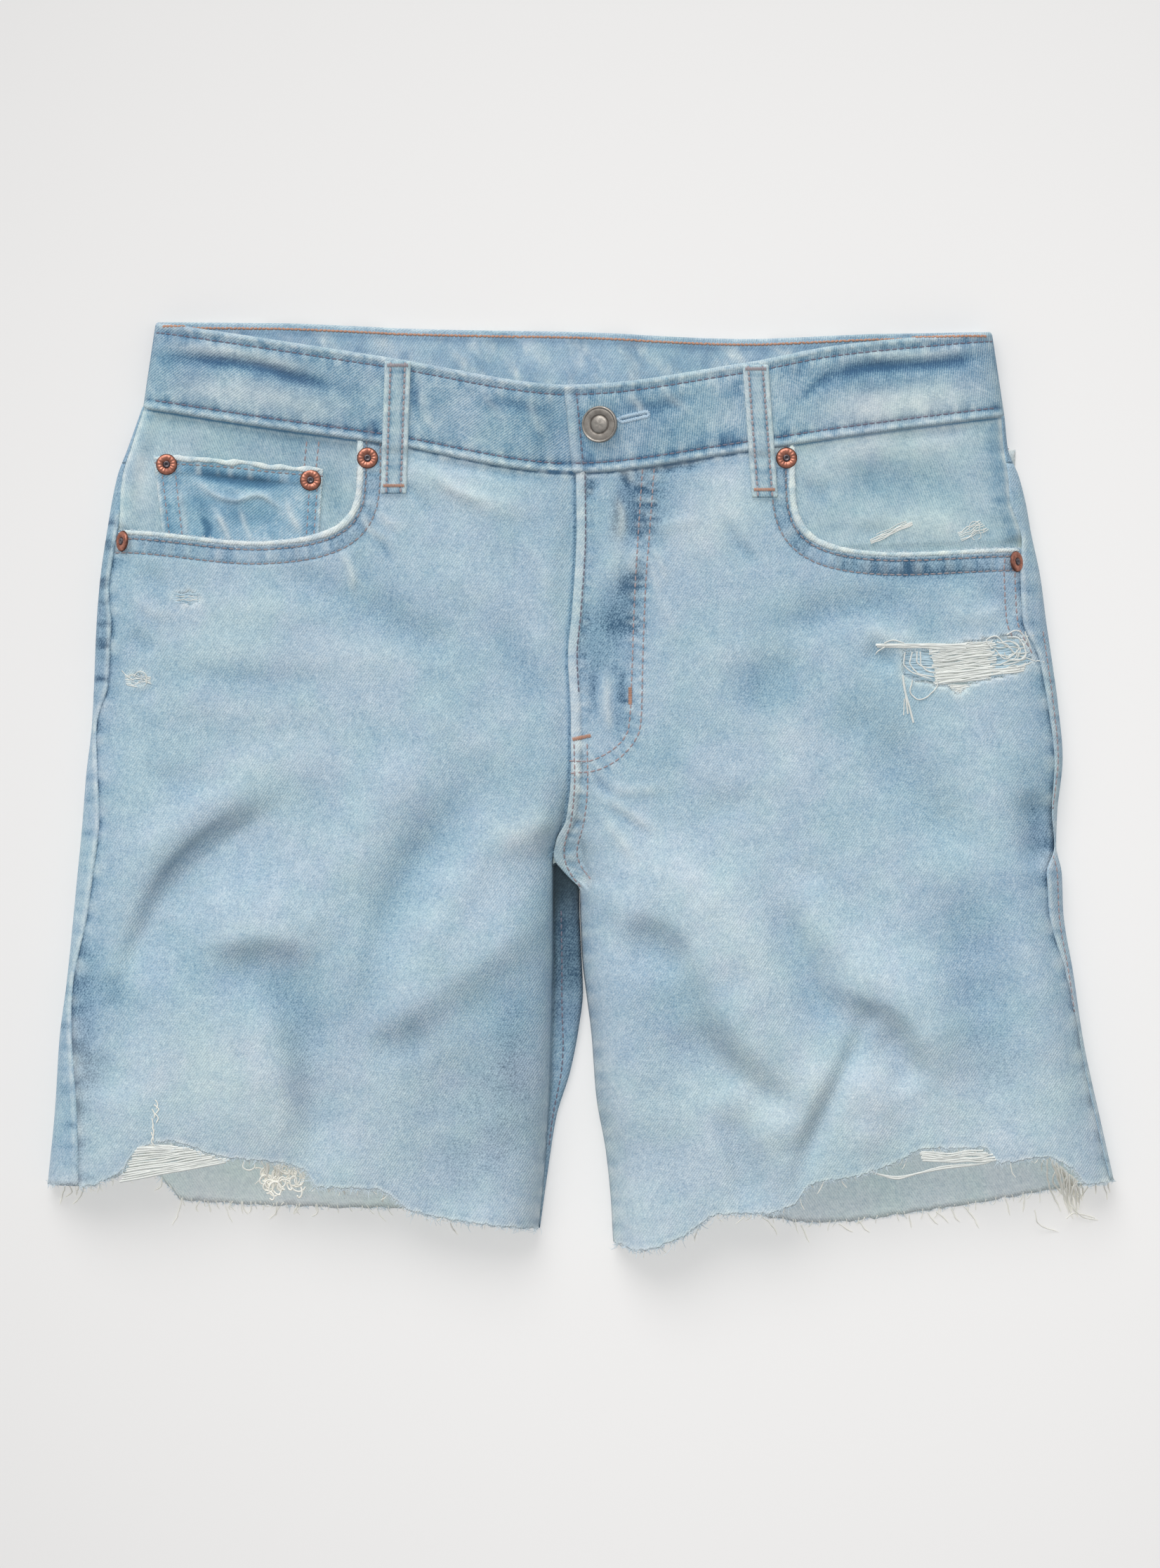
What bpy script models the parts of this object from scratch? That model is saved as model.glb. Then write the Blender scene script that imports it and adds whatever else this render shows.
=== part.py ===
"""Cut-off denim shorts lying flat on their back, fly up.

Every sewn piece is a closed solid of its own. The two legs are flattened tubes: the back panels lie
on the table and wrap round the sides to the side seams, and the front panels arch over them.
Lengths are in millimetres and become metres where a mesh is made. +X is to the viewer's right,
+Y runs up to the waistband, +Z is up from the table at z = 0.
"""
import math
from typing import NamedTuple

import bmesh
import bpy
import numpy as np
from mathutils import Matrix, Vector

MM = 0.001

# ---- cloth and seams -------------------------------------------------------------------------
WALL = 1.2            # one layer of denim
BAND_WALL = 3.0       # waistband, folded and faced
LOOP_WALL = 1.8       # belt loop, folded in three
POCKET_WALL = 1.2
ZIP_WALL = 1.5
SEAM_GAP = 0.3        # between pieces that are sewn edge to edge
LAYER = WALL + 0.6    # from one layer's face to the next one under it
REST_GAP = 0.4        # a piece lying on another
SIDE_RISE = 5.0       # height of the outermost edge of the flattened tube
BOTTOM_ROUND = 5.0    # how far in the underside starts to turn up
INNER_RISE = 2.5      # the same edge at the inseam
INNER_ROUND = 3.0
LEG_ROUND = 26.0      # width of the leg's round shoulder at the inseam
LEG_TUCK = 0.8        # the right leg's back stops this far inside its inner edge
INNER_RUN = 12.0      # the last stretch of a back panel, which wraps up to the inseam
MIN_STRIP = 0.2       # least width of a back panel's strip at the inseam
FLY_TOP_Y = 146.0     # the fly meets the waistband
SIDE_HEM_Y = -183.0   # the side seams end at the hem
CROTCH_Y = -47.0
CROTCH_FADE = 60.0    # the valley between the legs begins this far above the crotch
CROTCH_TURN = 12.0    # edges change from fly to inseam over this height
LAP_START = 8.0       # the fly's lap begins this far under the crotch
LAP_TURN = 24.0       # and is full after this height
WRAP_START = 2.0      # a back panel starts to wrap up to the inseam this far above the crotch
FOLD_FLOOR = 4.0      # folds fade out where the cloth is this low
FOLD_RISE = 8.0

# ---- waistband, loops, pockets ---------------------------------------------------------------
BAND_HEIGHT = 37.5
BAND_PROUD = 1.5      # the band's face over the panel's
TAB_TOP_X = -6.3      # end of the lapped right half of the band
TAB_BOTTOM_X = -2.8
UNDERLAP_X = 25.0     # end of the left half, under the tab
UNDERLAP_DROP = 3.5
UNDERLAP_RAMP = 20.0  # it sinks over this width before the tab
UNDERLAP_REST = 2.0   # and is at its full depth this far before it
FLY_LAP = 6.0         # the right front panel lies on the left one this far
FLY_RAMP = 12.0       # the left one sinks over this width beside the lap
FLY_DROP = 2.1        # and this deep
BAND_REACH = 14.0     # width of the band's round ends
LOOP_WIDTH = 12.2
LOOP_GAP = 0.7        # under a front loop
LOOP_DROP = 24.0      # a loop's reach below the band
LOOP_STEP = 5.0       # it steps down off the band over this height
LOOP_STEP_END = 6.0   # and is down this far below the waist seam
LIFT_FLAT = 14.0      # the cloth stays raised this far round a pocket or loop beneath it
LIFT_RAMP = 10.0
MOUTH_POWER = 5.5     # squareness of the pocket scoop
MOUTH_DIP = 1.6       # the mouth is at its lowest after 1 / 1.6 of its width
FACING_LAP = 10.0     # the facing's reach behind the front panel
FACING_FADE = 12.0    # the facing sinks from the side seam to its full depth over this width
TUCK_START = 9.0      # its side edge starts to tuck in this far above the pocket mouth
TUCK_TURN = 6.0
TUCK_IN = 5.0
TUCK_DEPTH = 1.3 * LAYER
YOKE_SKIP = 30.0      # rows of the front that end this near under the yoke are left out behind

# ---- hardware --------------------------------------------------------------------------------
BUTTON_RADIUS = 8.5
BUTTON_AT = (8.9, 166.1)
RIVET_RADIUS = 4.9


class Side(NamedTuple):
    """Silhouette of one side: its x at height y, and how far in the side seam lies."""
    y: float
    outline: float
    inset: float


class Inner(NamedTuple):
    """Inner edge of one leg: its x at y, the low strip's width beside it and that strip's height."""
    y: float
    edge: float
    strip: float
    floor: float


class Level(NamedTuple):
    """Height of the upper face over the table, and the width of its round shoulder."""
    y: float
    top: float
    shoulder: float


class Hem(NamedTuple):
    """Raw hem line: y at x."""
    x: float
    y: float


class BandLine(NamedTuple):
    """Waistband edges on the front half."""
    x: float
    top: float
    bottom: float


class Fold(NamedTuple):
    """A soft ridge (height over 0) or trough (under 0) along a straight line."""
    x0: float
    y0: float
    x1: float
    y1: float
    width: float
    height: float


class Mouth(NamedTuple):
    """Pocket mouth: flat stretch from the side seam, scooped up to the waist seam."""
    side_x: float
    end_x: float
    side_y: float
    low_y: float
    top_y: float


LEFT_SIDE = [
    Side(-184.0, -246.5, 15.6), Side(-148.8, -243.0, 11.0), Side(-117.0, -241.0, 6.5),
    Side(-91.3, -237.7, 3.5), Side(-60.0, -234.5, 7.0), Side(-44.2, -233.0, 7.8),
    Side(-19.5, -230.6, 8.6), Side(5.5, -228.6, 5.8), Side(27.9, -226.0, 2.6),
    Side(47.8, -225.0, 7.4), Side(72.8, -224.0, 7.6), Side(92.6, -222.5, 5.0),
    Side(117.7, -219.0, 5.4), Side(142.7, -214.3, 2.6), Side(155.7, -209.5, 1.6),
    Side(176.0, -202.3, 1.0)]
RIGHT_SIDE = [
    Side(-184.0, 246.5, 2.0), Side(-156.3, 240.3, 2.3), Side(-117.3, 231.9, 2.3),
    Side(-86.1, 227.3, 4.2), Side(-58.2, 222.8, 7.2), Side(-40.3, 222.1, 7.5),
    Side(-27.9, 219.5, 1.0), Side(-13.3, 219.9, 2.6), Side(12.7, 222.5, 4.2),
    Side(38.7, 220.2, 5.2), Side(57.5, 217.6, 6.2), Side(75.1, 215.0, 11.4),
    Side(96.9, 212.1, 9.8), Side(116.7, 207.9, 5.2), Side(129.7, 205.6, 7.4),
    Side(142.7, 202.3, 5.2), Side(155.7, 197.2, 2.0), Side(172.0, 195.5, 1.6)]
LEFT_INNER = [
    Inner(-204.4, -19.0, 0.6, 3.0), Inner(-181.3, -15.8, 1.5, 3.5), Inner(-153.0, -11.2, 3.0, 4.0),
    Inner(-132.0, -4.4, 6.0, 4.2), Inner(-112.8, -1.2, 9.0, 4.5), Inner(-86.8, -1.0, 9.5, 4.5),
    Inner(-60.0, -1.5, 8.0, 4.5), Inner(-47.0, -6.0, 2.0, 5.0), Inner(-30.9, -10.6, 1.8, 6.0),
    Inner(-15.9, -7.0, 1.8, 6.0), Inner(6.5, -4.7, 1.8, 6.0), Inner(31.2, -4.7, 1.8, 6.0),
    Inner(59.8, -6.0, 1.8, 6.0), Inner(80.9, -4.1, 1.8, 6.0), Inner(118.3, -2.1, 1.8, 6.0),
    Inner(146.0, -2.4, 1.8, 6.0)]
RIGHT_INNER = [
    Inner(-210.6, 14.8, 0.0, 1.9), Inner(-191.8, 13.8, 0.0, 1.9), Inner(-169.3, 11.5, 0.0, 1.9),
    Inner(-143.3, 7.0, 0.0, 1.9), Inner(-114.1, 4.7, 0.0, 1.9), Inner(-95.2, 2.1, 0.0, 1.9),
    Inner(-70.2, 0.4, 0.0, 1.9), Inner(-58.0, 0.2, 0.0, 2.2), Inner(-47.1, -3.0, 3.0, 5.0),
    Inner(-40.0, -7.5, 9.0, 6.0), Inner(-30.9, -10.6, 12.0, 6.0), Inner(-15.9, -7.0, 7.0, 6.0),
    Inner(6.5, -4.7, 2.0, 6.0), Inner(31.2, -4.7, 0.0, 6.0), Inner(59.8, -6.0, 0.0, 6.0),
    Inner(80.9, -4.1, 0.0, 6.0), Inner(118.3, -2.1, 0.0, 6.0), Inner(146.0, -2.4, 0.0, 6.0)]
LEVELS = [
    Level(-205.0, 27.0, 40.0), Level(-140.0, 29.0, 44.0), Level(-90.0, 26.0, 44.0),
    Level(-47.0, 23.5, 40.0), Level(0.0, 21.5, 36.0), Level(80.0, 18.5, 28.0),
    Level(145.0, 15.8, 18.0), Level(176.0, 14.5, 14.0)]
LEFT_HEM = [
    Hem(-246.5, -183.0), Hem(-229.0, -184.0), Hem(-211.0, -176.8), Hem(-204.0, -167.5),
    Hem(-190.0, -163.0), Hem(-165.0, -170.0), Hem(-137.0, -173.0), Hem(-127.0, -176.0),
    Hem(-121.0, -184.0), Hem(-93.0, -185.5), Hem(-78.0, -195.0), Hem(-55.0, -200.0),
    Hem(-19.3, -204.4)]
RIGHT_HEM = [
    Hem(14.8, -210.6), Hem(26.5, -213.5), Hem(46.0, -207.3), Hem(63.9, -196.5), Hem(84.7, -196.3),
    Hem(98.0, -192.0), Hem(105.0, -183.0), Hem(125.0, -179.4), Hem(142.5, -173.6),
    Hem(158.0, -166.5), Hem(185.0, -166.1), Hem(192.0, -173.0), Hem(213.7, -170.5),
    Hem(226.0, -176.0), Hem(233.0, -183.5), Hem(246.5, -182.0)]
LEFT_BACK_HEM = [
    Hem(-246.5, -183.0), Hem(-220.0, -182.0), Hem(-202.0, -176.5), Hem(-193.5, -182.3),
    Hem(-184.0, -191.5), Hem(-150.0, -193.7), Hem(-91.0, -195.3), Hem(-35.0, -195.0),
    Hem(-19.3, -204.4)]
RIGHT_BACK_HEM = [
    Hem(14.8, -207.0), Hem(39.8, -200.2), Hem(63.9, -196.0), Hem(108.0, -202.2), Hem(152.0, -197.6),
    Hem(217.0, -187.0), Hem(246.5, -182.0)]
BAND_FRONT = [
    BandLine(-202.0, 213.0, 175.2), BandLine(-147.0, 204.8, 166.6), BandLine(-90.0, 196.0, 158.7),
    BandLine(-4.0, 183.3, 145.3), BandLine(75.0, 193.2, 155.0), BandLine(119.0, 201.5, 161.5),
    BandLine(196.0, 208.6, 171.6)]
BAND_BACK = [
    Hem(-202.0, 213.0), Hem(-150.0, 212.6), Hem(-75.0, 209.8), Hem(0.0, 208.2), Hem(77.0, 205.2),
    Hem(140.0, 207.5), Hem(196.0, 208.6)]
BAND_LEFT_X = (-196.8, -202.3)    # silhouette of the band at its top and bottom edge
BAND_RIGHT_X = (190.0, 195.5)
LEFT_MOUTH = Mouth(-213.4, -102.8, 117.7, 112.0, 160.4)
RIGHT_MOUTH = Mouth(202.0, 98.2, 109.5, 107.0, 157.6)
FOLDS = [
    Fold(-212.0, -68.0, -150.0, -9.0, 9.0, -4.5), Fold(-200.0, -84.0, -135.0, -30.0, 13.0, 2.5),
    Fold(-150.0, -72.0, -140.0, -98.0, 9.0, -4.0), Fold(-138.0, -104.0, -124.0, -178.0, 11.0, -3.5),
    Fold(-176.0, -90.0, -165.0, -170.0, 18.0, 2.5), Fold(-74.0, -16.0, -100.0, -108.0, 15.0, -3.0),
    Fold(-62.0, -110.0, -50.0, -200.0, 20.0, 2.0), Fold(48.0, -62.0, 76.0, -140.0, 12.0, -4.0),
    Fold(129.0, -96.0, 150.0, -172.0, 15.0, 5.0), Fold(118.0, -112.0, 102.0, -184.0, 9.0, -5.0),
    Fold(169.0, -63.0, 197.0, -150.0, 12.0, -3.5), Fold(212.0, -90.0, 226.0, -176.0, 13.0, 2.5)]

# Yoke, back pockets and back loops, which lie under the garment.
YOKE_TOP_Y = 175.0
YOKE_SIDE_Y = 149.0
YOKE_MID_Y = 108.0
LEFT_POCKET = [(-190.0, 148.0), (-190.0, 20.0), (-131.0, 0.0), (-70.0, 20.0), (-68.0, 138.0)]
RIGHT_POCKET = [(201.0, 155.5), (196.0, 20.0), (134.0, 0.0), (72.0, 20.0), (70.0, 138.0)]
BACK_LOOPS = {"left": -118.0, "mid": 0.0, "right": 114.0}
FRONT_LOOPS = {"left": (-84.3, -86.3, 195.2, 134.4), "right": (80.2, 84.6, 193.6, 132.6)}
RIVETS = {
    "left_mouth_top": (-98.3, 150.8), "left_mouth_side": (-210.4, 112.5),
    "coin_outer": (-190.9, 147.9), "coin_inner": (-124.6, 140.7),
    "right_mouth_top": (94.6, 150.8), "right_mouth_side": (199.7, 103.0)}
COIN_TOP = [Hem(-197.1, 152.2), Hem(-165.0, 150.3), Hem(-139.6, 147.6), Hem(-118.8, 146.0)]
COIN_BOTTOM_X = (-191.6, -121.3)
COIN_BOTTOM_Y = 106.0
ZIP_X = (-8.0, 20.0)
ZIP_Y = (140.0, 22.0)

# How finely the pieces are divided.
FRONT_ROWS = 18
OVER_STOPS = 4
TURN = np.linspace(0, math.pi / 2, 5)[1:]
LIP_TURN = np.linspace(0, math.pi / 2, 4)[1:]
STRIP_FRACTIONS = np.array([0.3, 0.65, 1.0])
INNER_FRACTIONS = np.linspace(0, 1, 1 + len(LIP_TURN) + len(STRIP_FRACTIONS))
FLAT_FRACTIONS = np.linspace(0, 1, 9)[1:-1]

DENIM = (0.42, 0.57, 0.70)
DENIM_DEEP = (0.25, 0.42, 0.60)
COPPER = (0.66, 0.32, 0.22)
NICKEL = (0.42, 0.40, 0.37)
TAPE = (0.36, 0.46, 0.58)


# ---- numbers ---------------------------------------------------------------------------------
def read(table, key, column, at):
    """Smooth monotone curve through one column of a table, read at the key values."""
    rows = sorted(table, key=lambda row: getattr(row, key))
    xs = np.array([getattr(row, key) for row in rows], dtype=float)
    ys = np.array([getattr(row, column) for row in rows], dtype=float)
    step = np.diff(xs)
    slope = np.diff(ys) / step
    tangent = np.zeros_like(ys)
    tangent[0], tangent[-1] = slope[0], slope[-1]
    before, after = slope[:-1], slope[1:]
    rising = before * after > 0
    both = np.where(rising, before + after, 1.0)
    tangent[1:-1] = np.where(rising, 2 * before * after / both, 0.0)
    at = np.clip(np.asarray(at, dtype=float), xs[0], xs[-1])
    k = np.clip(np.searchsorted(xs, at, side="right") - 1, 0, len(step) - 1)
    t = (at - xs[k]) / step[k]
    value = (1 + 2 * t) * (1 - t) ** 2 * ys[k] + t * (1 - t) ** 2 * step[k] * tangent[k]
    return value + t * t * (3 - 2 * t) * ys[k + 1] + t * t * (t - 1) * step[k] * tangent[k + 1]


def ease(t):
    """Smooth step from 0 to 1."""
    t = np.clip(t, 0.0, 1.0)
    return t * t * (3 - 2 * t)


def shoulder(t):
    """Quarter of an ellipse: 0 and upright at t = 0, 1 and level at t = 1."""
    t = np.clip(t, 0.0, 1.0)
    return np.sqrt(1 - (1 - t) ** 2)


def stops(*runs):
    """Fractions from runs of (start, end, count), each joined to the next."""
    parts = [np.linspace(a, b, n, endpoint=False) for a, b, n in runs]
    return np.concatenate(parts + [np.array([runs[-1][1]])])


def mix(a, b, t):
    """Straight blend from a to b."""
    return a + (b - a) * t


# ---- the garment's two faces -----------------------------------------------------------------
class Half:
    """One half of the shorts: its silhouette and the height of its upper face."""

    def __init__(self, sign, side, inner, hem, back_hem, mouth, layers):
        self.sign = sign            # +1 where x runs inward from the side seam
        self.layers = layers        # layers of cloth between the facing's face and the front's
        self.side = side
        self.inner = inner
        self.hem = hem
        self.back_hem = back_hem
        self.mouth = mouth

    def outline(self, y):
        """Silhouette of the side at y."""
        return read(self.side, "y", "outline", y)

    def side_seam(self, y):
        """Side seam at y."""
        return self.outline(y) + self.sign * read(self.side, "y", "inset", y)

    def inner_edge(self, y):
        """Silhouette of the inner leg, and the fly's edge above it."""
        return read(self.inner, "y", "edge", y)

    def folds(self, x, y):
        """Sum of the folds' heights."""
        total = np.zeros(np.broadcast(x, y).shape)
        for fold in FOLDS:
            run = np.array([fold.x1 - fold.x0, fold.y1 - fold.y0])
            length = math.hypot(*run)
            along = ((x - fold.x0) * run[0] + (y - fold.y0) * run[1]) / length
            across = ((x - fold.x0) * run[1] - (y - fold.y0) * run[0]) / length
            past = np.maximum(0, np.maximum(-along, along - length))
            total = total + fold.height * np.exp(-(across ** 2 + past ** 2) / fold.width ** 2)
        return total

    def top(self, x, y):
        """Height of the upper face at (x, y)."""
        full = read(LEVELS, "y", "top", y)
        width = read(LEVELS, "y", "shoulder", y)
        inward = (x - self.outline(y)) * self.sign
        outer = SIDE_RISE + (full - SIDE_RISE) * shoulder(inward / width)
        from_inner = (self.inner_edge(y) - x) * self.sign
        strip = read(self.inner, "y", "strip", y)
        floor = read(self.inner, "y", "floor", y)
        lip = np.minimum(INNER_RISE, floor)
        below = ease((CROTCH_Y - y) / CROTCH_TURN)
        low = mix(floor, mix(lip, floor, shoulder(from_inner / INNER_ROUND)), below)
        leg = mix(low, outer, shoulder((from_inner - strip) / LEG_ROUND))
        height = mix(outer, leg, ease((CROTCH_Y + CROTCH_FADE - y) / CROTCH_FADE))
        return height + self.folds(x, y) * ease((height - FOLD_FLOOR) / FOLD_RISE)


LEFT = Half(1, LEFT_SIDE, LEFT_INNER, LEFT_HEM, LEFT_BACK_HEM, LEFT_MOUTH, 2)
RIGHT = Half(-1, RIGHT_SIDE, RIGHT_INNER, RIGHT_HEM, RIGHT_BACK_HEM, RIGHT_MOUTH, 1)


def waist_seam(x):
    """Lower edge of the front waistband."""
    return read(BAND_FRONT, "x", "bottom", x)


def back_waist_seam(x):
    """Lower edge of the back waistband."""
    return read(BAND_BACK, "x", "y", x) - BAND_HEIGHT


def mouth_line(half, x):
    """The front panel's upper edge: the pocket mouth, then the waist seam."""
    m = half.mouth
    ratio = np.clip((x - m.side_x) / (m.end_x - m.side_x), 0.0, 1.0)
    flat = mix(m.side_y, m.low_y, ease(ratio * MOUTH_DIP))
    scoop = 1 - (1 - ratio ** MOUTH_POWER) ** (1 / MOUTH_POWER)
    seam = waist_seam(x) - SEAM_GAP
    return np.where(ratio < 1.0, flat + (m.top_y - flat) * scoop, seam)


def back_loop_box(centre):
    """Lower left and upper right corner of a belt loop under the back waistband."""
    top = float(read(BAND_BACK, "x", "y", centre))
    low = top - BAND_HEIGHT - LOOP_DROP
    return (centre - LOOP_WIDTH / 2, low), (centre + LOOP_WIDTH / 2, top)


def lift(x, y):
    """How far the underside is raised by the pockets and loops that lie beneath it."""
    patches = [(corners, POCKET_WALL) for corners in (LEFT_POCKET, RIGHT_POCKET)]
    patches += [(back_loop_box(centre), LOOP_WALL) for centre in BACK_LOOPS.values()]
    height = np.zeros(np.broadcast(x, y).shape)
    for corners, wall in patches:
        low, high = np.min(corners, axis=0), np.max(corners, axis=0)
        out_x = np.maximum(0, np.maximum(low[0] - x, x - high[0]))
        out_y = np.maximum(0, np.maximum(low[1] - y, y - high[1]))
        away = np.hypot(out_x, out_y)
        height = np.maximum(height, (wall + REST_GAP) * ease((LIFT_FLAT + LIFT_RAMP - away) / LIFT_RAMP))
    return height


def fly_underlap(x, y):
    """1 where the left front lies under the right one, fading to 0 beside it."""
    reach = x - RIGHT.inner_edge(y) + FLY_RAMP
    return ease(reach / FLY_RAMP) * ease((y - CROTCH_Y) / CROTCH_TURN)


def band_top(x):
    """Height of the front waistband's face, away from its folded sides."""
    half_top = np.where(x < 0, LEFT.top(x, waist_seam(x)), RIGHT.top(x, waist_seam(x)))
    return half_top + BAND_PROUD


# ---- grids of points, one for each cloth piece -----------------------------------------------
def stack(x, y, z):
    """Grid of points from three arrays of the same shape."""
    return np.stack([x, y, z], axis=-1)


def front_levels(half):
    """Heights y of a leg's rows at the side seam and at the inner edge, from the top down."""
    rows = np.linspace(0, 1, FRONT_ROWS)
    hem_end = half.hem[-1] if half.sign > 0 else half.hem[0]
    waist = waist_seam(half.inner_edge(FLY_TOP_Y)) - SEAM_GAP
    side_hem = read(half.hem, "x", "y", half.side_seam(SIDE_HEM_Y))
    return mix(half.mouth.side_y, side_hem, rows), mix(waist, hem_end.y, rows)


def front_inner_x(half, y):
    """Where the front panel ends: at the inseam, or lapped under the other half at the fly."""
    edge = half.inner_edge(y)
    if half.sign < 0:
        return edge
    sewn = edge - read(half.inner, "y", "strip", y) - SEAM_GAP / 2
    return mix(sewn, edge + FLY_LAP, ease((y - CROTCH_Y + LAP_START) / LAP_TURN))


def front_grid(half, columns):
    """Front panel: pocket mouth and waist seam above, raw hem below."""
    t = np.linspace(0, 1, FRONT_ROWS)[:, None]
    s = columns[None, :]
    y_side, y_inner = (level[:, None] for level in front_levels(half))
    x = mix(half.side_seam(y_side) + half.sign * SEAM_GAP / 2, front_inner_x(half, y_inner), s)
    top_change = mouth_line(half, x) - mix(half.mouth.side_y, y_inner[0, 0], s)
    top_change[:, 0] = 0.0
    hem_change = read(half.hem, "x", "y", x) - mix(y_side[-1], y_inner[-1], s)
    hem_change[:, [0, -1]] = 0.0
    y = mix(y_side, y_inner, s) + top_change * (1 - t) ** 3 + hem_change * t ** 3
    z = half.top(x, y)
    if half.sign > 0:
        z = z - FLY_DROP * fly_underlap(x, y)
    return stack(x, y, z)


def side_x(half, y):
    """x of a back panel's points from the side seam out to the silhouette, then in under it."""
    seam = half.side_seam(y) - half.sign * SEAM_GAP / 2
    outline = half.outline(y)
    over = mix(seam, outline, np.sin(np.linspace(0, math.pi / 2, OVER_STOPS)))
    under = outline + half.sign * BOTTOM_ROUND * (1 - np.cos(TURN))
    return np.concatenate([over, under])


def inner_x(half, y):
    """x of a back panel's last points, and how far they wrap up to the inseam (0 to 1)."""
    edge = float(half.inner_edge(y))
    centre = -half.sign * SEAM_GAP / 2
    if half.sign < 0:
        tucked = max(edge, 0.0) + LEG_TUCK
        centre = mix(centre, tucked, ease((CROTCH_Y + LAP_START - y) / (2 * LAP_START)))
        return mix(centre + INNER_RUN, centre, INNER_FRACTIONS), 0.0
    wrap = float(ease((CROTCH_Y + WRAP_START - y) / CROTCH_TURN))
    strip = max(float(read(half.inner, "y", "strip", y)) - SEAM_GAP / 2, MIN_STRIP)
    lip = edge - INNER_ROUND * (1 - np.sin(LIP_TURN))
    wrapped = np.concatenate([[edge - INNER_ROUND], lip, edge - strip * STRIP_FRACTIONS])
    return mix(mix(centre - INNER_RUN, centre, INNER_FRACTIONS), wrapped, wrap), wrap


def inner_z(half, x, y, wrap):
    """Heights of the same points: on the table, or round the lip and back to the inseam."""
    flat = lift(x, y)
    if wrap == 0.0:
        return flat
    lip = np.concatenate([[0.0], INNER_RISE * (1 - np.cos(LIP_TURN))])
    wrapped = np.concatenate([lip, half.top(x, y)[len(lip):]])
    return mix(flat, wrapped, wrap)


def back_grid(half, y_side, y_inner, hem=None):
    """Back panel or yoke: flat on the table and wrapped round the side and up to the inseam.

    The rows run down the panel, the columns from the side seam to the centre or the inseam. A yoke,
    which has no hem, follows the waist seam instead.
    """
    last = len(y_side) - 1
    side, inner = OVER_STOPS + len(TURN), len(INNER_FRACTIONS)
    grid = []
    for j, (out, end) in enumerate(zip(y_side, y_inner)):
        x_side = side_x(half, out)
        x_inner, wrap = inner_x(half, end)
        across = mix(x_side[-1], x_inner[0], FLAT_FRACTIONS)
        x = np.concatenate([x_side, across, x_inner])
        share = (x - x_side[-1]) / (x_inner[0] - x_side[-1])
        share[:side], share[-inner:] = 0.0, 1.0
        if hem is None:
            change = back_waist_seam(x) - SEAM_GAP - mix(y_side[0], y_inner[0], share)
            change = change * (1 - j / last) ** 3
        else:
            change = read(hem, "x", "y", x) - mix(y_side[-1], y_inner[-1], share)
            change[-inner:] = 0.0
            change = change * (j / last) ** 3
        change[:side] = 0.0
        y = mix(out, end, share) + change
        z = lift(x, y)
        z[:OVER_STOPS - 1] = half.top(x, y)[:OVER_STOPS - 1]
        z[OVER_STOPS - 1] = SIDE_RISE
        z[OVER_STOPS:side] = mix(SIDE_RISE, z[OVER_STOPS:side], np.sin(TURN))
        z[-inner:] = inner_z(half, x[-inner:], y[-inner:], wrap)
        grid.append(stack(x, y, z))
    return np.array(grid)


def facing_depth(half, x, y):
    """How far a pocket facing lies under the front panel's face."""
    return half.layers * LAYER * ease((x - half.side_seam(y)) * half.sign / FACING_FADE)


def coin_face(x, y):
    """Height of the coin pocket's face."""
    return LEFT.top(x, y) - facing_depth(LEFT, x, y) + LAYER


def facing_grid(half, levels, columns):
    """Pocket facing: sewn to the waist and side seams, tucked behind the pocket mouth."""
    levels = levels[:, None]
    tucked = ease((half.mouth.side_y + TUCK_START - levels) / TUCK_TURN)
    x_side = half.side_seam(levels) + half.sign * (SEAM_GAP + TUCK_IN * tucked)
    x = mix(x_side, half.mouth.end_x + half.sign * FACING_LAP, columns[None, :])
    bottom = half.mouth.low_y - FACING_LAP
    t = (levels - levels[0]) / (levels[-1] - levels[0])
    y = mix(waist_seam(x) - SEAM_GAP, bottom, t)
    depth = np.maximum(facing_depth(half, x, y), TUCK_DEPTH * tucked)
    return stack(x, y, half.top(x, y) - depth)


def coin_grid(rows, columns):
    """Coin pocket on the left facing."""
    t = np.linspace(0, 1, rows)[:, None]
    s = np.linspace(0, 1, columns)[None, :]
    top_x = mix(COIN_TOP[0].x, COIN_TOP[-1].x, s)
    x = mix(top_x, mix(*COIN_BOTTOM_X, s), t)
    y = mix(read(COIN_TOP, "x", "y", top_x), COIN_BOTTOM_Y, t)
    return stack(x, y, coin_face(x, y))


def band_side(level, sign):
    """A folded end of the waistband, from its level stretch over the front to the table."""
    edge = mix(*(BAND_LEFT_X if sign > 0 else BAND_RIGHT_X), level)
    near = BAND_REACH * (1 - np.sin(np.linspace(0, math.pi / 2, 5)[1:]))
    over_x = edge + sign * near
    face = float(band_top(edge + sign * BAND_REACH))
    over_z = SIDE_RISE + (face - SIDE_RISE) * shoulder(near / BAND_REACH)
    over_y = mix(read(BAND_FRONT, "x", "top", over_x), waist_seam(over_x), level)
    turn_x = edge + sign * BOTTOM_ROUND * (1 - np.cos(TURN))
    turn_y = read(BAND_BACK, "x", "y", turn_x) - BAND_HEIGHT * level
    turn_z = mix(SIDE_RISE, lift(turn_x, turn_y), np.sin(TURN))
    over = stack(over_x, over_y, over_z)
    return edge, np.concatenate([over, stack(turn_x, turn_y, turn_z)])


def band_front(x, level, drop=0.0):
    """A stretch of the front waistband at one level across its height."""
    y = mix(read(BAND_FRONT, "x", "top", x), waist_seam(x), level)
    return stack(x, y, band_top(x) - drop)


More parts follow.
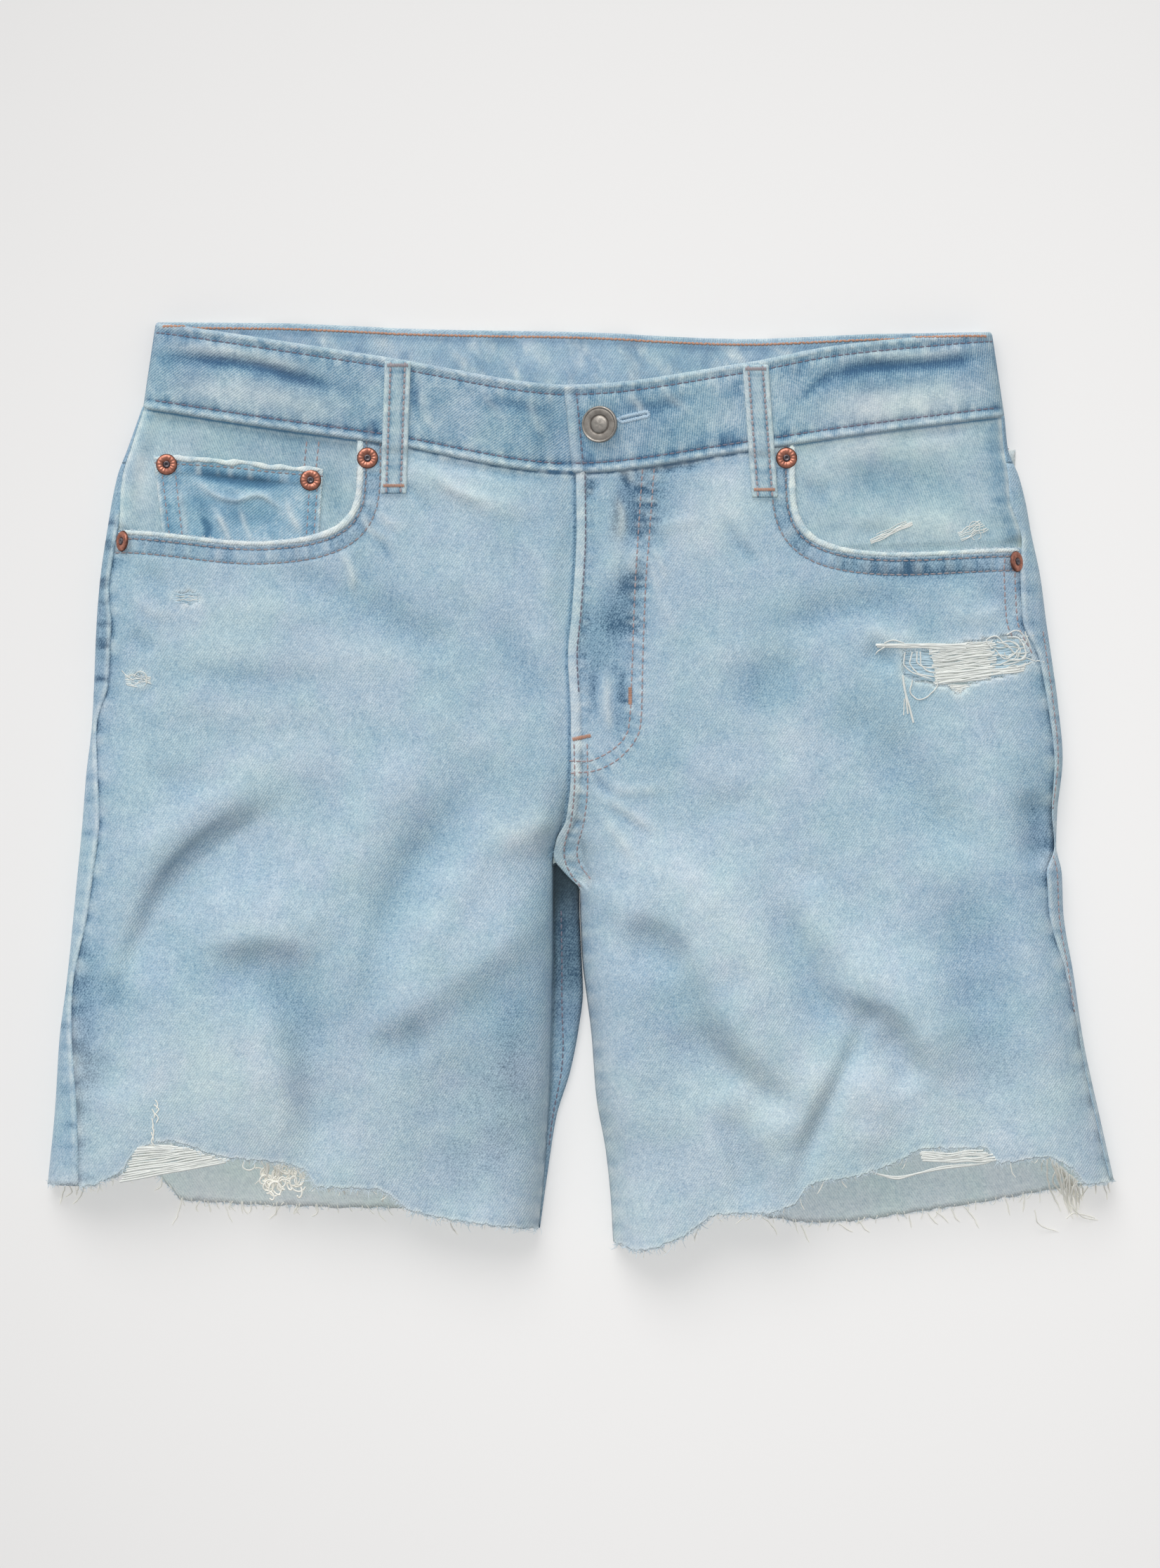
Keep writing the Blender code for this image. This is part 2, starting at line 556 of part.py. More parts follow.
def band_grid(levels):
    """Waistband: one strip from under the tab round the left side, the back and the right side."""
    grid = []
    for level in levels:
        left, left_side = band_side(level, 1)
        right, right_side = band_side(level, -1)
        x = mix(UNDERLAP_X, left + BAND_REACH, stops((0, 0.2, 5), (0.2, 1, 12)))
        drop = UNDERLAP_DROP * ease((x - TAB_TOP_X + UNDERLAP_RAMP) / (UNDERLAP_RAMP - UNDERLAP_REST))
        start = band_front(x, level, drop)
        x = mix(left_side[-1, 0], right_side[-1, 0], np.linspace(0, 1, 26))[1:-1]
        y = read(BAND_BACK, "x", "y", x) - BAND_HEIGHT * level
        back = stack(x, y, lift(x, y))
        x = mix(right - BAND_REACH, mix(TAB_TOP_X, TAB_BOTTOM_X, level), np.linspace(0, 1, 15))
        end = band_front(x, level)
        grid.append(np.concatenate([start, left_side, back, right_side[::-1], end]))
    return np.array(grid)


def loop_grid(top_x, bottom_x, top_y, bottom_y):
    """Front belt loop: over the band and stepped down on to the panel below it."""
    y = mix(top_y, bottom_y, stops((0, 0.5, 3), (0.5, 0.8, 6), (0.8, 1, 2)))
    centre = mix(top_x, bottom_x, (y - top_y) / (bottom_y - top_y))
    half = LEFT if top_x < 0 else RIGHT
    panel = half.top(centre, y)
    over_band = ease((y - waist_seam(centre) + LOOP_STEP_END) / LOOP_STEP)
    z = mix(panel, band_top(centre), over_band) + LOOP_WALL + LOOP_GAP
    across = np.array([-0.5, 0.5]) * LOOP_WIDTH
    x = centre[:, None] + across[None, :]
    return stack(x, np.repeat(y[:, None], 2, axis=1), np.repeat(z[:, None], 2, axis=1))


# ---- solids ----------------------------------------------------------------------------------
def material(name, colour, roughness, metallic=0.0):
    """Plain Principled material."""
    made = bpy.data.materials.new(name)
    made.use_nodes = True
    shader = made.node_tree.nodes["Principled BSDF"]
    shader.inputs["Base Color"].default_value = (*colour, 1.0)
    shader.inputs["Roughness"].default_value = roughness
    shader.inputs["Metallic"].default_value = metallic
    return made


def place(name, mesh, made):
    """Put a mesh in the scene as a named object with its own material."""
    mesh.materials.append(made)
    thing = bpy.data.objects.new(name, mesh)
    bpy.context.scene.collection.objects.link(thing)
    return thing


def cloth(name, grid, wall, colour, flip=False):
    """A sheet through a grid of outer points, given its wall by Solidify."""
    rows, columns = grid.shape[:2]
    faces = []
    for j in range(rows - 1):
        for i in range(columns - 1):
            a = j * columns + i
            quad = (a, a + columns, a + columns + 1, a + 1)
            faces.append(quad[::-1] if flip else quad)
    mesh = bpy.data.meshes.new(name)
    mesh.from_pydata([tuple(p) for p in grid.reshape(-1, 3) * MM], [], faces)
    thing = place(name, mesh, material(name, colour, 0.9))
    wall_maker = thing.modifiers.new("Wall", "SOLIDIFY")
    wall_maker.thickness = wall * MM
    wall_maker.offset = -1.0
    wall_maker.use_even_offset = True
    return thing


def patch(name, corners, wall, colour):
    """A flat patch on the table, wall thick."""
    mesh = bpy.data.meshes.new(name)
    shape = bmesh.new()
    ring = [shape.verts.new((x * MM, y * MM, 0.0)) for x, y in corners]
    raised = bmesh.ops.extrude_face_region(shape, geom=[shape.faces.new(ring)])["geom"]
    moved = [item for item in raised if isinstance(item, bmesh.types.BMVert)]
    bmesh.ops.translate(shape, verts=moved, vec=(0, 0, wall * MM))
    bmesh.ops.recalc_face_normals(shape, faces=shape.faces)
    shape.to_mesh(mesh)
    shape.free()
    return place(name, mesh, material(name, colour, 0.9))


def turned(name, profile, segments, colour, metallic):
    """A closed turned piece from (radius, height) pairs, first and last on the axis."""
    mesh = bpy.data.meshes.new(name)
    shape = bmesh.new()
    ring = [shape.verts.new((r * MM, 0.0, h * MM)) for r, h in profile]
    edges = [shape.edges.new(pair) for pair in zip(ring, ring[1:])]
    bmesh.ops.spin(shape, geom=ring + edges, cent=(0, 0, 0), axis=(0, 0, 1),
                   angle=2 * math.pi, steps=segments, use_merge=True)
    bmesh.ops.remove_doubles(shape, verts=shape.verts, dist=0.00001)
    bmesh.ops.recalc_face_normals(shape, faces=shape.faces)
    shape.to_mesh(mesh)
    shape.free()
    return place(name, mesh, material(name, colour, 0.35, metallic))


def surface_frame(height, x, y, reach):
    """Matrix that seats a round piece of radius reach on a height field."""
    step = 2.0
    slope_x = float(height(x + step, y) - height(x - step, y)) / (2 * step)
    slope_y = float(height(x, y + step) - height(x, y - step)) / (2 * step)
    normal = Vector((-slope_x, -slope_y, 1)).normalized()
    turn = Vector((0, 0, 1)).rotation_difference(normal)
    bulge = 0.0
    for angle in np.linspace(0, 2 * math.pi, 16, endpoint=False):
        arm = turn @ Vector((reach * math.cos(angle), reach * math.sin(angle), 0))
        gap = float(height(x + arm.x, y + arm.y)) - (float(height(x, y)) + arm.z)
        bulge = max(bulge, gap)
    seat = Vector((x, y, float(height(x, y)))) + normal * (REST_GAP + bulge)
    return Matrix.Translation(seat * MM) @ turn.to_matrix().to_4x4()


def build_panels():
    """Fronts, backs, yokes and pocket facings."""
    left_columns = stops((0, 0.06, 2), (0.06, 0.42, 5), (0.42, 0.53, 5), (0.53, 0.9, 5),
                         (0.9, 0.96, 2), (0.96, 0.982, 3), (0.982, 1, 2))
    right_columns = stops((0, 0.06, 2), (0.06, 0.42, 6), (0.42, 0.53, 5), (0.53, 0.88, 6), (0.88, 1, 4))
    facing_columns = stops((0, 0.012, 1), (0.012, 0.15, 3), (0.15, 1, 8))
    for label, half, columns in (("left", LEFT, left_columns), ("right", RIGHT, right_columns)):
        facing_up, facing_down = half.sign < 0, half.sign > 0
        cloth("front_" + label, front_grid(half, columns), WALL, DENIM, flip=facing_up)

        y_side, y_inner = front_levels(half)
        above = np.linspace(YOKE_SIDE_Y - SEAM_GAP, y_side[0], 4)[:-1]
        first = int(np.argmax(y_inner < YOKE_MID_Y - YOKE_SKIP))
        beside = np.linspace(YOKE_MID_Y - SEAM_GAP, y_inner[first], first + 4)[:-1]
        grid = back_grid(half, np.concatenate([above, y_side]),
                         np.concatenate([beside, y_inner[first:]]), half.back_hem)
        cloth("back_" + label, grid, WALL, DENIM, flip=facing_down)

        corner = half.outline(YOKE_TOP_Y)
        side_top = float(min(waist_seam(corner), back_waist_seam(corner))) - SEAM_GAP
        mid_top = float(back_waist_seam(0.0)) - SEAM_GAP
        yoke_side = np.linspace(side_top, YOKE_SIDE_Y, 4)
        grid = back_grid(half, yoke_side, np.linspace(mid_top, YOKE_MID_Y, 4))
        cloth("yoke_" + label, grid, WALL, DENIM, flip=facing_down)

        levels = np.concatenate([yoke_side[:-1], np.linspace(YOKE_SIDE_Y, y_side[0], 4),
                                 [y_side[0] - FACING_LAP]])
        grid = facing_grid(half, levels, facing_columns)
        cloth("pocket_facing_" + label, grid, WALL, DENIM, flip=facing_up)


def build_trim():
    """Coin pocket, zip strip, waistband, belt loops and back pockets."""
    cloth("coin_pocket", coin_grid(6, 9), WALL, DENIM_DEEP)
    x, y = np.meshgrid(np.linspace(*ZIP_X, 4), np.linspace(*ZIP_Y, 7))
    z = np.minimum(LEFT.top(x, y), RIGHT.top(x, y)) - FLY_DROP - WALL - REST_GAP
    cloth("fly_zip", stack(x, y, z), ZIP_WALL, TAPE)
    cloth("waistband", band_grid(np.linspace(0, 1, 4)), BAND_WALL, DENIM, flip=True)
    for label, place_at in FRONT_LOOPS.items():
        cloth("belt_loop_front_" + label, loop_grid(*place_at), LOOP_WALL, DENIM)
    for label, centre in BACK_LOOPS.items():
        (left, low), (right, top) = back_loop_box(centre)
        corners = [(left, low), (right, low), (right, top), (left, top)]
        patch("belt_loop_back_" + label, corners, LOOP_WALL, DENIM)
    patch("back_pocket_left", LEFT_POCKET, POCKET_WALL, DENIM)
    patch("back_pocket_right", RIGHT_POCKET, POCKET_WALL, DENIM)


def button_profile(r):
    """Shank button's cap: rolled rim, sunk ring and low dome."""
    return [(0, 0), (r * 0.9, 0), (r, 0.7), (r, 1.6), (r * 0.93, 2.2), (r * 0.8, 2.3),
            (r * 0.62, 1.8), (r * 0.5, 2.0), (r * 0.28, 2.5), (0, 2.7)]


def rivet_profile(r):
    """Rivet: low cap, dished in the middle."""
    return [(0, 0), (r * 0.92, 0), (r, 0.5), (r * 0.9, 1.2), (r * 0.5, 1.3), (0, 1.0)]


def build_hardware():
    """Shank button and rivets."""
    button = turned("button", button_profile(BUTTON_RADIUS), 20, NICKEL, 0.9)
    button.matrix_world = surface_frame(lambda x, y: band_top(x), *BUTTON_AT, BUTTON_RADIUS)
    for label, (x, y) in RIVETS.items():
        half = LEFT if x < 0 else RIGHT
        face = half.top
        if label.startswith("coin"):
            face = coin_face
        rivet = turned("rivet_" + label, rivet_profile(RIVET_RADIUS), 12, COPPER, 0.9)
        rivet.matrix_world = surface_frame(face, x, y, RIVET_RADIUS)


for old in list(bpy.data.objects):
    bpy.data.objects.remove(old, do_unlink=True)
build_panels()
build_trim()
build_hardware()
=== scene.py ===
"""Cut-off denim shorts lying flat with the fly up: cloth, seams, stitches, trims and frayed threads.

The shorts are two flattened tubes. Back panels lie on the table and wrap round the sides, and front
panels arch over them as a height field. Lengths are in millimetres, and become metres where a mesh
is made. +X is to the viewer's right, +Y runs up to the waistband, +Z is up from the table.
"""
import logging
import math
from dataclasses import dataclass
from enum import Enum
from typing import Callable, NamedTuple, Sequence

import bpy
import numpy as np
from mathutils import Matrix, Vector
from mathutils.bvhtree import BVHTree


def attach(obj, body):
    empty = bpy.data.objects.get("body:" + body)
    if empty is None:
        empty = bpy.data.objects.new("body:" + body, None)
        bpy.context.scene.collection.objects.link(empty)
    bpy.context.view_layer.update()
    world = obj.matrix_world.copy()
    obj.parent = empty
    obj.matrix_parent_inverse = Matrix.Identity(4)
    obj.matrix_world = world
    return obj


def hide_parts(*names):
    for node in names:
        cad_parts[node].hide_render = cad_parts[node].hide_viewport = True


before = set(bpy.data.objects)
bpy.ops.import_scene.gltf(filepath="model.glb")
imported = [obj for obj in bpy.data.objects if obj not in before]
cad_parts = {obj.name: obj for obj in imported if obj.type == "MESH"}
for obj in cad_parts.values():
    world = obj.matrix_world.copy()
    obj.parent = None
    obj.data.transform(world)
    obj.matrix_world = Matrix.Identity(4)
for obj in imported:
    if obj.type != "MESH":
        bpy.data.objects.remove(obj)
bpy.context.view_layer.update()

LOG = logging.getLogger("denim_shorts")

Array = np.ndarray
Point = tuple[float, float]
Rgb = tuple[float, float, float]
Field = Callable[[Array, Array], Array]
Thing = bpy.types.Object
Mesh = bpy.types.Mesh

MM = 0.001
QUARTER = math.pi / 2
CIRCLE = 2 * math.pi
FAR = 99.0            # stands for any distance that no longer counts
WASH_AND_SHADE_TOP = 1.2        # the most that deep, wear or painted shade can be at a point

# ---- cloth and seams, as the imported model has them -------------------------------------------
WALL = 1.2            # one layer of denim
BAND_WALL = 3.0       # waistband, folded and faced
LOOP_WALL = 1.8       # belt loop, folded in three
POCKET_WALL = 1.2
SEAM_GAP = 0.3
LAYER = WALL + 0.6    # from one layer's face to the next one under it
REST_GAP = 0.4        # a piece lying on another
SIDE_RISE = 5.0       # height of the outermost edge of the flattened tube
BOTTOM_ROUND = 5.0
INNER_RISE = 2.5
INNER_ROUND = 3.0
LEG_ROUND = 26.0
LEG_TUCK = 0.8
INNER_RUN = 12.0
MIN_STRIP = 0.2
FLY_TOP_Y = 146.0
SIDE_HEM_Y = -183.0
CROTCH_Y = -47.0
CROTCH_FADE = 60.0
CROTCH_TURN = 12.0
LAP_START = 8.0
FRONT_LAP_Y = -34.0
FRONT_LAP_TURN = 12.0
WRAP_START = 17.0
WRAP_TURN = 8.0
STRIP_TUCK = 1.6      # how far a strip runs on under the edge above it
STRIP_DROP = 1.5
STRIP_DUSK_Y = -130   # painted shade on the strip between the legs begins here
STRIP_DARK_Y = -72    # and the painted shadow turns it nearly black above this
THREAD_REST = 0.3     # how high the middle of a thread lies on the table
FOLD_FLOOR = 4.0      # creases fade out where the cloth is this low
FOLD_RISE = 8.0
BAND_HEIGHT = 37.5
BAND_PROUD = 1.5
TAB_TOP_X = -6.3
TAB_BOTTOM_X = -2.8
UNDERLAP_X = 25.0
UNDERLAP_DROP = 3.5
UNDERLAP_RAMP = 20.0
UNDERLAP_REST = 2.0
FLY_LAP = 6.0
FLY_RAMP = 12.0
FLY_DROP = 2.1
BAND_REACH = 14.0
LOOP_WIDTH = 12.2
LOOP_GAP = 0.7
LOOP_DROP = 24.0
LOOP_STEP = 5.0
LOOP_STEP_END = 6.0
LIFT_FLAT = 14.0
LIFT_RAMP = 10.0
MOUTH_POWER = 5.5
MOUTH_DIP = 1.6
FACING_LAP = 10.0
FACING_FADE = 12.0
TUCK_START = 9.0
TUCK_TURN = 6.0
TUCK_DEPTH = 1.3 * LAYER
YOKE_SKIP = 30.0
YOKE_TOP_Y = 175.0
YOKE_SIDE_Y = 149.0
YOKE_MID_Y = 108.0


class Side(NamedTuple):
    """Silhouette of one side: its x at height y, and how far in the side seam lies."""
    y: float
    outline: float
    inset: float


class Inner(NamedTuple):
    """Inner edge of one leg at y, with the width and the height of the low strip beside it."""
    y: float
    edge: float
    strip: float
    floor: float


class Level(NamedTuple):
    """Height of the upper face over the table, and the width of its round shoulder."""
    y: float
    top: float
    shoulder: float


class Hem(NamedTuple):
    """A line across the garment: y at x."""
    x: float
    y: float


class BandLine(NamedTuple):
    """Waistband edges on the front half."""
    x: float
    top: float
    bottom: float


class Mouth(NamedTuple):
    """Pocket mouth: flat stretch from the side seam, scooped up to the waist seam."""
    side_x: float
    end_x: float
    side_y: float
    low_y: float
    top_y: float


class Crease(NamedTuple):
    """A soft ridge or trough along a smooth line, or with no height a patch of washed tone or painted
    shade.

    deep is how much darker the cloth is along it, partly unfaded dye and partly painted shade on a
    fold's dark side, and wear is how much whiter. With skew the side to the left of its run is wider
    and the other side steeper.
    """
    points: Sequence[Point]
    width: float
    height: float
    deep: float = 0.0
    wear: float = 0.0
    skew: float = 0.0


def table_of(kind: type, *values: tuple) -> list:
    """A table of named rows from plain ones."""
    return [kind(*row) for row in values]


LEFT_SIDE = table_of(
    Side, (-184, -246.5, 15.6), (-148.8, -243, 11), (-117, -241, 6.5), (-91.3, -237.7, 3.5),
    (-60, -234.5, 7), (-44.2, -233, 7.8), (-19.5, -230.6, 8.6), (5.5, -228.6, 5.8), (27.9, -226, 2.6),
    (47.8, -225, 7.4), (72.8, -224, 7.6), (92.6, -222.5, 5), (117.7, -219, 5.4), (142.7, -214.3, 2.6),
    (155.7, -209.5, 1.6), (176, -202.3, 1))
RIGHT_SIDE = table_of(
    Side, (-184, 246.5, 2), (-156.3, 240.3, 2.3), (-117.3, 231.9, 2.3), (-86.1, 227.3, 4.2),
    (-58.2, 222.8, 7.2), (-40.3, 222.1, 7.5), (-27.9, 219.5, 1), (-13.3, 219.9, 2.6), (12.7, 222.5, 4.2),
    (38.7, 220.2, 5.2), (57.5, 217.6, 6.2), (75.1, 215, 11.4), (96.9, 212.1, 9.8), (116.7, 207.9, 5.2),
    (129.7, 205.6, 7.4), (142.7, 202.3, 5.2), (155.7, 197.2, 2), (172, 195.5, 1.6))
LEFT_INNER = table_of(Inner, (-204.4, -19, 0.6, 3), (-181.3, -15.8, 1.5, 3.5), (-153, -11.4, 3.8, 4),
    (-132, -5, 9, 4.2), (-112.8, -1.2, 12.2, 4.5), (-95, 0.9, 14, 4.5), (-82, 0.4, 13.2, 4.5),
    (-70, -0.2, 12.6, 4.5), (-58, -0.7, 12.1, 4.5), (-47, -0.7, 12.1, 4.6), (-40, -0.7, 12.1, 4.5),
    (-33, -0.9, 11.9, 4.5), (-26, -9.4, 2.4, 5.8), (-15.9, -7, 1.8, 6), (6.5, -4.7, 1.8, 6),
    (31.2, -4.7, 1.8, 6), (59.8, -6, 1.8, 6), (80.9, -4.1, 1.8, 6), (118.3, -2.1, 1.8, 6),
    (146, -2.4, 1.8, 6))
RIGHT_INNER = table_of(Inner, (-210.6, 14.8, 0, 1.9), (-191.8, 13.8, 0, 1.9), (-169.3, 11.5, 0, 1.9),
    (-143.3, 7, 0, 1.9), (-114.1, 4.7, 0, 1.9), (-95.2, 2.3, 0, 1.9), (-82, 0.7, 0, 1.9),
    (-70.2, 0, 0, 1.9), (-58, -0.5, 0, 2.2), (-47.8, -0.6, 0.8, 5), (-43.6, -4.4, 6, 5.6),
    (-40, -7.9, 9.4, 6), (-32.9, -12.7, 14.1, 6), (-24.5, -11.2, 11.2, 6), (-15.9, -7, 7, 6),
    (6.5, -4.7, 2, 6), (31.2, -4.7, 0, 6), (59.8, -6, 0, 6), (80.9, -4.1, 0, 6), (118.3, -2.1, 0, 6),
    (146, -2.4, 0, 6))
LEVELS = table_of(Level, (-205, 27, 40), (-140, 29, 44), (-90, 26, 44), (-47, 23.5, 40), (0, 21.5, 36),
    (80, 18.5, 28), (145, 15.8, 18), (176, 14.5, 14))
LEFT_HEM = table_of(Hem, (-246.5, -183), (-229, -184), (-211, -176.8), (-204, -167.5), (-190, -163),
    (-165, -170), (-137, -173), (-127, -176), (-121, -184), (-93, -185.5), (-78, -195), (-55, -200),
    (-19.3, -204.4))
RIGHT_HEM = table_of(Hem, (14.8, -210.6), (26.5, -213.5), (46, -207.3), (63.9, -196.5), (84.7, -196.3),
    (98, -192), (105, -183), (125, -179.4), (142.5, -173.6), (158, -166.5), (185, -166.1), (192, -173),
    (213.7, -170.5), (226, -176), (233, -183.5), (246.5, -182))
LEFT_BACK_HEM = table_of(
    Hem, (-246.5, -183), (-220, -182), (-202, -176.5), (-193.5, -182.3), (-184, -191.5),
    (-150, -193.7), (-91, -195.3), (-35, -195), (-19.3, -204.4))
RIGHT_BACK_HEM = table_of(Hem, (14.8, -207), (39.8, -200.2), (63.9, -196), (108, -202.2), (152, -197.6),
    (217, -187), (246.5, -182))
BAND_FRONT = table_of(BandLine, (-202, 213, 175.2), (-147, 204.8, 166.6), (-90, 196, 158.7),
    (-4, 183.3, 145.3), (75, 193.2, 155), (119, 201.5, 161.5), (196, 208.6, 171.6))
BAND_BACK = table_of(Hem, (-202, 213), (-150, 212.6), (-75, 209.8), (0, 208.2), (77, 205.2), (140, 207.5),
    (196, 208.6))
BAND_LEFT_X = (-196.8, -202.3)
BAND_RIGHT_X = (190.0, 195.5)
LEFT_MOUTH = Mouth(-213.4, -102.8, 117.7, 112.0, 160.4)
RIGHT_MOUTH = Mouth(202.0, 98.2, 109.5, 107.0, 157.6)
LEFT_POCKET = [(-190, 148), (-190, 20), (-131, 0), (-70, 20), (-68, 138)]
RIGHT_POCKET = [(201, 155.5), (196, 20), (134, 0), (72, 20), (70, 138)]
BACK_LOOPS = {"left": -118.0, "mid": 0.0, "right": 114.0}
FRONT_LOOPS = {"left": (-84.3, -86.3, 195.2, 134.4), "right": (80.2, 84.6, 193.6, 132.6)}
COIN_TOP = table_of(Hem, (-197.1, 152.2), (-165, 150.3), (-139.6, 147.6), (-118.8, 146))
COIN_BOTTOM_X = (-191.6, -121.3)
COIN_BOTTOM_Y = 106.0
COIN_WIDTH = 74.0     # along its top

# ---- how far rows of stitches lie from the edges they follow ---------------------------------
BAND_ROW = 3.1
CHAIN_IN = 1.3        # the chain stitch inside the back of the band
TAB_ROW = 4.0
LOOP_ROW = 3.3        # from the middle of a loop
TACK_HALF = 4.6       # half the length of a loop's bar tack
MOUTH_ROWS = (3.9, 10.4)
COIN_ROW = 3.4
PATCH_ROWS = (2.6, 8.4)
ROLL_IN = 1.1         # middle of a pocket mouth's roll

# ---- creases and patches of washed tone and painted shade ------------------------------------
# deep in these creases is partly painted shade on the folds' dark sides and in hollows
LEFT_CREASES = table_of(Crease,
    # the long diagonal fold from the side up to the thigh, steep on its upper side
    ([(-126, -6), (-144, -14), (-164, -27), (-182, -42), (-196, -60), (-206, -84), (-212, -104)], 15,
     -6.2, 0.06, 0, 0.5),
    ([(-158, -12), (-170, -21), (-182, -31), (-193, -44), (-199, -56)], 3.2, -1.7, 0.14, 0, 0.4),
    ([(-140, 14), (-160, -2), (-180, -16), (-198, -34), (-208, -54)], 11, 3.2, 0, 0.1),
    ([(-200, -88), (-210, -112), (-214, -150)], 12, -3, 0.12),
    # a shelf whose lip drops into the dent above the step in the hem
    ([(-180, -72), (-164, -70), (-146, -68), (-130, -70), (-116, -80)], 16, 5.4, 0, 0.2, 0.42),
    ([(-178, -86), (-174, -120), (-170, -152)], 18, 0, 0, 0.14),
    ([(-164, -84), (-146, -90), (-132, -102), (-124, -124), (-121, -150), (-120, -184)], 12, -4.6, 0.24,
     0, 0.2),
    ([(-158, -84), (-150, -100), (-142, -122), (-140, -150), (-141, -180)], 18, 4.4, 0, 0.1, -0.4),
    ([(-136, -94), (-131, -130), (-128, -176)], 9, 0, 0.12),
    # a valley down the middle, steep on its left
    ([(-40, 10), (-62, -18), (-81, -46), (-91, -76), (-98, -112), (-100, -150)], 12, -3.6, 0.12, 0, 0.2),
    ([(-62, 24), (-84, -2), (-100, -28), (-110, -60)], 15, 3.4, 0, 0.1),
    ([(-28, -2), (-50, -34), (-68, -62), (-84, -94)], 12, 3, 0, 0.08),
    # the inner thigh falls away below a broad swell; its deep is painted shade
    ([(-112, -114), (-92, -106), (-64, -90), (-34, -68), (-10, -48)], 22, 6.4, 0, 0.06, 0.4),
    ([(-100, -118), (-84, -120), (-66, -112)], 9, -2.4, 0.2),
    ([(-66, -112), (-56, -155), (-50, -210)], 30, -5, 0.28),
    ([(-34, -84), (-30, -130), (-34, -190)], 13, -1, 0.3),
    ([(-10, -14), (-26, -22), (-42, -28)], 8, 2, 0, 0.4), ([(-217, -84), (-213, -105)], 7, -0.8, 0.3),
    ([(-222, -118), (-224, -144)], 7, -0.8, 0.3),
    ([(-236, -180), (-233, -140), (-229, -100), (-222, -50)], 9, 0, 0.4),
    # hollows and wrinkles between the pocket and the fly
    ([(-160, 97), (-130, 95), (-100, 84), (-60, 65)], 9, -1.5, 0.22),
    ([(-92, 76), (-78, 69), (-56, 63)], 8, -1.5, 0.1), ([(-42, 82), (-26, 56), (-10, 32)], 9, -1.6, 0.25),
    ([(-72, 142), (-55, 125), (-42, 100), (-32, 76)], 9, -1.2),
    ([(-92, 146), (-70, 143), (-45, 131), (-15, 127)], 5.5, 1.1, 0, 0.25),
    ([(-80, 151), (-50, 146), (-12, 140)], 3, -1, 0.12),
    ([(-101, 127), (-97, 118), (-88, 112)], 1.6, 1.1, 0, 0.45),
    ([(-98, 122), (-91, 110), (-86, 100)], 1.8, -0.8, 0.35),
    ([(-70, 146), (-58, 136), (-40, 130)], 2.6, 0.8, 0, 0.15),
    ([(-88, 142), (-74, 132), (-66, 120)], 2.6, -0.8, 0.25),
    ([(-30, 118), (-20, 104), (-12, 84)], 3.4, 0.7, 0, 0.1),
    ([(-112, 110), (-106, 99), (-105, 88)], 1.8, 0.9, 0, 0.45),
    ([(-96, 128), (-88, 121), (-80, 119)], 1.8, 0.7, 0, 0.4),
    ([(-106, 108), (-100, 100), (-98, 90)], 3, -0.6, 0.15), ([(-204, 99), (-188, 90)], 5, -0.9, 0.15),
    ([(-207, 72), (-197, 60)], 4, -1, 0.25), ([(-203, 46), (-198, 40)], 4, -0.8, 0.2),
    ([(-208, 88), (-196, 80), (-186, 82)], 3, 0.5, 0, 0.2),
    # pale bands worn across the thigh
    ([(-205, 68), (-150, 62), (-100, 58), (-60, 64)], 9, 0.6, 0, 0.15),
    ([(-205, 40), (-150, 34), (-110, 38)], 8, 0.5, 0, 0.15),
    ([(-192, 17), (-140, 11), (-100, 15)], 9, 0.6, 0, 0.1),
    ([(-190, 82), (-150, 80), (-115, 78)], 7, 0.3, 0, 0.15),
    ([(-200, 53), (-150, 49), (-110, 50)], 5, -0.5, 0.1),
    ([(-206, 8), (-180, 1), (-150, 3)], 6, -0.8, 0.08),
    ([(-80, 40), (-50, 20), (-20, 12)], 10, 0.8, 0, 0.1),
    ([(-70, 100), (-50, 92), (-30, 90)], 8, 0.6, 0, 0.1))
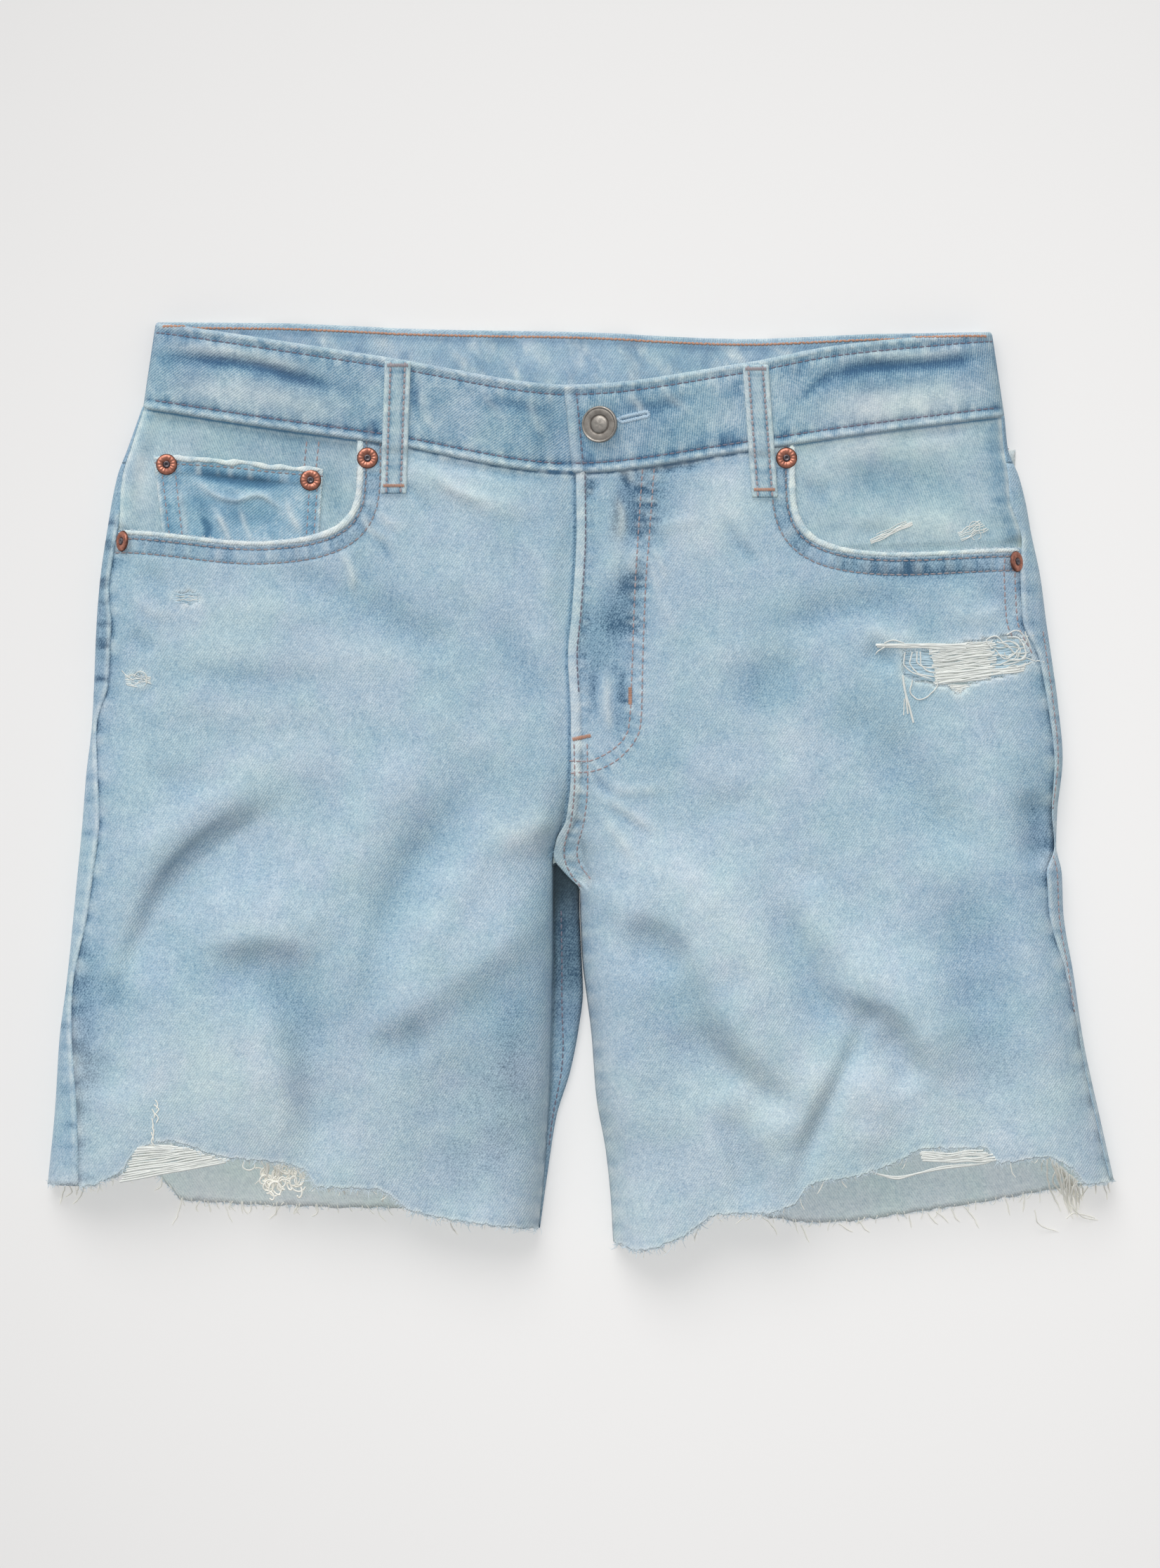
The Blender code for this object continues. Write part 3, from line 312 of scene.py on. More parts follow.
RIGHT_CREASES = table_of(Crease,
    # a long swell from the crotch; the inner thigh turns away below it, darkened with painted shade
    ([(4, -44), (26, -56), (44, -62), (56, -78), (64, -98), (78, -118), (104, -140)], 17, 6.6, 0, 0.1,
     0.42),
    ([(16, -72), (34, -75), (50, -86)], 13, -2.4, 0.08),
    ([(34, -84), (36, -140), (32, -205)], 24, -3.6, 0.22),
    ([(14, -28), (42, -38), (66, -58), (82, -84), (98, -110)], 12, 2.4, 0, 0.2),
    # wedge-shaped dents in mid leg
    ([(46, -104), (58, -122), (72, -136), (90, -148), (104, -156)], 12, -5.4, 0.16, 0, -0.25),
    ([(62, -136), (82, -150), (92, -172)], 11, 3.4, 0, 0.14),
    ([(60, -144), (72, -166), (78, -200)], 9, -4.2, 0.26, 0, 0.2),
    ([(84, -34), (92, -56), (102, -84), (114, -108), (126, -128)], 9, -3.4, 0.18),
    # the peaked fold that stands up from the hem
    ([(133, -98), (127, -118), (118, -137), (109, -155), (103, -172), (99, -190)], 5, -3.6, 0.22),
    ([(110, -84), (130, -95), (146, -101), (158, -116), (167, -140)], 13, 6.2, 0, 0.08, 0.4),
    ([(134, -110), (144, -122), (154, -142)], 10, -3.6, 0.16, 0, -0.2),
    ([(128, -122), (134, -146), (130, -176)], 11, 3.4, 0, 0.12),
    ([(116, -120), (106, -142), (94, -170)], 10, 3, 0, 0.12),
    ([(88, -36), (104, -58), (124, -78), (150, -100)], 12, 3.4, 0, 0.16),
    # the long hollow beside the side seam, darkened with painted shade
    ([(132, 26), (150, 2), (166, -18), (180, -38)], 12, -3.6, 0.16),
    ([(174, -34), (178, -70), (184, -104), (190, -134), (202, -170)], 16, -5, 0.3),
    ([(206, 0), (210, -22), (211, -42)], 8, -4, 0.38),
    ([(196, -44), (206, -78), (216, -108), (226, -140)], 12, 3, 0, 0.06),
    # hollows round the pocket and the tear
    ([(84, 68), (112, 79), (140, 84), (157, 81)], 9, -1.9, 0.3),
    ([(128, 63), (138, 58), (147, 56)], 5, -1.8, 0.18),
    ([(128, 76), (140, 69), (158, 66)], 4.5, 1.2, 0, 0.3),
    ([(180, 92), (192, 86), (203, 76)], 5, -0.9, 0.15),
    ([(165, 80), (185, 78), (200, 86)], 4, 0.7, 0, 0.2),
    ([(66, 34), (85, 48), (106, 60)], 14, -1.2, 0.22), ([(112, 34), (135, 24), (160, 8)], 10, -1.2, 0.06),
    ([(54, -16), (66, -10), (82, -8)], 7, -1.1), ([(98, -44), (112, -38)], 7, -1.1),
    # short wrinkles that spread from the crotch
    ([(6, -4), (18, -10), (36, -22)], 2.3, 0.9, 0, 0.35),
    ([(8, -13), (18, -24), (26, -36)], 2.3, 0.8, 0, 0.3), ([(8, 2), (20, -2), (42, 0)], 2.6, 0.7, 0, 0.2),
    ([(6, 4), (10, 0), (15, -5)], 2.3, -1.1, 0.35), ([(10, -8), (22, -16), (34, -26)], 2.2, -0.7, 0.15),
    # the fly, puckered between its stitch rows
    ([(15, 138), (16, 110), (14, 88)], 4, 1.2, 0, 0.25),
    ([(25, 152), (24.5, 128), (22.5, 103)], 16, -1.2, 0.5, 0, 0.3),
    ([(19, 148), (20.5, 141), (22.5, 136)], 1.7, -0.9, 0.5),
    ([(22.5, 147), (23.5, 139)], 1.5, 0.7, 0, 0.4),
    ([(17, 138), (16.6, 124), (16.2, 108)], 2.4, -0.9, 0.3), ([(20, 104), (27, 102)], 4.5, 0.6, 0, 0.35),
    ([(33, 99), (23, 94), (15, 90)], 5.5, -0.9, 0.5), ([(21, 96), (19, 82), (15, 66)], 11.5, -0.9, 0.42),
    ([(14, 88), (12.5, 64), (13.5, 38)], 17, -0.8, 0.45), ([(17, 50), (16.5, 18)], 8, -0.4, 0.35),
    ([(19, 55), (19, 44), (21, 34)], 2.6, -0.6, 0.4), ([(6, 56), (5.5, 40), (6, 28)], 2.4, -0.6, 0.45),
    # the first crease here carries painted shade: the dark line just under the waistband left of the fly
    ([(-62, 152), (-35, 149), (-8, 147)], 2.4, -1.2, 0.8), ([(2, 139), (7, 134)], 4, -0.8, 0.45),
    ([(12, 56), (12, 38), (13, 22)], 1.9, 0.7, 0, 0.4), ([(30, 146), (45, 148), (60, 149)], 3, -0.9, 0.4),
    ([(31, 112), (36, 104), (40, 94)], 1.7, 0.9, 0, 0.3),
    ([(30, 106), (34, 96), (36, 86)], 1.7, 0.8, 0, 0.25),
    ([(31, 116), (42, 120), (58, 124)], 2.6, 0.7, 0, 0.15),
    ([(64, 126), (72, 112), (84, 100)], 2.6, -0.9, 0.3),
    ([(34, 92), (40, 78), (46, 62)], 2.4, 0.7, 0, 0.12),
    ([(16, 134), (19, 124), (18, 112)], 1.6, 0.7, 0, 0.4),
    ([(112, 99), (140, 98), (170, 97), (204, 94)], 4.5, -0.7, 0.32),
    # pale bands worn across the thigh
    ([(45, 58), (80, 63), (112, 68)], 7, 0.5, 0, 0.12), ([(38, 8), (70, 3), (110, 6)], 9, 0.5, 0, 0.06),
    ([(60, 30), (90, 26), (115, 20)], 8, 0.4, 0, 0.12),
    ([(38, 104), (60, 122), (84, 140)], 14, 0.6, 0, 0.3))
FACING_CREASES = {
    "left": table_of(Crease, ([(-186, 161), (-150, 157), (-108, 150)], 10, 0, 0.18),
        ([(-198, 173), (-150, 165), (-112, 156)], 3.5, -0.6, 0.2),
        ([(-205, 160), (-203, 140), (-206, 124)], 3.5, -0.4, 0, 0.3),
        ([(-114, 152), (-112, 135), (-116, 120)], 4, -0.5, 0.2)),
    "right": table_of(Crease, ([(101, 139), (108, 136), (116, 133)], 5, -1, 0.22),
        ([(106, 138), (140, 141), (180, 137)], 9, -1, 0.2),
        ([(124, 118), (134, 117), (143, 117)], 4, -0.8, 0.2),
        ([(104, 155), (150, 158), (186, 162)], 7, 0.8, 0, 0.3),
        ([(122, 118), (155, 120), (188, 116)], 7, 0.8, 0, 0.3),
        ([(140, 159), (160, 161), (182, 164)], 3, -0.6, 0.15),
        ([(196, 152), (199, 136), (201, 120)], 3, -0.8, 0.4))}
COIN_CREASES = table_of(Crease,
    ([(-179, 143), (-170, 135), (-160, 131.5), (-149, 134), (-141, 130), (-134, 123)], 1.5, 1, 0, 0.3),
    ([(-169, 128), (-163, 116), (-162, 108)], 1.4, 0.8, 0, 0.45),
    ([(-158, 130), (-154, 118), (-150, 108)], 1.3, 0.6, 0, 0.35),
    ([(-186, 141), (-183, 124), (-182, 110)], 1.5, 0.5, 0, 0.3),
    ([(-137, 134), (-133, 124), (-128, 115)], 1.5, 0.6, 0, 0.4),
    ([(-176, 126), (-172, 118), (-173, 109)], 1.5, -0.6, 0.5),
    # painted shadow under the coin pocket's hem
    ([(-184, 146), (-168, 142), (-150, 139.5), (-131, 138)], 2.7, -1.1, 0.95),
    ([(-172, 122), (-150, 124), (-136, 116)], 7, -0.5, 0.35),
    ([(-182, 138), (-174, 128), (-170, 112)], 3, -0.4, 0.4))
# deep in the band's creases is partly painted shade on the folds' dark sides
BAND_CREASES = table_of(Crease,
    ([(-198, 197), (-178, 196.5), (-150, 193.5), (-130, 187.5), (-106, 181)], 2.9, -1.6, 0.8),
    ([(-199, 185), (-160, 181), (-100, 171)], 6, 0.4, 0, 0.4),
    ([(-197, 203), (-160, 199.5), (-118, 190)], 2.4, 0.5, 0, 0.45),
    ([(106, 184), (128, 192), (160, 194), (190, 198)], 2.7, -1.5, 0.75),
    ([(112, 192), (130, 198), (160, 199), (188, 203)], 2.2, 0.5, 0, 0.35),
    ([(98, 176), (112, 187), (118, 194)], 2.2, -0.6, 0.5),
    ([(104, 171), (150, 176), (190, 181)], 7.5, 0.4, 0, 0.6),
    ([(14, 174), (35, 174), (58, 181)], 3, -0.8, 0.4),
    ([(-52, 176), (-30, 175), (-12, 172)], 3, -0.6, 0.4),
    ([(-74, 186), (-72, 172), (-66, 163)], 1.8, 0.5, 0, 0.3),
    ([(-46, 184), (-42, 176), (-34, 170)], 1.7, 0.5, 0, 0.28),
    ([(-24, 182), (-22, 170), (-16, 160)], 1.9, 0.5, 0, 0.25),
    ([(36, 186), (42, 178), (52, 172)], 1.8, 0.5, 0, 0.3),
    # the patches and troughs from here on near the belt loops are painted shade beside and under the loops
    ([(20, 180), (26, 176), (30, 166)], 1.6, 0.4, 0, 0.4), ([(-101, 165), (-93, 162)], 5.5, 0, 0.6),
    ([(-77, 191), (-76, 168)], 3.2, -0.4, 0.45), ([(62, 159), (76, 159)], 5, 0, 0.5),
    ([(90, 161), (98, 163)], 4.5, 0, 0.5), ([(72, 190), (72, 176)], 3, -0.3, 0.35),
    ([(90, 192), (104, 188)], 4.5, -0.4, 0.35))


# ---- numbers ---------------------------------------------------------------------------------
def read(table: Sequence[NamedTuple], key: str, column: str, at: Array | float) -> Array:
    """Smooth monotone curve through one column of a table.

    Args:
        table: rows with named columns.
        key: the column that holds the positions.
        column: the column that is read.
        at: positions to read at, held to the table's range.

    Returns:
        The column's values there.
    """
    rows = sorted(table, key=lambda row: getattr(row, key))
    xs = np.array([getattr(row, key) for row in rows], dtype=float)
    ys = np.array([getattr(row, column) for row in rows], dtype=float)
    step = np.diff(xs)
    slope = np.diff(ys) / step
    tangent = np.zeros_like(ys)
    tangent[0], tangent[-1] = slope[0], slope[-1]
    before, after = slope[:-1], slope[1:]
    rising = before * after > 0
    both = np.where(rising, before + after, 1.0)
    tangent[1:-1] = np.where(rising, 2 * before * after / both, 0.0)
    at = np.clip(np.asarray(at, dtype=float), xs[0], xs[-1])
    k = np.clip(np.searchsorted(xs, at, side="right") - 1, 0, len(step) - 1)
    t = (at - xs[k]) / step[k]
    value = (1 + 2 * t) * (1 - t) ** 2 * ys[k] + t * (1 - t) ** 2 * step[k] * tangent[k]
    return value + t * t * (3 - 2 * t) * ys[k + 1] + t * t * (t - 1) * step[k] * tangent[k + 1]


def ease(t: Array | float) -> Array:
    """Smooth step from 0 to 1."""
    t = np.clip(t, 0.0, 1.0)
    return t * t * (3 - 2 * t)


def shoulder(t: Array | float) -> Array:
    """Quarter of an ellipse: 0 and upright at t = 0, 1 and level at t = 1."""
    t = np.clip(t, 0.0, 1.0)
    return np.sqrt(1 - (1 - t) ** 2)


def mix(a: Array | float, b: Array | float, t: Array | float) -> Array:
    """Straight blend from a to b."""
    return a + (b - a) * t


def bell(distance: Array, width: float) -> Array:
    """1 at distance 0, falling off smoothly over the width."""
    return np.exp(-(distance / width) ** 2)


def stops(*runs: tuple[float, float, int]) -> Array:
    """Fractions from runs of (start, end, count), each joined to the next."""
    parts = [np.linspace(a, b, n, endpoint=False) for a, b, n in runs]
    return np.concatenate(parts + [np.array([runs[-1][1]])])


def stack(x: Array, y: Array, z: Array) -> Array:
    """Grid of points from three arrays."""
    return np.stack(np.broadcast_arrays(x, y, z), axis=-1).astype(float)


def wander(at: Array, period: float, seed: float) -> Array:
    """Uneven wave between about -1 and 1, made of three sines whose periods don't fit each other."""
    turn = CIRCLE * np.asarray(at) / period
    slow = np.sin(turn * 0.61 + 2.3 * seed)
    quick = np.sin(turn * 1.73 + 4.1 * seed)
    return (np.sin(turn + seed) + 0.7 * slow + 0.5 * quick) / 2.2


def hem_line(table: Sequence[NamedTuple], x: Array) -> Array:
    """Where a raw hem runs, jagged where threads have dropped out."""
    return read(table, "x", "y", x) + 0.5 * wander(x, 6.3, 1.0) + 0.4 * wander(x, 2.7, 3.0)


def ripple(x: Array, y: Array, period: float, seed: float) -> Array:
    """Uneven rolling surface between about -1 and 1, alike in every direction."""
    total = np.zeros(np.broadcast(x, y).shape)
    for k, angle in enumerate((0.3, 1.2, 2.1, 2.9)):
        along = x * math.cos(angle + seed) + y * math.sin(angle + seed)
        total += wander(along, period * (1 + 0.23 * k), seed + 1.7 * k)
    return total / 2.6


class Path:
    """A smooth curve in the plane, sampled at an even spacing."""

    def __init__(self, points: Sequence[Point] | Array, spacing: float = 1.5,
                 smooth: bool = True) -> None:
        """Sample a curve.

        Args:
            points: what the curve passes through.
            spacing: distance between samples.
            smooth: False keeps straight runs between the points.
        """
        line = np.array(points, dtype=float)
        if smooth and len(line) > 2:
            line = self._rounded(line)
        steps = np.hypot(*np.diff(line, axis=0).T)
        along = np.concatenate([[0.0], np.cumsum(steps)])
        count = max(2, int(round(along[-1] / spacing)) + 1)
        self.along = np.linspace(0.0, along[-1], count)
        self.points = np.stack([np.interp(self.along, along, line[:, k]) for k in (0, 1)], axis=-1)
        self.length = float(along[-1])

    @staticmethod
    def _rounded(line: Array) -> Array:
        """Catmull-Rom curve through the points."""
        padded = np.concatenate([[2 * line[0] - line[1]], line, [2 * line[-1] - line[-2]]])
        t = np.linspace(0, 1, 8, endpoint=False)[:, None]
        runs = []
        for a, b, c, d in zip(padded, padded[1:], padded[2:], padded[3:]):
            bend = 2 * a - 5 * b + 4 * c - d
            runs.append(b + 0.5 * t * (c - a + t * (bend + t * (3 * b - a - 3 * c + d))))
        return np.concatenate(runs + [line[-1:]])

    def normals(self) -> Array:
        """Unit normals, to the left of the run."""
        run = np.gradient(self.points, axis=0)
        run /= np.linalg.norm(run, axis=1)[:, None]
        return np.stack([-run[:, 1], run[:, 0]], axis=-1)

    def offset(self, distance: float) -> "Path":
        """The same curve, moved to the left by the distance."""
        return Path(self.points + self.normals() * distance, 1.0, smooth=False)

    def cut(self, start: float, end: float) -> "Path":
        """The stretch between two distances from the start; end counts back where negative."""
        end = end if end > 0 else self.length + end
        at = np.linspace(start, end, max(2, int(end - start)))
        return Path(np.stack([np.interp(at, self.along, self.points[:, k]) for k in (0, 1)], -1),
                    1.0, smooth=False)

    def nearest(self, x: Array, y: Array, reach: float) -> tuple[Array, Array, Array]:
        """How points lie to the curve.

        Args:
            x: their x.
            y: their y.
            reach: points further off than this are left at an endless distance.

        Returns:
            Distance, side (+1 to the left of the run, 0 straight beyond its ends), and distance
            from the curve's start.
        """
        x, y = (np.asarray(v, dtype=float) for v in np.broadcast_arrays(x, y))
        distance, side, along = np.full(x.shape, np.inf), np.ones(x.shape), np.zeros(x.shape)
        low, high = self.points.min(axis=0) - reach, self.points.max(axis=0) + reach
        near = (x > low[0]) & (x < high[0]) & (y > low[1]) & (y < high[1])
        px, py = x[near], y[near]
        best, left, run_at = np.full(px.shape, np.inf), np.ones(px.shape), np.zeros(px.shape)
        for k, (a, b) in enumerate(zip(self.points, self.points[1:])):
            run = (b - a) / np.linalg.norm(b - a)
            dx, dy = px - a[0], py - a[1]
            t = np.clip(dx * run[0] + dy * run[1], 0.0, np.linalg.norm(b - a))
            ox, oy = dx - t * run[0], dy - t * run[1]
            square = ox * ox + oy * oy
            closer = square < best
            best = np.where(closer, square, best)
            left = np.where(closer, (run[0] * oy - run[1] * ox) / np.sqrt(square + 1e-9), left)
            run_at = np.where(closer, self.along[k] + t, run_at)
        distance[near], side[near], along[near] = np.sqrt(best), left, run_at
        return distance, side, along


class Folds:
    """A set of creases: the height they add, and the washed tone and painted shade they leave."""

    def __init__(self, creases: Sequence[Crease]) -> None:
        """Keep each crease with its sampled line."""
        self.lines = [(crease, Path(crease.points, max(1.5, crease.width / 2)))
                      for crease in creases]

    def _shares(self, x: Array, y: Array, wanted: Callable[[Crease], bool]
                ) -> list[tuple[Crease, Array]]:
        """How strongly each wanted crease acts at each point."""
        shares = []
        for crease, line in self.lines:
            if not wanted(crease):
                continue
            distance, side, along = line.nearest(x, y, 3 * crease.width * (1 + abs(crease.skew)))
            part = along / line.length
            ends = 0.12 + 0.88 * ease(part / 0.34) * ease((1 - part) / 0.34)
            uneven = 1 + 0.10 * wander(along, 38.0, crease.width)
            wide = crease.width * (1 + crease.skew * side)
            shares.append((crease, bell(distance, wide) * ends * uneven))
        return shares

    def height(self, x: Array, y: Array) -> Array:
        """Sum of the creases' heights."""
        total = np.zeros(np.broadcast(x, y).shape)
        for crease, share in self._shares(x, y, lambda crease: crease.height != 0.0):
            total += crease.height * share
        return total

    def wash_and_shade(self, x: Array, y: Array) -> tuple[Array, Array]:
        """Sums of deep, which is partly painted shade, and wear."""
        deep, wear = np.zeros(np.broadcast(x, y).shape), np.zeros(np.broadcast(x, y).shape)
        for crease, share in self._shares(x, y, lambda crease: crease.deep + crease.wear > 0.0):
            deep, wear = deep + crease.deep * share, wear + crease.wear * share
        return deep, wear


def straight(x: Array, y: Array, spacing: float = 1.5) -> Path:
    """The path through arrays of x and y, with straight runs between them."""
    return Path(np.stack([x, y], axis=-1), spacing, smooth=False)


def clip(values: Array) -> Array:
    """Values held to 0 to 1."""
    return np.clip(values, 0, 1)


# ---- the garment's two faces -----------------------------------------------------------------
@dataclass
class Half:
    """One half of the shorts: its silhouette and the height of its upper face.

    sign is +1 where x runs inward from the side seam, and layers counts the cloth between the
    facing's face and the front's.
    """
    label: str
    sign: int
    side: list[Side]
    inner: list[Inner]
    hem: list[Hem]
    back_hem: list[Hem]
    mouth: Mouth
    layers: int
    creases: list[Crease]

    def __post_init__(self) -> None:
        """Sample the creases, and find the point where hem and inner leg meet."""
        self.folds = Folds(self.creases)
        self.hem_end = self.hem[-1 if self.sign > 0 else 0]

    def outline(self, y: Array) -> Array:
        """Silhouette of the side at y."""
        return read(self.side, "y", "outline", y)

    def side_seam(self, y: Array) -> Array:
        """Side seam at y."""
        return self.outline(y) + self.sign * read(self.side, "y", "inset", y)

    def from_seam(self, x: Array, y: Array) -> Array:
        """How far inward of the side seam a point lies."""
        return (x - self.side_seam(y)) * self.sign

    def inner_edge(self, y: Array) -> Array:
        """Silhouette of the inner leg, and the fly's edge above it."""
        return read(self.inner, "y", "edge", y)

    def strip(self, y: Array) -> Array:
        """Width of the low strip beside the inner edge."""
        return read(self.inner, "y", "strip", y)

    def corner_y(self) -> float:
        """Height at which the yoke and the facing start at the side."""
        corner = self.outline(YOKE_TOP_Y)
        return float(min(waist_seam(corner), back_waist_seam(corner))) - SEAM_GAP

    def base(self, x: Array, y: Array) -> Array:
        """Height of the upper face without its creases."""
        full = read(LEVELS, "y", "top", y)
        inward = (x - self.outline(y)) * self.sign
        outer = SIDE_RISE + (full - SIDE_RISE) * shoulder(inward / read(LEVELS, "y", "shoulder", y))
        from_inner = (self.inner_edge(y) - x) * self.sign
        floor = read(self.inner, "y", "floor", y)
        lip = np.minimum(INNER_RISE, floor)
        below = ease((CROTCH_Y - y) / CROTCH_TURN)
        low = mix(floor, mix(lip, floor, shoulder(from_inner / INNER_ROUND)), below)
        leg = mix(low, outer, shoulder((from_inner - self.strip(y)) / LEG_ROUND))
        return mix(outer, leg, ease((CROTCH_Y + CROTCH_FADE - y) / CROTCH_FADE))

    def top(self, x: Array, y: Array) -> Array:
        """Height of the upper face."""
        height = self.base(x, y)
        soft = self.folds.height(x, y) + 0.35 * ripple(x, y, 46.0, 1.3) + 0.12 * ripple(x, y, 13.0, 2.9)
        return height + soft * ease((height - FOLD_FLOOR) / FOLD_RISE)

    def mouth_path(self) -> Path:
        """The pocket mouth, run from the side seam to the waist seam."""
        m = self.mouth
        near, close = np.linspace(0.0, 0.7, 60), 1 - np.geomspace(0.3, 0.0004, 90)
        x = mix(m.side_x, m.end_x, np.concatenate([near, close, [1.0]]))
        y = mouth_line(self, x)
        y[-1] = m.top_y
        return straight(x, y, 1.0)

    def edge_path(self, top_y: float, bottom_y: float) -> Path:
        """The fly's edge or the inner leg between two heights, run downwards."""
        y = np.linspace(top_y, bottom_y, 60)
        return straight(self.inner_edge(y), y)


LEFT = Half("left", 1, LEFT_SIDE, LEFT_INNER, LEFT_HEM, LEFT_BACK_HEM, LEFT_MOUTH, 2, LEFT_CREASES)
RIGHT = Half("right", -1, RIGHT_SIDE, RIGHT_INNER, RIGHT_HEM, RIGHT_BACK_HEM, RIGHT_MOUTH, 1,
             RIGHT_CREASES)
BAND_FOLDS = Folds(BAND_CREASES)
COIN_FOLDS = Folds(COIN_CREASES)


def waist_seam(x: Array) -> Array:
    """Lower edge of the front waistband."""
    return read(BAND_FRONT, "x", "bottom", x)


def band_y(x: Array, level: float | Array) -> Array:
    """y on the front waistband; level 0 is its top edge and 1 its bottom edge."""
    return mix(read(BAND_FRONT, "x", "top", x), waist_seam(x), level)


def back_band_y(x: Array, level: float | Array = 0.0) -> Array:
    """y on the back waistband at a level."""
    return read(BAND_BACK, "x", "y", x) - BAND_HEIGHT * level


def back_waist_seam(x: Array) -> Array:
    """Lower edge of the back waistband."""
    return back_band_y(x, 1.0)


def coin_top(x: Array) -> Array:
    """Upper edge of the coin pocket."""
    return read(COIN_TOP, "x", "y", x)


def mouth_line(half: Half, x: Array) -> Array:
    """The front panel's upper edge: the pocket mouth, then the waist seam."""
    m = half.mouth
    ratio = np.clip((x - m.side_x) / (m.end_x - m.side_x), 0.0, 1.0)
    flat = mix(m.side_y, m.low_y, ease(ratio * MOUTH_DIP))
    scoop = 1 - (1 - ratio ** MOUTH_POWER) ** (1 / MOUTH_POWER)
    seam = waist_seam(x) - SEAM_GAP
    return np.where(ratio < 1.0, flat + (m.top_y - flat) * scoop, seam)


def back_loop_box(centre: float) -> tuple[Point, Point]:
    """Lower left and upper right corner of a belt loop under the back waistband."""
    top = float(back_band_y(centre))
    low = top - BAND_HEIGHT - LOOP_DROP
    return (centre - LOOP_WIDTH / 2, low), (centre + LOOP_WIDTH / 2, top)


def lift(x: Array, y: Array) -> Array:
    """How far the underside is raised by the pockets and loops that lie beneath it."""
    patches = [(corners, POCKET_WALL) for corners in (LEFT_POCKET, RIGHT_POCKET)]
    patches += [(back_loop_box(centre), LOOP_WALL) for centre in BACK_LOOPS.values()]
    height = np.zeros(np.broadcast(x, y).shape)
    for corners, wall in patches:
        low, high = np.min(corners, axis=0), np.max(corners, axis=0)
        out_x = np.maximum(0, np.maximum(low[0] - x, x - high[0]))
        out_y = np.maximum(0, np.maximum(low[1] - y, y - high[1]))
        away = np.hypot(out_x, out_y)
        height = np.maximum(height, (wall + REST_GAP) * ease((LIFT_FLAT + LIFT_RAMP - away) / LIFT_RAMP))
    return height


def fly_underlap(x: Array, y: Array) -> Array:
    """1 where the left front lies under the right one, fading to 0 beside it."""
    reach = x - RIGHT.inner_edge(y) + FLY_RAMP
    return ease(reach / FLY_RAMP) * ease((y - CROTCH_Y) / CROTCH_TURN)


def band_top(x: Array) -> Array:
    """Height of the front waistband's face, away from its folded sides."""
    half_top = np.where(x < 0, LEFT.base(x, waist_seam(x)), RIGHT.base(x, waist_seam(x)))
    return half_top + BAND_PROUD


def facing_depth(half: Half, x: Array, y: Array) -> Array:
    """How far a pocket facing lies under the front panel's face."""
    return half.layers * LAYER * ease(half.from_seam(x, y) / FACING_FADE)


def coin_face(x: Array, y: Array) -> Array:
    """Height of the coin pocket's face."""
    flat = LEFT.base(x, y) - facing_depth(LEFT, x, y) + LAYER
    return flat + COIN_FOLDS.height(x, y)


def normal_of(height: Field, x: Array, y: Array) -> Array:
    """Unit normals of a height field."""
    step = 0.8
    slope_x = (height(x + step, y) - height(x - step, y)) / (2 * step)
    slope_y = (height(x, y + step) - height(x, y - step)) / (2 * step)
    normal = stack(-slope_x, -slope_y, np.ones_like(slope_x))
    return normal / np.linalg.norm(normal, axis=-1)[..., None]


# ---- nodes -----------------------------------------------------------------------------------
def operator(operation: str, reflected: bool = False) -> Callable[["Value", object], "Value"]:
    """A method that adds a Math node for an operator, or for its reflected form."""
    def method(self: "Value", other: object) -> "Value":
        first, second = (other, self) if reflected else (self, other)
        return self.tree.add("ShaderNodeMath", {"operation": operation}, {0: first, 1: second})
    return method


class Value:
    """A node's output that adds Math nodes when it is used in an expression."""
    __add__ = operator("ADD")
    __radd__ = operator("ADD", True)
    __sub__ = operator("SUBTRACT")
    __rsub__ = operator("SUBTRACT", True)
    __mul__ = operator("MULTIPLY")
    __rmul__ = operator("MULTIPLY", True)

    def __init__(self, tree: "Tree", node: bpy.types.Node, output: int | str = 0) -> None:
        """Wrap one output of a node."""
        self.tree = tree
        self.node = node
        self.socket = node.outputs[output]

    def out(self, name: str) -> "Value":
        """Another output of the same node."""
        return Value(self.tree, self.node, name)

    def sine(self) -> "Value":
        """Sine of the value."""
        return self.tree.add("ShaderNodeMath", {"operation": "SINE"}, {0: self})

    def clamped(self) -> "Value":
        """The value held to 0 to 1."""
        return self.tree.add("ShaderNodeClamp", {}, {"Value": self})


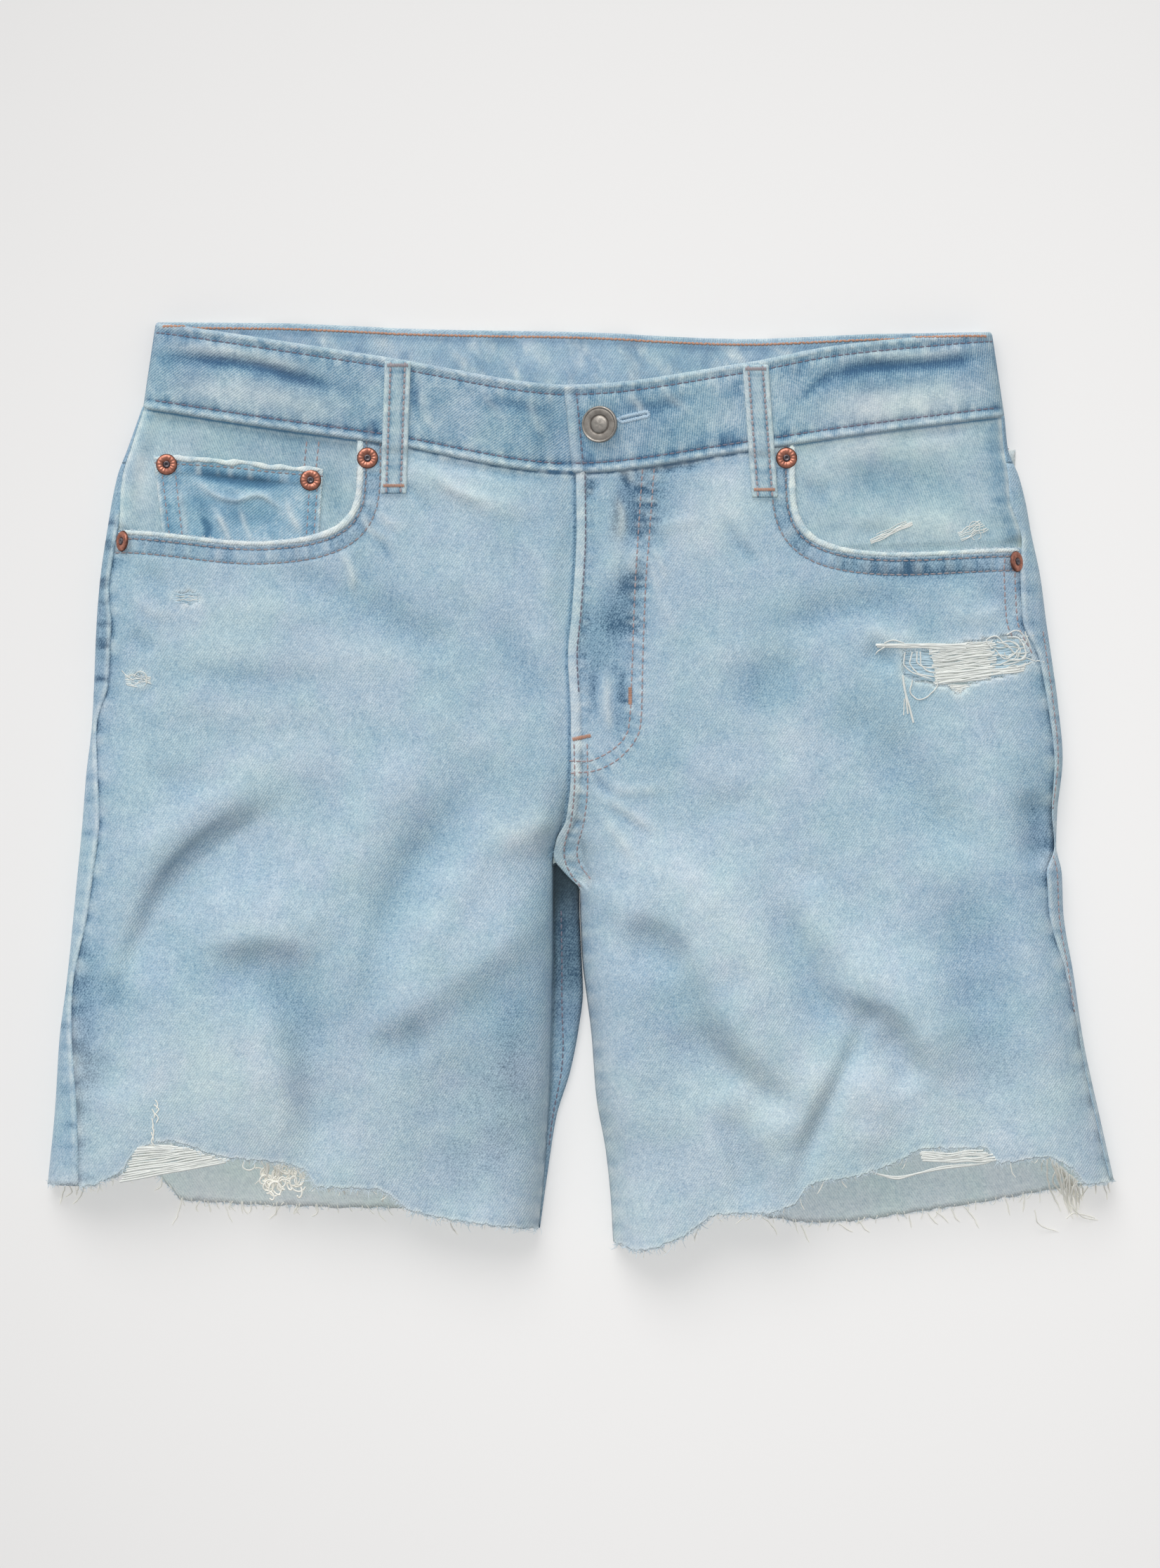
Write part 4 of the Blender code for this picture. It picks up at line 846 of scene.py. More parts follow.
class Tree:
    """Adds nodes to a shader or geometry node tree."""

    def __init__(self, nodes: bpy.types.NodeTree) -> None:
        """Start on an empty tree."""
        self.nodes = nodes
        nodes.nodes.clear()

    def add(self, kind: str, settings: dict[str, object], values: dict[int | str, object],
            output: int | str = 0) -> Value:
        """Add a node.

        Args:
            kind: the node's type.
            settings: its own settings, set first; stops are a ramp's (position, colour) pairs.
            values: numbers, vectors or other nodes' outputs for its sockets.
            output: which output is wanted.

        Returns:
            That output.
        """
        node = self.nodes.nodes.new(kind)
        for name, setting in settings.items():
            if name == "stops":
                self._set_stops(node.color_ramp, setting)
            else:
                setattr(node, name, setting)
        for name, value in values.items():
            if isinstance(value, Value):
                self.nodes.links.new(value.socket, node.inputs[name])
            else:
                node.inputs[name].default_value = value
        return Value(self, node, output) if len(node.outputs) else node

    def place(self) -> Value:
        """Object coordinates, in metres."""
        return self.add("ShaderNodeTexCoord", {}, {}, "Object")

    def noise(self, place: Value, scale: float, detail: float, **more: float) -> Value:
        """A noise texture; more sets its other sockets by name."""
        return self.add("ShaderNodeTexNoise", {"noise_dimensions": "3D"},
                        {"Vector": place, "Scale": scale, "Detail": detail, **more})

    def stored(self, name: str) -> Value:
        """A number stored at the points of the mesh."""
        return self.add("ShaderNodeAttribute", {"attribute_name": name}, {}, "Fac")

    def blend(self, factor: Value | float, first: Value | Rgb, second: Value | Rgb,
              **settings: str) -> Value:
        """A mix of two colours; settings are the node's own."""
        first, second = (end if isinstance(end, Value) else (*end, 1.0) for end in (first, second))
        return self.add("ShaderNodeMix", {"data_type": "RGBA", **settings},
                        {"Factor": factor, "A": first, "B": second}, "Result")

    def bump(self, strength: float, distance: float, height: Value) -> Value:
        """A normal pushed by a height; the distance is in metres."""
        return self.add("ShaderNodeBump", {}, {"Strength": strength, "Distance": distance,
                                               "Height": height})

    @staticmethod
    def _set_stops(ramp: bpy.types.ColorRamp, stops_wanted: Sequence[tuple[float, Rgb]]) -> None:
        """Give a ramp its colours."""
        while len(ramp.elements) < len(stops_wanted):
            ramp.elements.new(1.0)
        for element, (position, colour) in zip(ramp.elements, stops_wanted):
            element.position = position
            element.color = (*colour, 1.0)


def srgb(red: int, green: int, blue: int) -> Rgb:
    """Linear colour of an 8-bit screen colour."""
    def linear(level: int) -> float:
        part = level / 255
        return part / 12.92 if part <= 0.04045 else ((part + 0.055) / 1.055) ** 2.4
    return linear(red), linear(green), linear(blue)


# ---- finishes --------------------------------------------------------------------------------
def begin(name: str) -> tuple[bpy.types.Material, Tree]:
    """A new material and its empty tree."""
    made = bpy.data.materials.new(name)
    made.use_nodes = True
    return made, Tree(made.node_tree)


def end(tree: Tree, values: dict[str, object]) -> None:
    """Close a material with a Principled shader that takes these socket values."""
    shader = tree.add("ShaderNodeBsdfPrincipled", {}, values)
    tree.add("ShaderNodeOutputMaterial", {}, {"Surface": shader})


@dataclass(frozen=True)
class Denim:
    """Washed denim: twill, slubs and mottled tone, with deep, wear and painted shade read from the cloth.
    """
    name: str
    deepest: Rgb
    deep: Rgb
    mid: Rgb
    pale: Rgb
    worn: Rgb
    twill: float = 0.06
    pitch_mm: float = 1.05
    lean_deg: float = 57.0
    right_lean_deg: float | None = None
    mottle: float = 0.22
    base: float = 0.55
    grain: float = 0.48
    craze: float = 0.06

    def material(self) -> bpy.types.Material:
        """Build the node material."""
        made, tree = begin(self.name)
        in_mm = tree.add("ShaderNodeVectorMath", {"operation": "SCALE"},
                         {0: tree.place(), "Scale": 1 / MM})
        fine = tree.noise(in_mm, 1.25, 3.0)
        long_way = tree.add("ShaderNodeMapping", {}, {"Vector": in_mm, "Scale": (1.5, 0.22, 1.0)})
        slub = tree.noise(long_way, 1.0, 2.0)
        patch = tree.noise(in_mm, 0.11, 4.0, Roughness=0.62)
        broad = tree.noise(in_mm, 0.018, 2.0)
        off_vein = tree.noise(in_mm, 0.06, 3.0, Roughness=0.55, Distortion=1.1) - 0.5
        crazed = (1.0 - off_vein * off_vein * 420.0).clamped() * (broad * 4.0 - 1.5).clamped()
        split = tree.add("ShaderNodeSeparateXYZ", {}, {"Vector": in_mm}, "X")

        def rib(lean_deg: float) -> Value:
            lean, turn = math.radians(lean_deg), CIRCLE / self.pitch_mm
            across = split * (math.sin(lean) * turn) - split.out("Y") * (math.cos(lean) * turn)
            return (across + fine * 5.0).sine()

        twill = rib(self.lean_deg)
        if self.right_lean_deg is not None:
            right = (split * 0.1 + 0.5).clamped()
            twill = twill * (1.0 - right) + rib(self.right_lean_deg) * right
        twill = twill * (patch * 2.4 - 0.3).clamped()
        # deep darkens the tone: partly unfaded dye, partly painted shade on folds and under edges
        deep, wear = tree.stored("deep"), tree.stored("wear")
        tone = (self.base + (patch - 0.5) * self.mottle * 2 + (broad - 0.5) * self.mottle * 1.6
                + twill * self.twill + (fine - 0.5) * self.grain + (slub - 0.5) * 0.26
                + crazed * self.craze - deep * (0.45 + patch * 0.5))
        shades = ((0.0, self.deepest), (0.3, self.deep), (0.58, self.mid), (0.95, self.pale))
        blue = tree.add("ShaderNodeValToRGB", {"stops": shades}, {"Fac": tone.clamped()})
        rubbed = (wear * (0.55 + patch * 0.9) + (fine - 0.5) * wear * 0.8).clamped()
        colour = tree.blend(rubbed, blue, self.worn)
        # painted shadow: the stored shade takes the colour towards near black
        colour = tree.blend(tree.stored("shade"), colour, (0.014, 0.026, 0.034))
        drift = tree.noise(in_mm, 0.032, 3.0, Roughness=0.6)
        tint = tree.blend((drift * 4.0 - 1.5).clamped(), (0.975, 1.012, 0.99), (1.016, 0.994, 1.012))
        speck = tree.noise(in_mm, 0.5, 3.0, Roughness=0.7)
        flecks = tree.blend((speck * 2.6 - 0.8).clamped(), (0.88, 0.9, 0.915), (1.1, 1.09, 1.075))
        for share in (tint, flecks):
            colour = tree.blend(1.0, colour, share, blend_type="MULTIPLY")
        bump = tree.bump(0.7, 0.00022, twill * 0.35 + fine * 1.1 + slub * 0.7)
        end(tree, {"Base Color": colour, "Roughness": 0.82 + fine * 0.14, "Normal": bump,
                   "Sheen Weight": 0.12, "Sheen Roughness": 0.6, "Specular IOR Level": 0.25})
        return made


@dataclass(frozen=True)
class Yarn:
    """Cotton thread: twisted strands, faintly uneven in colour."""
    name: str
    dark: Rgb
    light: Rgb

    def material(self) -> bpy.types.Material:
        """Build the node material."""
        made, tree = begin(self.name)
        place = tree.place()
        fibre, faded = tree.noise(place, 2600.0, 2.0), tree.noise(place, 180.0, 1.0)
        colour = tree.blend((fibre * 0.6 + faded * 0.6 - 0.1).clamped(), self.dark, self.light)
        bump = tree.bump(0.4, 0.0001, fibre)
        end(tree, {"Base Color": colour, "Roughness": 0.72 + fibre * 0.2, "Normal": bump,
                   "Sheen Weight": 0.15, "Specular IOR Level": 0.3})
        return made


@dataclass(frozen=True)
class Metal:
    """Cast or plated metal, darker and rougher where tarnish has settled."""
    name: str
    bright: Rgb
    tarnish: Rgb
    roughness: float
    spots: float

    def material(self) -> bpy.types.Material:
        """Build the node material."""
        made, tree = begin(self.name)
        place = tree.place()
        cloud, grit = tree.noise(place, 420.0, 4.0), tree.noise(place, 2400.0, 2.0)
        hollow = tree.stored("deep")
        share = ((cloud - 0.5) * 2.0 * self.spots + 0.25 + hollow * 0.8).clamped()
        colour = tree.blend(share, self.bright, self.tarnish)
        bump = tree.bump(0.25, 0.0001, grit)
        end(tree, {"Base Color": colour, "Metallic": 0.85, "Normal": bump,
                   "Roughness": (self.roughness + share * 0.25 + (grit - 0.5) * 0.2).clamped()})
        return made


@dataclass(frozen=True)
class Floor:
    """Smooth pale board, with painted light falloff: darker away from its middle and towards the left."""
    name: str
    colour: Rgb
    shade: float = 0.86
    falloff: float = 3.6
    sideways: float = 0.6

    def material(self) -> bpy.types.Material:
        """Build the node material."""
        made, tree = begin(self.name)
        place = tree.place()
        cloud = tree.noise(place, 3.0, 2.0)
        x = tree.add("ShaderNodeSeparateXYZ", {}, {"Vector": place}, "X")
        y = x.out("Y")
        # painted light falloff: darker away from the middle and towards the left
        lit = (1.0 - (x * x + y * y) * self.falloff + x * self.sideways + (cloud - 0.5) * 0.06).clamped()
        shade = tuple(part * self.shade for part in self.colour)
        colour = tree.blend(lit, shade, self.colour)
        end(tree, {"Base Color": colour, "Roughness": 0.9, "Specular IOR Level": 0.1})
        return made


class Finish(Enum):
    """The finishes of the shorts."""
    DENIM = Denim("washed_denim", srgb(58, 92, 120), srgb(129, 160, 182), srgb(164, 187, 201),
                  srgb(196, 212, 220), srgb(220, 227, 225), grain=0.8)
    BAND = Denim("waistband_denim", srgb(56, 94, 128), srgb(104, 141, 166), srgb(152, 177, 192),
                 srgb(188, 205, 212), srgb(220, 228, 226), 0.15, lean_deg=37.0, right_lean_deg=84.0,
                 mottle=0.34, base=0.46, grain=0.6, craze=0.13)
    COIN = Denim("coin_pocket_denim", srgb(70, 112, 142), srgb(106, 147, 172), srgb(144, 177, 194),
                 srgb(190, 208, 216), srgb(222, 229, 226), 0.14, lean_deg=40.0, mottle=0.4,
                 base=0.56, craze=0.12)
    FACING = Denim("facing_denim", srgb(76, 116, 144), srgb(128, 158, 176), srgb(168, 190, 199),
                   srgb(198, 214, 217), srgb(222, 229, 225), 0.09, lean_deg=112.0, mottle=0.26)
    INSIDE = Denim("denim_inside", srgb(112, 138, 154), srgb(152, 174, 186), srgb(190, 202, 206),
                   srgb(212, 220, 221), srgb(224, 227, 222), lean_deg=123.0, mottle=0.12, base=0.7)
    BAND_INSIDE = Denim("waistband_inside", srgb(84, 124, 156), srgb(122, 158, 184),
                        srgb(158, 186, 203), srgb(198, 215, 222), srgb(220, 229, 228), base=0.43)
    RAW = Denim("raw_edge", srgb(96, 136, 166), srgb(136, 168, 190), srgb(176, 198, 210),
                srgb(208, 220, 225), srgb(228, 232, 227), base=0.56)
    ROLL = Denim("worn_fold", srgb(108, 144, 170), srgb(148, 177, 194), srgb(182, 201, 209),
                 srgb(206, 217, 219), srgb(224, 229, 224), 0.12, mottle=0.5, base=0.58, grain=0.8)
    WEFT = Yarn("bare_weft", srgb(198, 203, 201), srgb(231, 233, 228))
    BLUE_WEFT = Yarn("blue_weft", srgb(150, 180, 198), srgb(196, 214, 221))
    PLUM = Yarn("plum_thread", srgb(78, 84, 104), srgb(136, 130, 142))
    LOOP_THREAD = Yarn("loop_thread", srgb(112, 112, 128), srgb(184, 172, 170))
    BROWN = Yarn("brown_thread", srgb(104, 104, 116), srgb(170, 158, 156))
    TAN = Yarn("tan_thread", srgb(118, 112, 126), srgb(186, 166, 162))
    COPPER_THREAD = Yarn("copper_thread", srgb(150, 110, 94), srgb(206, 162, 138))
    PALE_THREAD = Yarn("pale_thread", srgb(136, 168, 194), srgb(204, 219, 227))
    # painted light: a paler copy of the bare weft, for loose threads that lie in the garment's shade
    LOOSE = Yarn("weft_brightened_for_shade", srgb(224, 223, 213), srgb(247, 245, 238))
    COPPER = Metal("copper_rivet", srgb(190, 128, 108), srgb(88, 56, 50), 0.42, 0.9)
    NAIL = Metal("rivet_nail", srgb(112, 104, 108), srgb(40, 36, 44), 0.34, 0.8)
    NICKEL = Metal("antique_nickel", srgb(172, 167, 160), srgb(96, 90, 85), 0.42, 0.5)
    FUZZ = Yarn("hem_fuzz_cotton", srgb(168, 194, 212), srgb(226, 233, 234))
    # painted shadow in the buttonhole's slit
    SLIT_SHADOW = Yarn("slit_shadow", srgb(34, 46, 70), srgb(58, 74, 104))
    TAPE = Yarn("zip_tape_cotton", srgb(84, 108, 134), srgb(124, 148, 172))
    FLOOR = Floor("pale_board_painted_falloff", srgb(238, 237, 236))

    def made(self) -> bpy.types.Material:
        """The finish's material, built once."""
        found = bpy.data.materials.get(self.value.name)
        return found or self.value.material()


# ---- meshes ----------------------------------------------------------------------------------
def object_of(name: str, mesh: Mesh) -> Thing:
    """Put a mesh in the scene under the name, shaded smooth."""
    mesh.name = name
    mesh.shade_smooth()
    thing = bpy.data.objects.new(name, mesh)
    bpy.context.scene.collection.objects.link(thing)
    return thing


def point_values(mesh: Mesh, name: str, values: Array) -> None:
    """Store one number for each point of a mesh."""
    kind = "FLOAT_VECTOR" if values.ndim == 2 else "FLOAT"
    slot = "vector" if values.ndim == 2 else "value"
    attribute = mesh.attributes.new(name, kind, "POINT")
    attribute.data.foreach_set(slot, values.astype(np.float32).ravel())


def mesh_of(name: str, points: Array, faces: Sequence[Sequence[int]]) -> Mesh:
    """A mesh from points in millimetres."""
    mesh = bpy.data.meshes.new(name)
    mesh.from_pydata((points.reshape(-1, 3) * MM).tolist(), [], faces)
    return mesh


def quads(rows: int, columns: int, flip: bool) -> Array:
    """Faces of a grid of points, as rows of four indices."""
    a = (np.arange(rows - 1)[:, None] * columns + np.arange(columns - 1)[None, :]).ravel()
    ring = np.stack([a, a + columns, a + columns + 1, a + 1], axis=-1)
    return ring[:, ::-1] if flip else ring


def inside(outline: Array, x: Array, y: Array) -> Array:
    """Whether points lie inside a closed outline."""
    odd = np.zeros(x.shape, dtype=bool)
    for (ax, ay), (bx, by) in zip(outline, np.roll(outline, -1, axis=0)):
        if ay == by:
            continue
        crosses = (ay > y) != (by > y)
        odd ^= crosses & (x < ax + (y - ay) * (bx - ax) / (by - ay))
    return odd


@dataclass
class Sheet:
    """A cloth piece through a grid of outer points, thickened by Solidify."""
    name: str
    grid: Array
    flip: bool
    wall: float
    outer: Finish
    inner: Finish
    deep: Array | float = 0.0
    wear: Array | float = 0.0
    # painted shade: how far the colour is taken towards near black
    shade: Array | float = 0.0

    def build(self, holes: Sequence[Array] = ()) -> Thing:
        """Make the object.

        Args:
            holes: outlines in the plane; the cloth inside them is cut away.

        Returns:
            The object, with its wall as a live modifier.
        """
        rows, columns = self.grid.shape[:2]
        faces = quads(rows, columns, self.flip)
        points = self.grid.reshape(-1, 3).copy()
        for outline in holes:
            middle = points[faces].mean(axis=1)
            kept = ~inside(outline, middle[:, 0], middle[:, 1])
            faces = faces[kept]
            self._snap(points, np.unique(faces), outline)
        used, renumbered = np.unique(faces, return_inverse=True)
        mesh = mesh_of(self.name, points[used], renumbered.reshape(-1, 4).tolist())
        for label, values in (("deep", self.deep), ("wear", self.wear), ("shade", self.shade)):
            whole = np.broadcast_to(values, (rows, columns)).ravel()
            point_values(mesh, label, np.clip(whole[used], 0.0, WASH_AND_SHADE_TOP))
        for finish in (self.outer, self.inner, Finish.RAW):
            mesh.materials.append(finish.made())
        thing = object_of(self.name, mesh)
        wall = thing.modifiers.new("Wall", "SOLIDIFY")
        wall.thickness = self.wall * MM
        wall.offset = -1.0
        wall.thickness_clamp = 1.0
        wall.material_offset = 1
        wall.material_offset_rim = 2
        return thing

    @staticmethod
    def _snap(points: Array, used: Array, outline: Array) -> None:
        """Move the points that stand inside a hole out to its edge."""
        x, y = points[used, 0], points[used, 1]
        within = used[inside(outline, x, y)]
        edge = Path(np.concatenate([outline, outline[:1]]), 0.5, smooth=False).points
        for index in within:
            away = np.hypot(*(edge - points[index, :2]).T)
            points[index, :2] = edge[int(np.argmin(away))]


def tube(name: str, rings: Array, flip: bool = False) -> Mesh:
    """A closed skin over rings of points, with its two ends capped.

    Args:
        name: the mesh's name.
        rings: points by ring and by place round the ring.
        flip: True turns the faces over.

    Returns:
        The mesh.
    """
    count, around = rings.shape[:2]
    k = np.arange(around)
    faces = []
    for j in range(count - 1):
        a, b = j * around + k, j * around + (k + 1) % around
        faces += np.stack([a, b, b + around, a + around], axis=-1).tolist()
    faces += [k[::-1].tolist(), ((count - 1) * around + k).tolist()]
    if flip:
        faces = [face[::-1] for face in faces]
    return mesh_of(name, rings, faces)


def strap_rings(face: Array, wall: float, turn: int = 4) -> Array:
    """Cross-sections of a folded strap with rounded edges and rounded ends.

    Args:
        face: outer points by place along the strap and by place across it.
        wall: its thickness, which is rounded off at both edges and both ends.
        turn: steps in each rounded edge.

    Returns:
        Rings of points for tube().
    """
    run = np.gradient(face, axis=0)
    side = np.gradient(face, axis=1)
    normal = np.cross(run, side)
    normal /= np.linalg.norm(normal, axis=-1)[..., None]
    side /= np.linalg.norm(side, axis=-1)[..., None]
    run /= np.linalg.norm(run, axis=-1)[..., None]
    angles = np.linspace(0, math.pi, turn + 2)[1:-1]
    radius = wall / 2
    middle = face - normal * radius
    lower = [middle[:, -1] + radius * (normal[:, -1] * math.cos(a) + side[:, -1] * math.sin(a))
             for a in angles]
    upper = [middle[:, 0] + radius * (-normal[:, 0] * math.cos(a) - side[:, 0] * math.sin(a))
             for a in angles]
    back = (middle - normal * radius)[:, ::-1]
    rings = np.concatenate([face, np.stack(lower, 1), back, np.stack(upper, 1)], axis=1)
    flat = np.concatenate([middle, np.repeat(middle[:, -1:], turn, 1), middle[:, ::-1],
                           np.repeat(middle[:, :1], turn, 1)], axis=1)
    ends = []
    for index, sense in ((0, -1.0), (-1, 1.0)):
        ahead = run[index].mean(axis=0) * sense
        shells = [flat[index] + (rings[index] - flat[index]) * math.cos(a)
                  + ahead * radius * math.sin(a) for a in (0.5, 1.0, 1.4)]
        ends.append(np.array(shells))
    return np.concatenate([ends[0][::-1], rings, ends[1]])


def roll_rings(line: Array, normal: Array, across: Array, up: Array, around: int = 12) -> Array:
    """Cross-sections of a soft roll along a line.

    Args:
        line: points along its middle.
        normal: the cloth's unit normals there.
        across: half widths in the cloth's plane.
        up: half heights.
        around: points round each section.

    Returns:
        Rings of points for tube().
    """
    run = np.gradient(line, axis=0)
    side = np.cross(normal, run)
    side /= np.linalg.norm(side, axis=-1)[:, None]
    angle = np.linspace(0, CIRCLE, around, endpoint=False)[None, :, None]
    return (line[:, None] + side[:, None] * np.cos(angle) * across[:, None, None]
            + normal[:, None] * np.sin(angle) * up[:, None, None])


def turned(name: str, profile: Sequence[Point], segments: int,
           relief: Field | None = None) -> Mesh:
    """A round piece from (radius, height) pairs, from the middle of its top down to its foot.

    Args:
        name: the mesh's name.
        profile: radii and heights; it is closed flat at the foot.
        segments: steps round it.
        relief: height to add at a radius and an angle.

    Returns:
        The mesh, standing on z = 0 in metres.
    """
    radius, height = np.array(profile, dtype=float).T
    angle = np.linspace(0, CIRCLE, segments, endpoint=False)
    r, a = np.meshgrid(radius, angle, indexing="ij")
    z = np.repeat(height[:, None], segments, axis=1)
    if relief is not None:
        z += relief(r, a)
    return tube(name, stack(r * np.cos(a), r * np.sin(a), z), flip=True)


# ---- stitches and threads --------------------------------------------------------------------
class Lines:
    """A bundle of polylines, each point with the cloth's normal and a thread thickness."""

    def __init__(self) -> None:
        """Start empty."""
        self.points: list[Array] = []
        self.ups: list[Array] = []
        self.thick: list[Array] = []

    def add(self, points: Array, up: Array | None = None, thick: Array | float = 0.3) -> None:
        """Add one polyline.

        Args:
            points: its points in millimetres.
            up: normals, or None for straight up.
            thick: thread radius, one for all or one for each point.
        """
        self.points.append(points)
        self.ups.append(np.tile((0.0, 0.0, 1.0), (len(points), 1)) if up is None else up)
        self.thick.append(np.broadcast_to(thick, (len(points),)))

    def mesh(self, name: str) -> Mesh:
        """All the lines as edges of one mesh."""
        counts = [len(line) for line in self.points]
        starts = np.concatenate([[0], np.cumsum(counts)])
        edges = [(int(s) + k, int(s) + k + 1) for s, n in zip(starts, counts) for k in range(n - 1)]
        mesh = bpy.data.meshes.new(name)
        mesh.from_pydata((np.concatenate(self.points) * MM).tolist(), edges, [])
        point_values(mesh, "up", np.concatenate(self.ups))
        point_values(mesh, "thick", np.concatenate(self.thick) * MM)
        return mesh


class LineTree:
    """A Geometry Nodes group that turns a bundle of lines into stitches or threads."""

    def __init__(self, name: str, numbers: dict[str, tuple[str, object]]) -> None:
        """Args:
            name: the group's name.
            numbers: socket kind and first value by input name.
        """
        self.group = bpy.data.node_groups.new(name, "GeometryNodeTree")
        self.tree = Tree(self.group)
        sockets = self.group.interface
        sockets.new_socket("Geometry", in_out="OUTPUT", socket_type="NodeSocketGeometry")
        sockets.new_socket("Geometry", in_out="INPUT", socket_type="NodeSocketGeometry")
        for label, (kind, first) in numbers.items():
            socket = sockets.new_socket(label, in_out="INPUT", socket_type=kind)
            socket.default_value = first
        sockets.new_socket("Material", in_out="INPUT", socket_type="NodeSocketMaterial")
        self.inputs = self.tree.add("NodeGroupInput", {}, {}, "Geometry")

    def close(self, geometry: Value) -> None:
        """End the group: instances made real, smooth, with the material set."""
        real = self.tree.add("GeometryNodeRealizeInstances", {}, {"Geometry": geometry})
        smooth = self.tree.add("GeometryNodeSetShadeSmooth", {}, {"Geometry": real})
        dressed = self.tree.add("GeometryNodeSetMaterial", {},
                                {"Geometry": smooth, "Material": self.inputs.out("Material")})
        self.tree.add("NodeGroupOutput", {}, {0: dressed})

    def apply(self, name: str, lines: Lines, values: dict[str, object], finish: Finish
              ) -> Thing:
        """Run the group on a bundle of lines.

        Args:
            name: the piece's name.
            lines: what it runs on.
            values: input values by name.
            finish: what the result is made of.

        Returns:
            The piece as a plain mesh.
        """
        source = bpy.data.objects.new(name + "_lines", lines.mesh(name + "_lines"))
        bpy.context.scene.collection.objects.link(source)
        maker = source.modifiers.new("Make", "NODES")
        maker.node_group = self.group
        for item in self.group.interface.items_tree:
            if item.in_out == "INPUT" and item.name in values:
                maker[item.identifier] = values[item.name]
            if item.in_out == "INPUT" and item.name == "Material":
                maker[item.identifier] = finish.made()
        shown = source.evaluated_get(bpy.context.evaluated_depsgraph_get())
        mesh = bpy.data.meshes.new_from_object(shown)
        bpy.data.objects.remove(source, do_unlink=True)
        return object_of(name, mesh)


def stitch_tree() -> LineTree:
    """Beads of thread set along the lines at a fixed pitch, each leaning a little at random."""
    made = LineTree("Stitches", {
        "Pitch": ("NodeSocketFloat", 3.2 * MM), "Size": ("NodeSocketVector", (1.0, 1.0, 1.0)),
        "Lean": ("NodeSocketFloat", 0.08), "Seed": ("NodeSocketInt", 3)})
    tree, inputs = made.tree, made.inputs
    curve = tree.add("GeometryNodeMeshToCurve", {}, {"Mesh": inputs})
    even = tree.add("GeometryNodeResampleCurve", {"mode": "LENGTH"},
                    {"Curve": curve, "Length": inputs.out("Pitch")})
    tangent = tree.add("GeometryNodeInputTangent", {}, {})
    up = tree.add("GeometryNodeInputNamedAttribute", {"data_type": "FLOAT_VECTOR"}, {"Name": "up"})
    along = tree.add("FunctionNodeAlignRotationToVector", {"axis": "X"}, {"Vector": tangent})
    upright = tree.add("FunctionNodeAlignRotationToVector", {"axis": "Z", "pivot_axis": "X"},
                       {"Rotation": along, "Vector": up})
    lean = tree.add("FunctionNodeRandomValue", {"data_type": "FLOAT"},
                    {"Min": inputs.out("Lean") * -1.0, "Max": inputs.out("Lean"),
                     "Seed": inputs.out("Seed")}, "Value")
    yaw = tree.add("ShaderNodeCombineXYZ", {}, {"Z": lean})
    turned_by = tree.add("FunctionNodeEulerToRotation", {}, {"Euler": yaw})
    rotation = tree.add("FunctionNodeRotateRotation", {"rotation_space": "LOCAL"},
                        {"Rotation": upright, "Rotate By": turned_by})
    bead = tree.add("GeometryNodeMeshUVSphere", {}, {"Segments": 8, "Rings": 5, "Radius": 0.5})
    beads = tree.add("GeometryNodeInstanceOnPoints", {},
                     {"Points": even, "Instance": bead, "Rotation": rotation,
                      "Scale": inputs.out("Size")})
    made.close(beads)
    return made


def thread_tree() -> LineTree:
    """Round threads along the lines, as thick as each point says."""
    made = LineTree("Threads", {"Sides": ("NodeSocketInt", 5)})
    tree, inputs = made.tree, made.inputs
    curve = tree.add("GeometryNodeMeshToCurve", {}, {"Mesh": inputs})
    thick = tree.add("GeometryNodeInputNamedAttribute", {"data_type": "FLOAT"}, {"Name": "thick"})
    circle = tree.add("GeometryNodeCurvePrimitiveCircle", {},
                      {"Resolution": inputs.out("Sides"), "Radius": 1.0})
    skin = tree.add("GeometryNodeCurveToMesh", {},
                    {"Curve": curve, "Profile Curve": circle, "Scale": thick, "Fill Caps": True})
    made.close(skin)
    return made


# ---- lines on the garment --------------------------------------------------------------------
class Pucker(NamedTuple):
    """Ripples and uneven wash along a sewn line."""
    line: Path
    width: float
    period: float
    height: float
    deep: float
    wear: float
    seed: float


def pucker_shares(puckers: Sequence[Pucker], x: Array, y: Array) -> tuple[Array, Array, Array]:
    """Height, deep and wear that sewn lines add at each point."""
    height, deep, wear = (np.zeros(np.broadcast(x, y).shape) for _ in range(3))
    for pucker in puckers:
        distance, _, along = pucker.line.nearest(x, y, 3 * pucker.width)
        near = bell(distance, pucker.width * (1 + 0.35 * wander(along, pucker.period * 1.9, 5.0)))
        wave = wander(along, pucker.period, pucker.seed)
        height += pucker.height * wave * near
        deep += pucker.deep * clip(0.25 - wave) * near
        wear += pucker.wear * clip(wave + 0.25) * near
    return height, deep, wear


def side_seam_path(half: Half) -> Path:
    """The side seam from the pocket mouth down to the hem."""
    y = np.linspace(half.mouth.side_y + 6, SIDE_HEM_Y, 120)
    return straight(half.side_seam(y), y, 2.0)


def waist_path(start_x: float, end_x: float, level: float) -> Path:
    """A line along the front waistband; level 0 is its top edge and 1 its bottom edge."""
    x = np.linspace(start_x, end_x, 90)
    return straight(x, band_y(x, level))


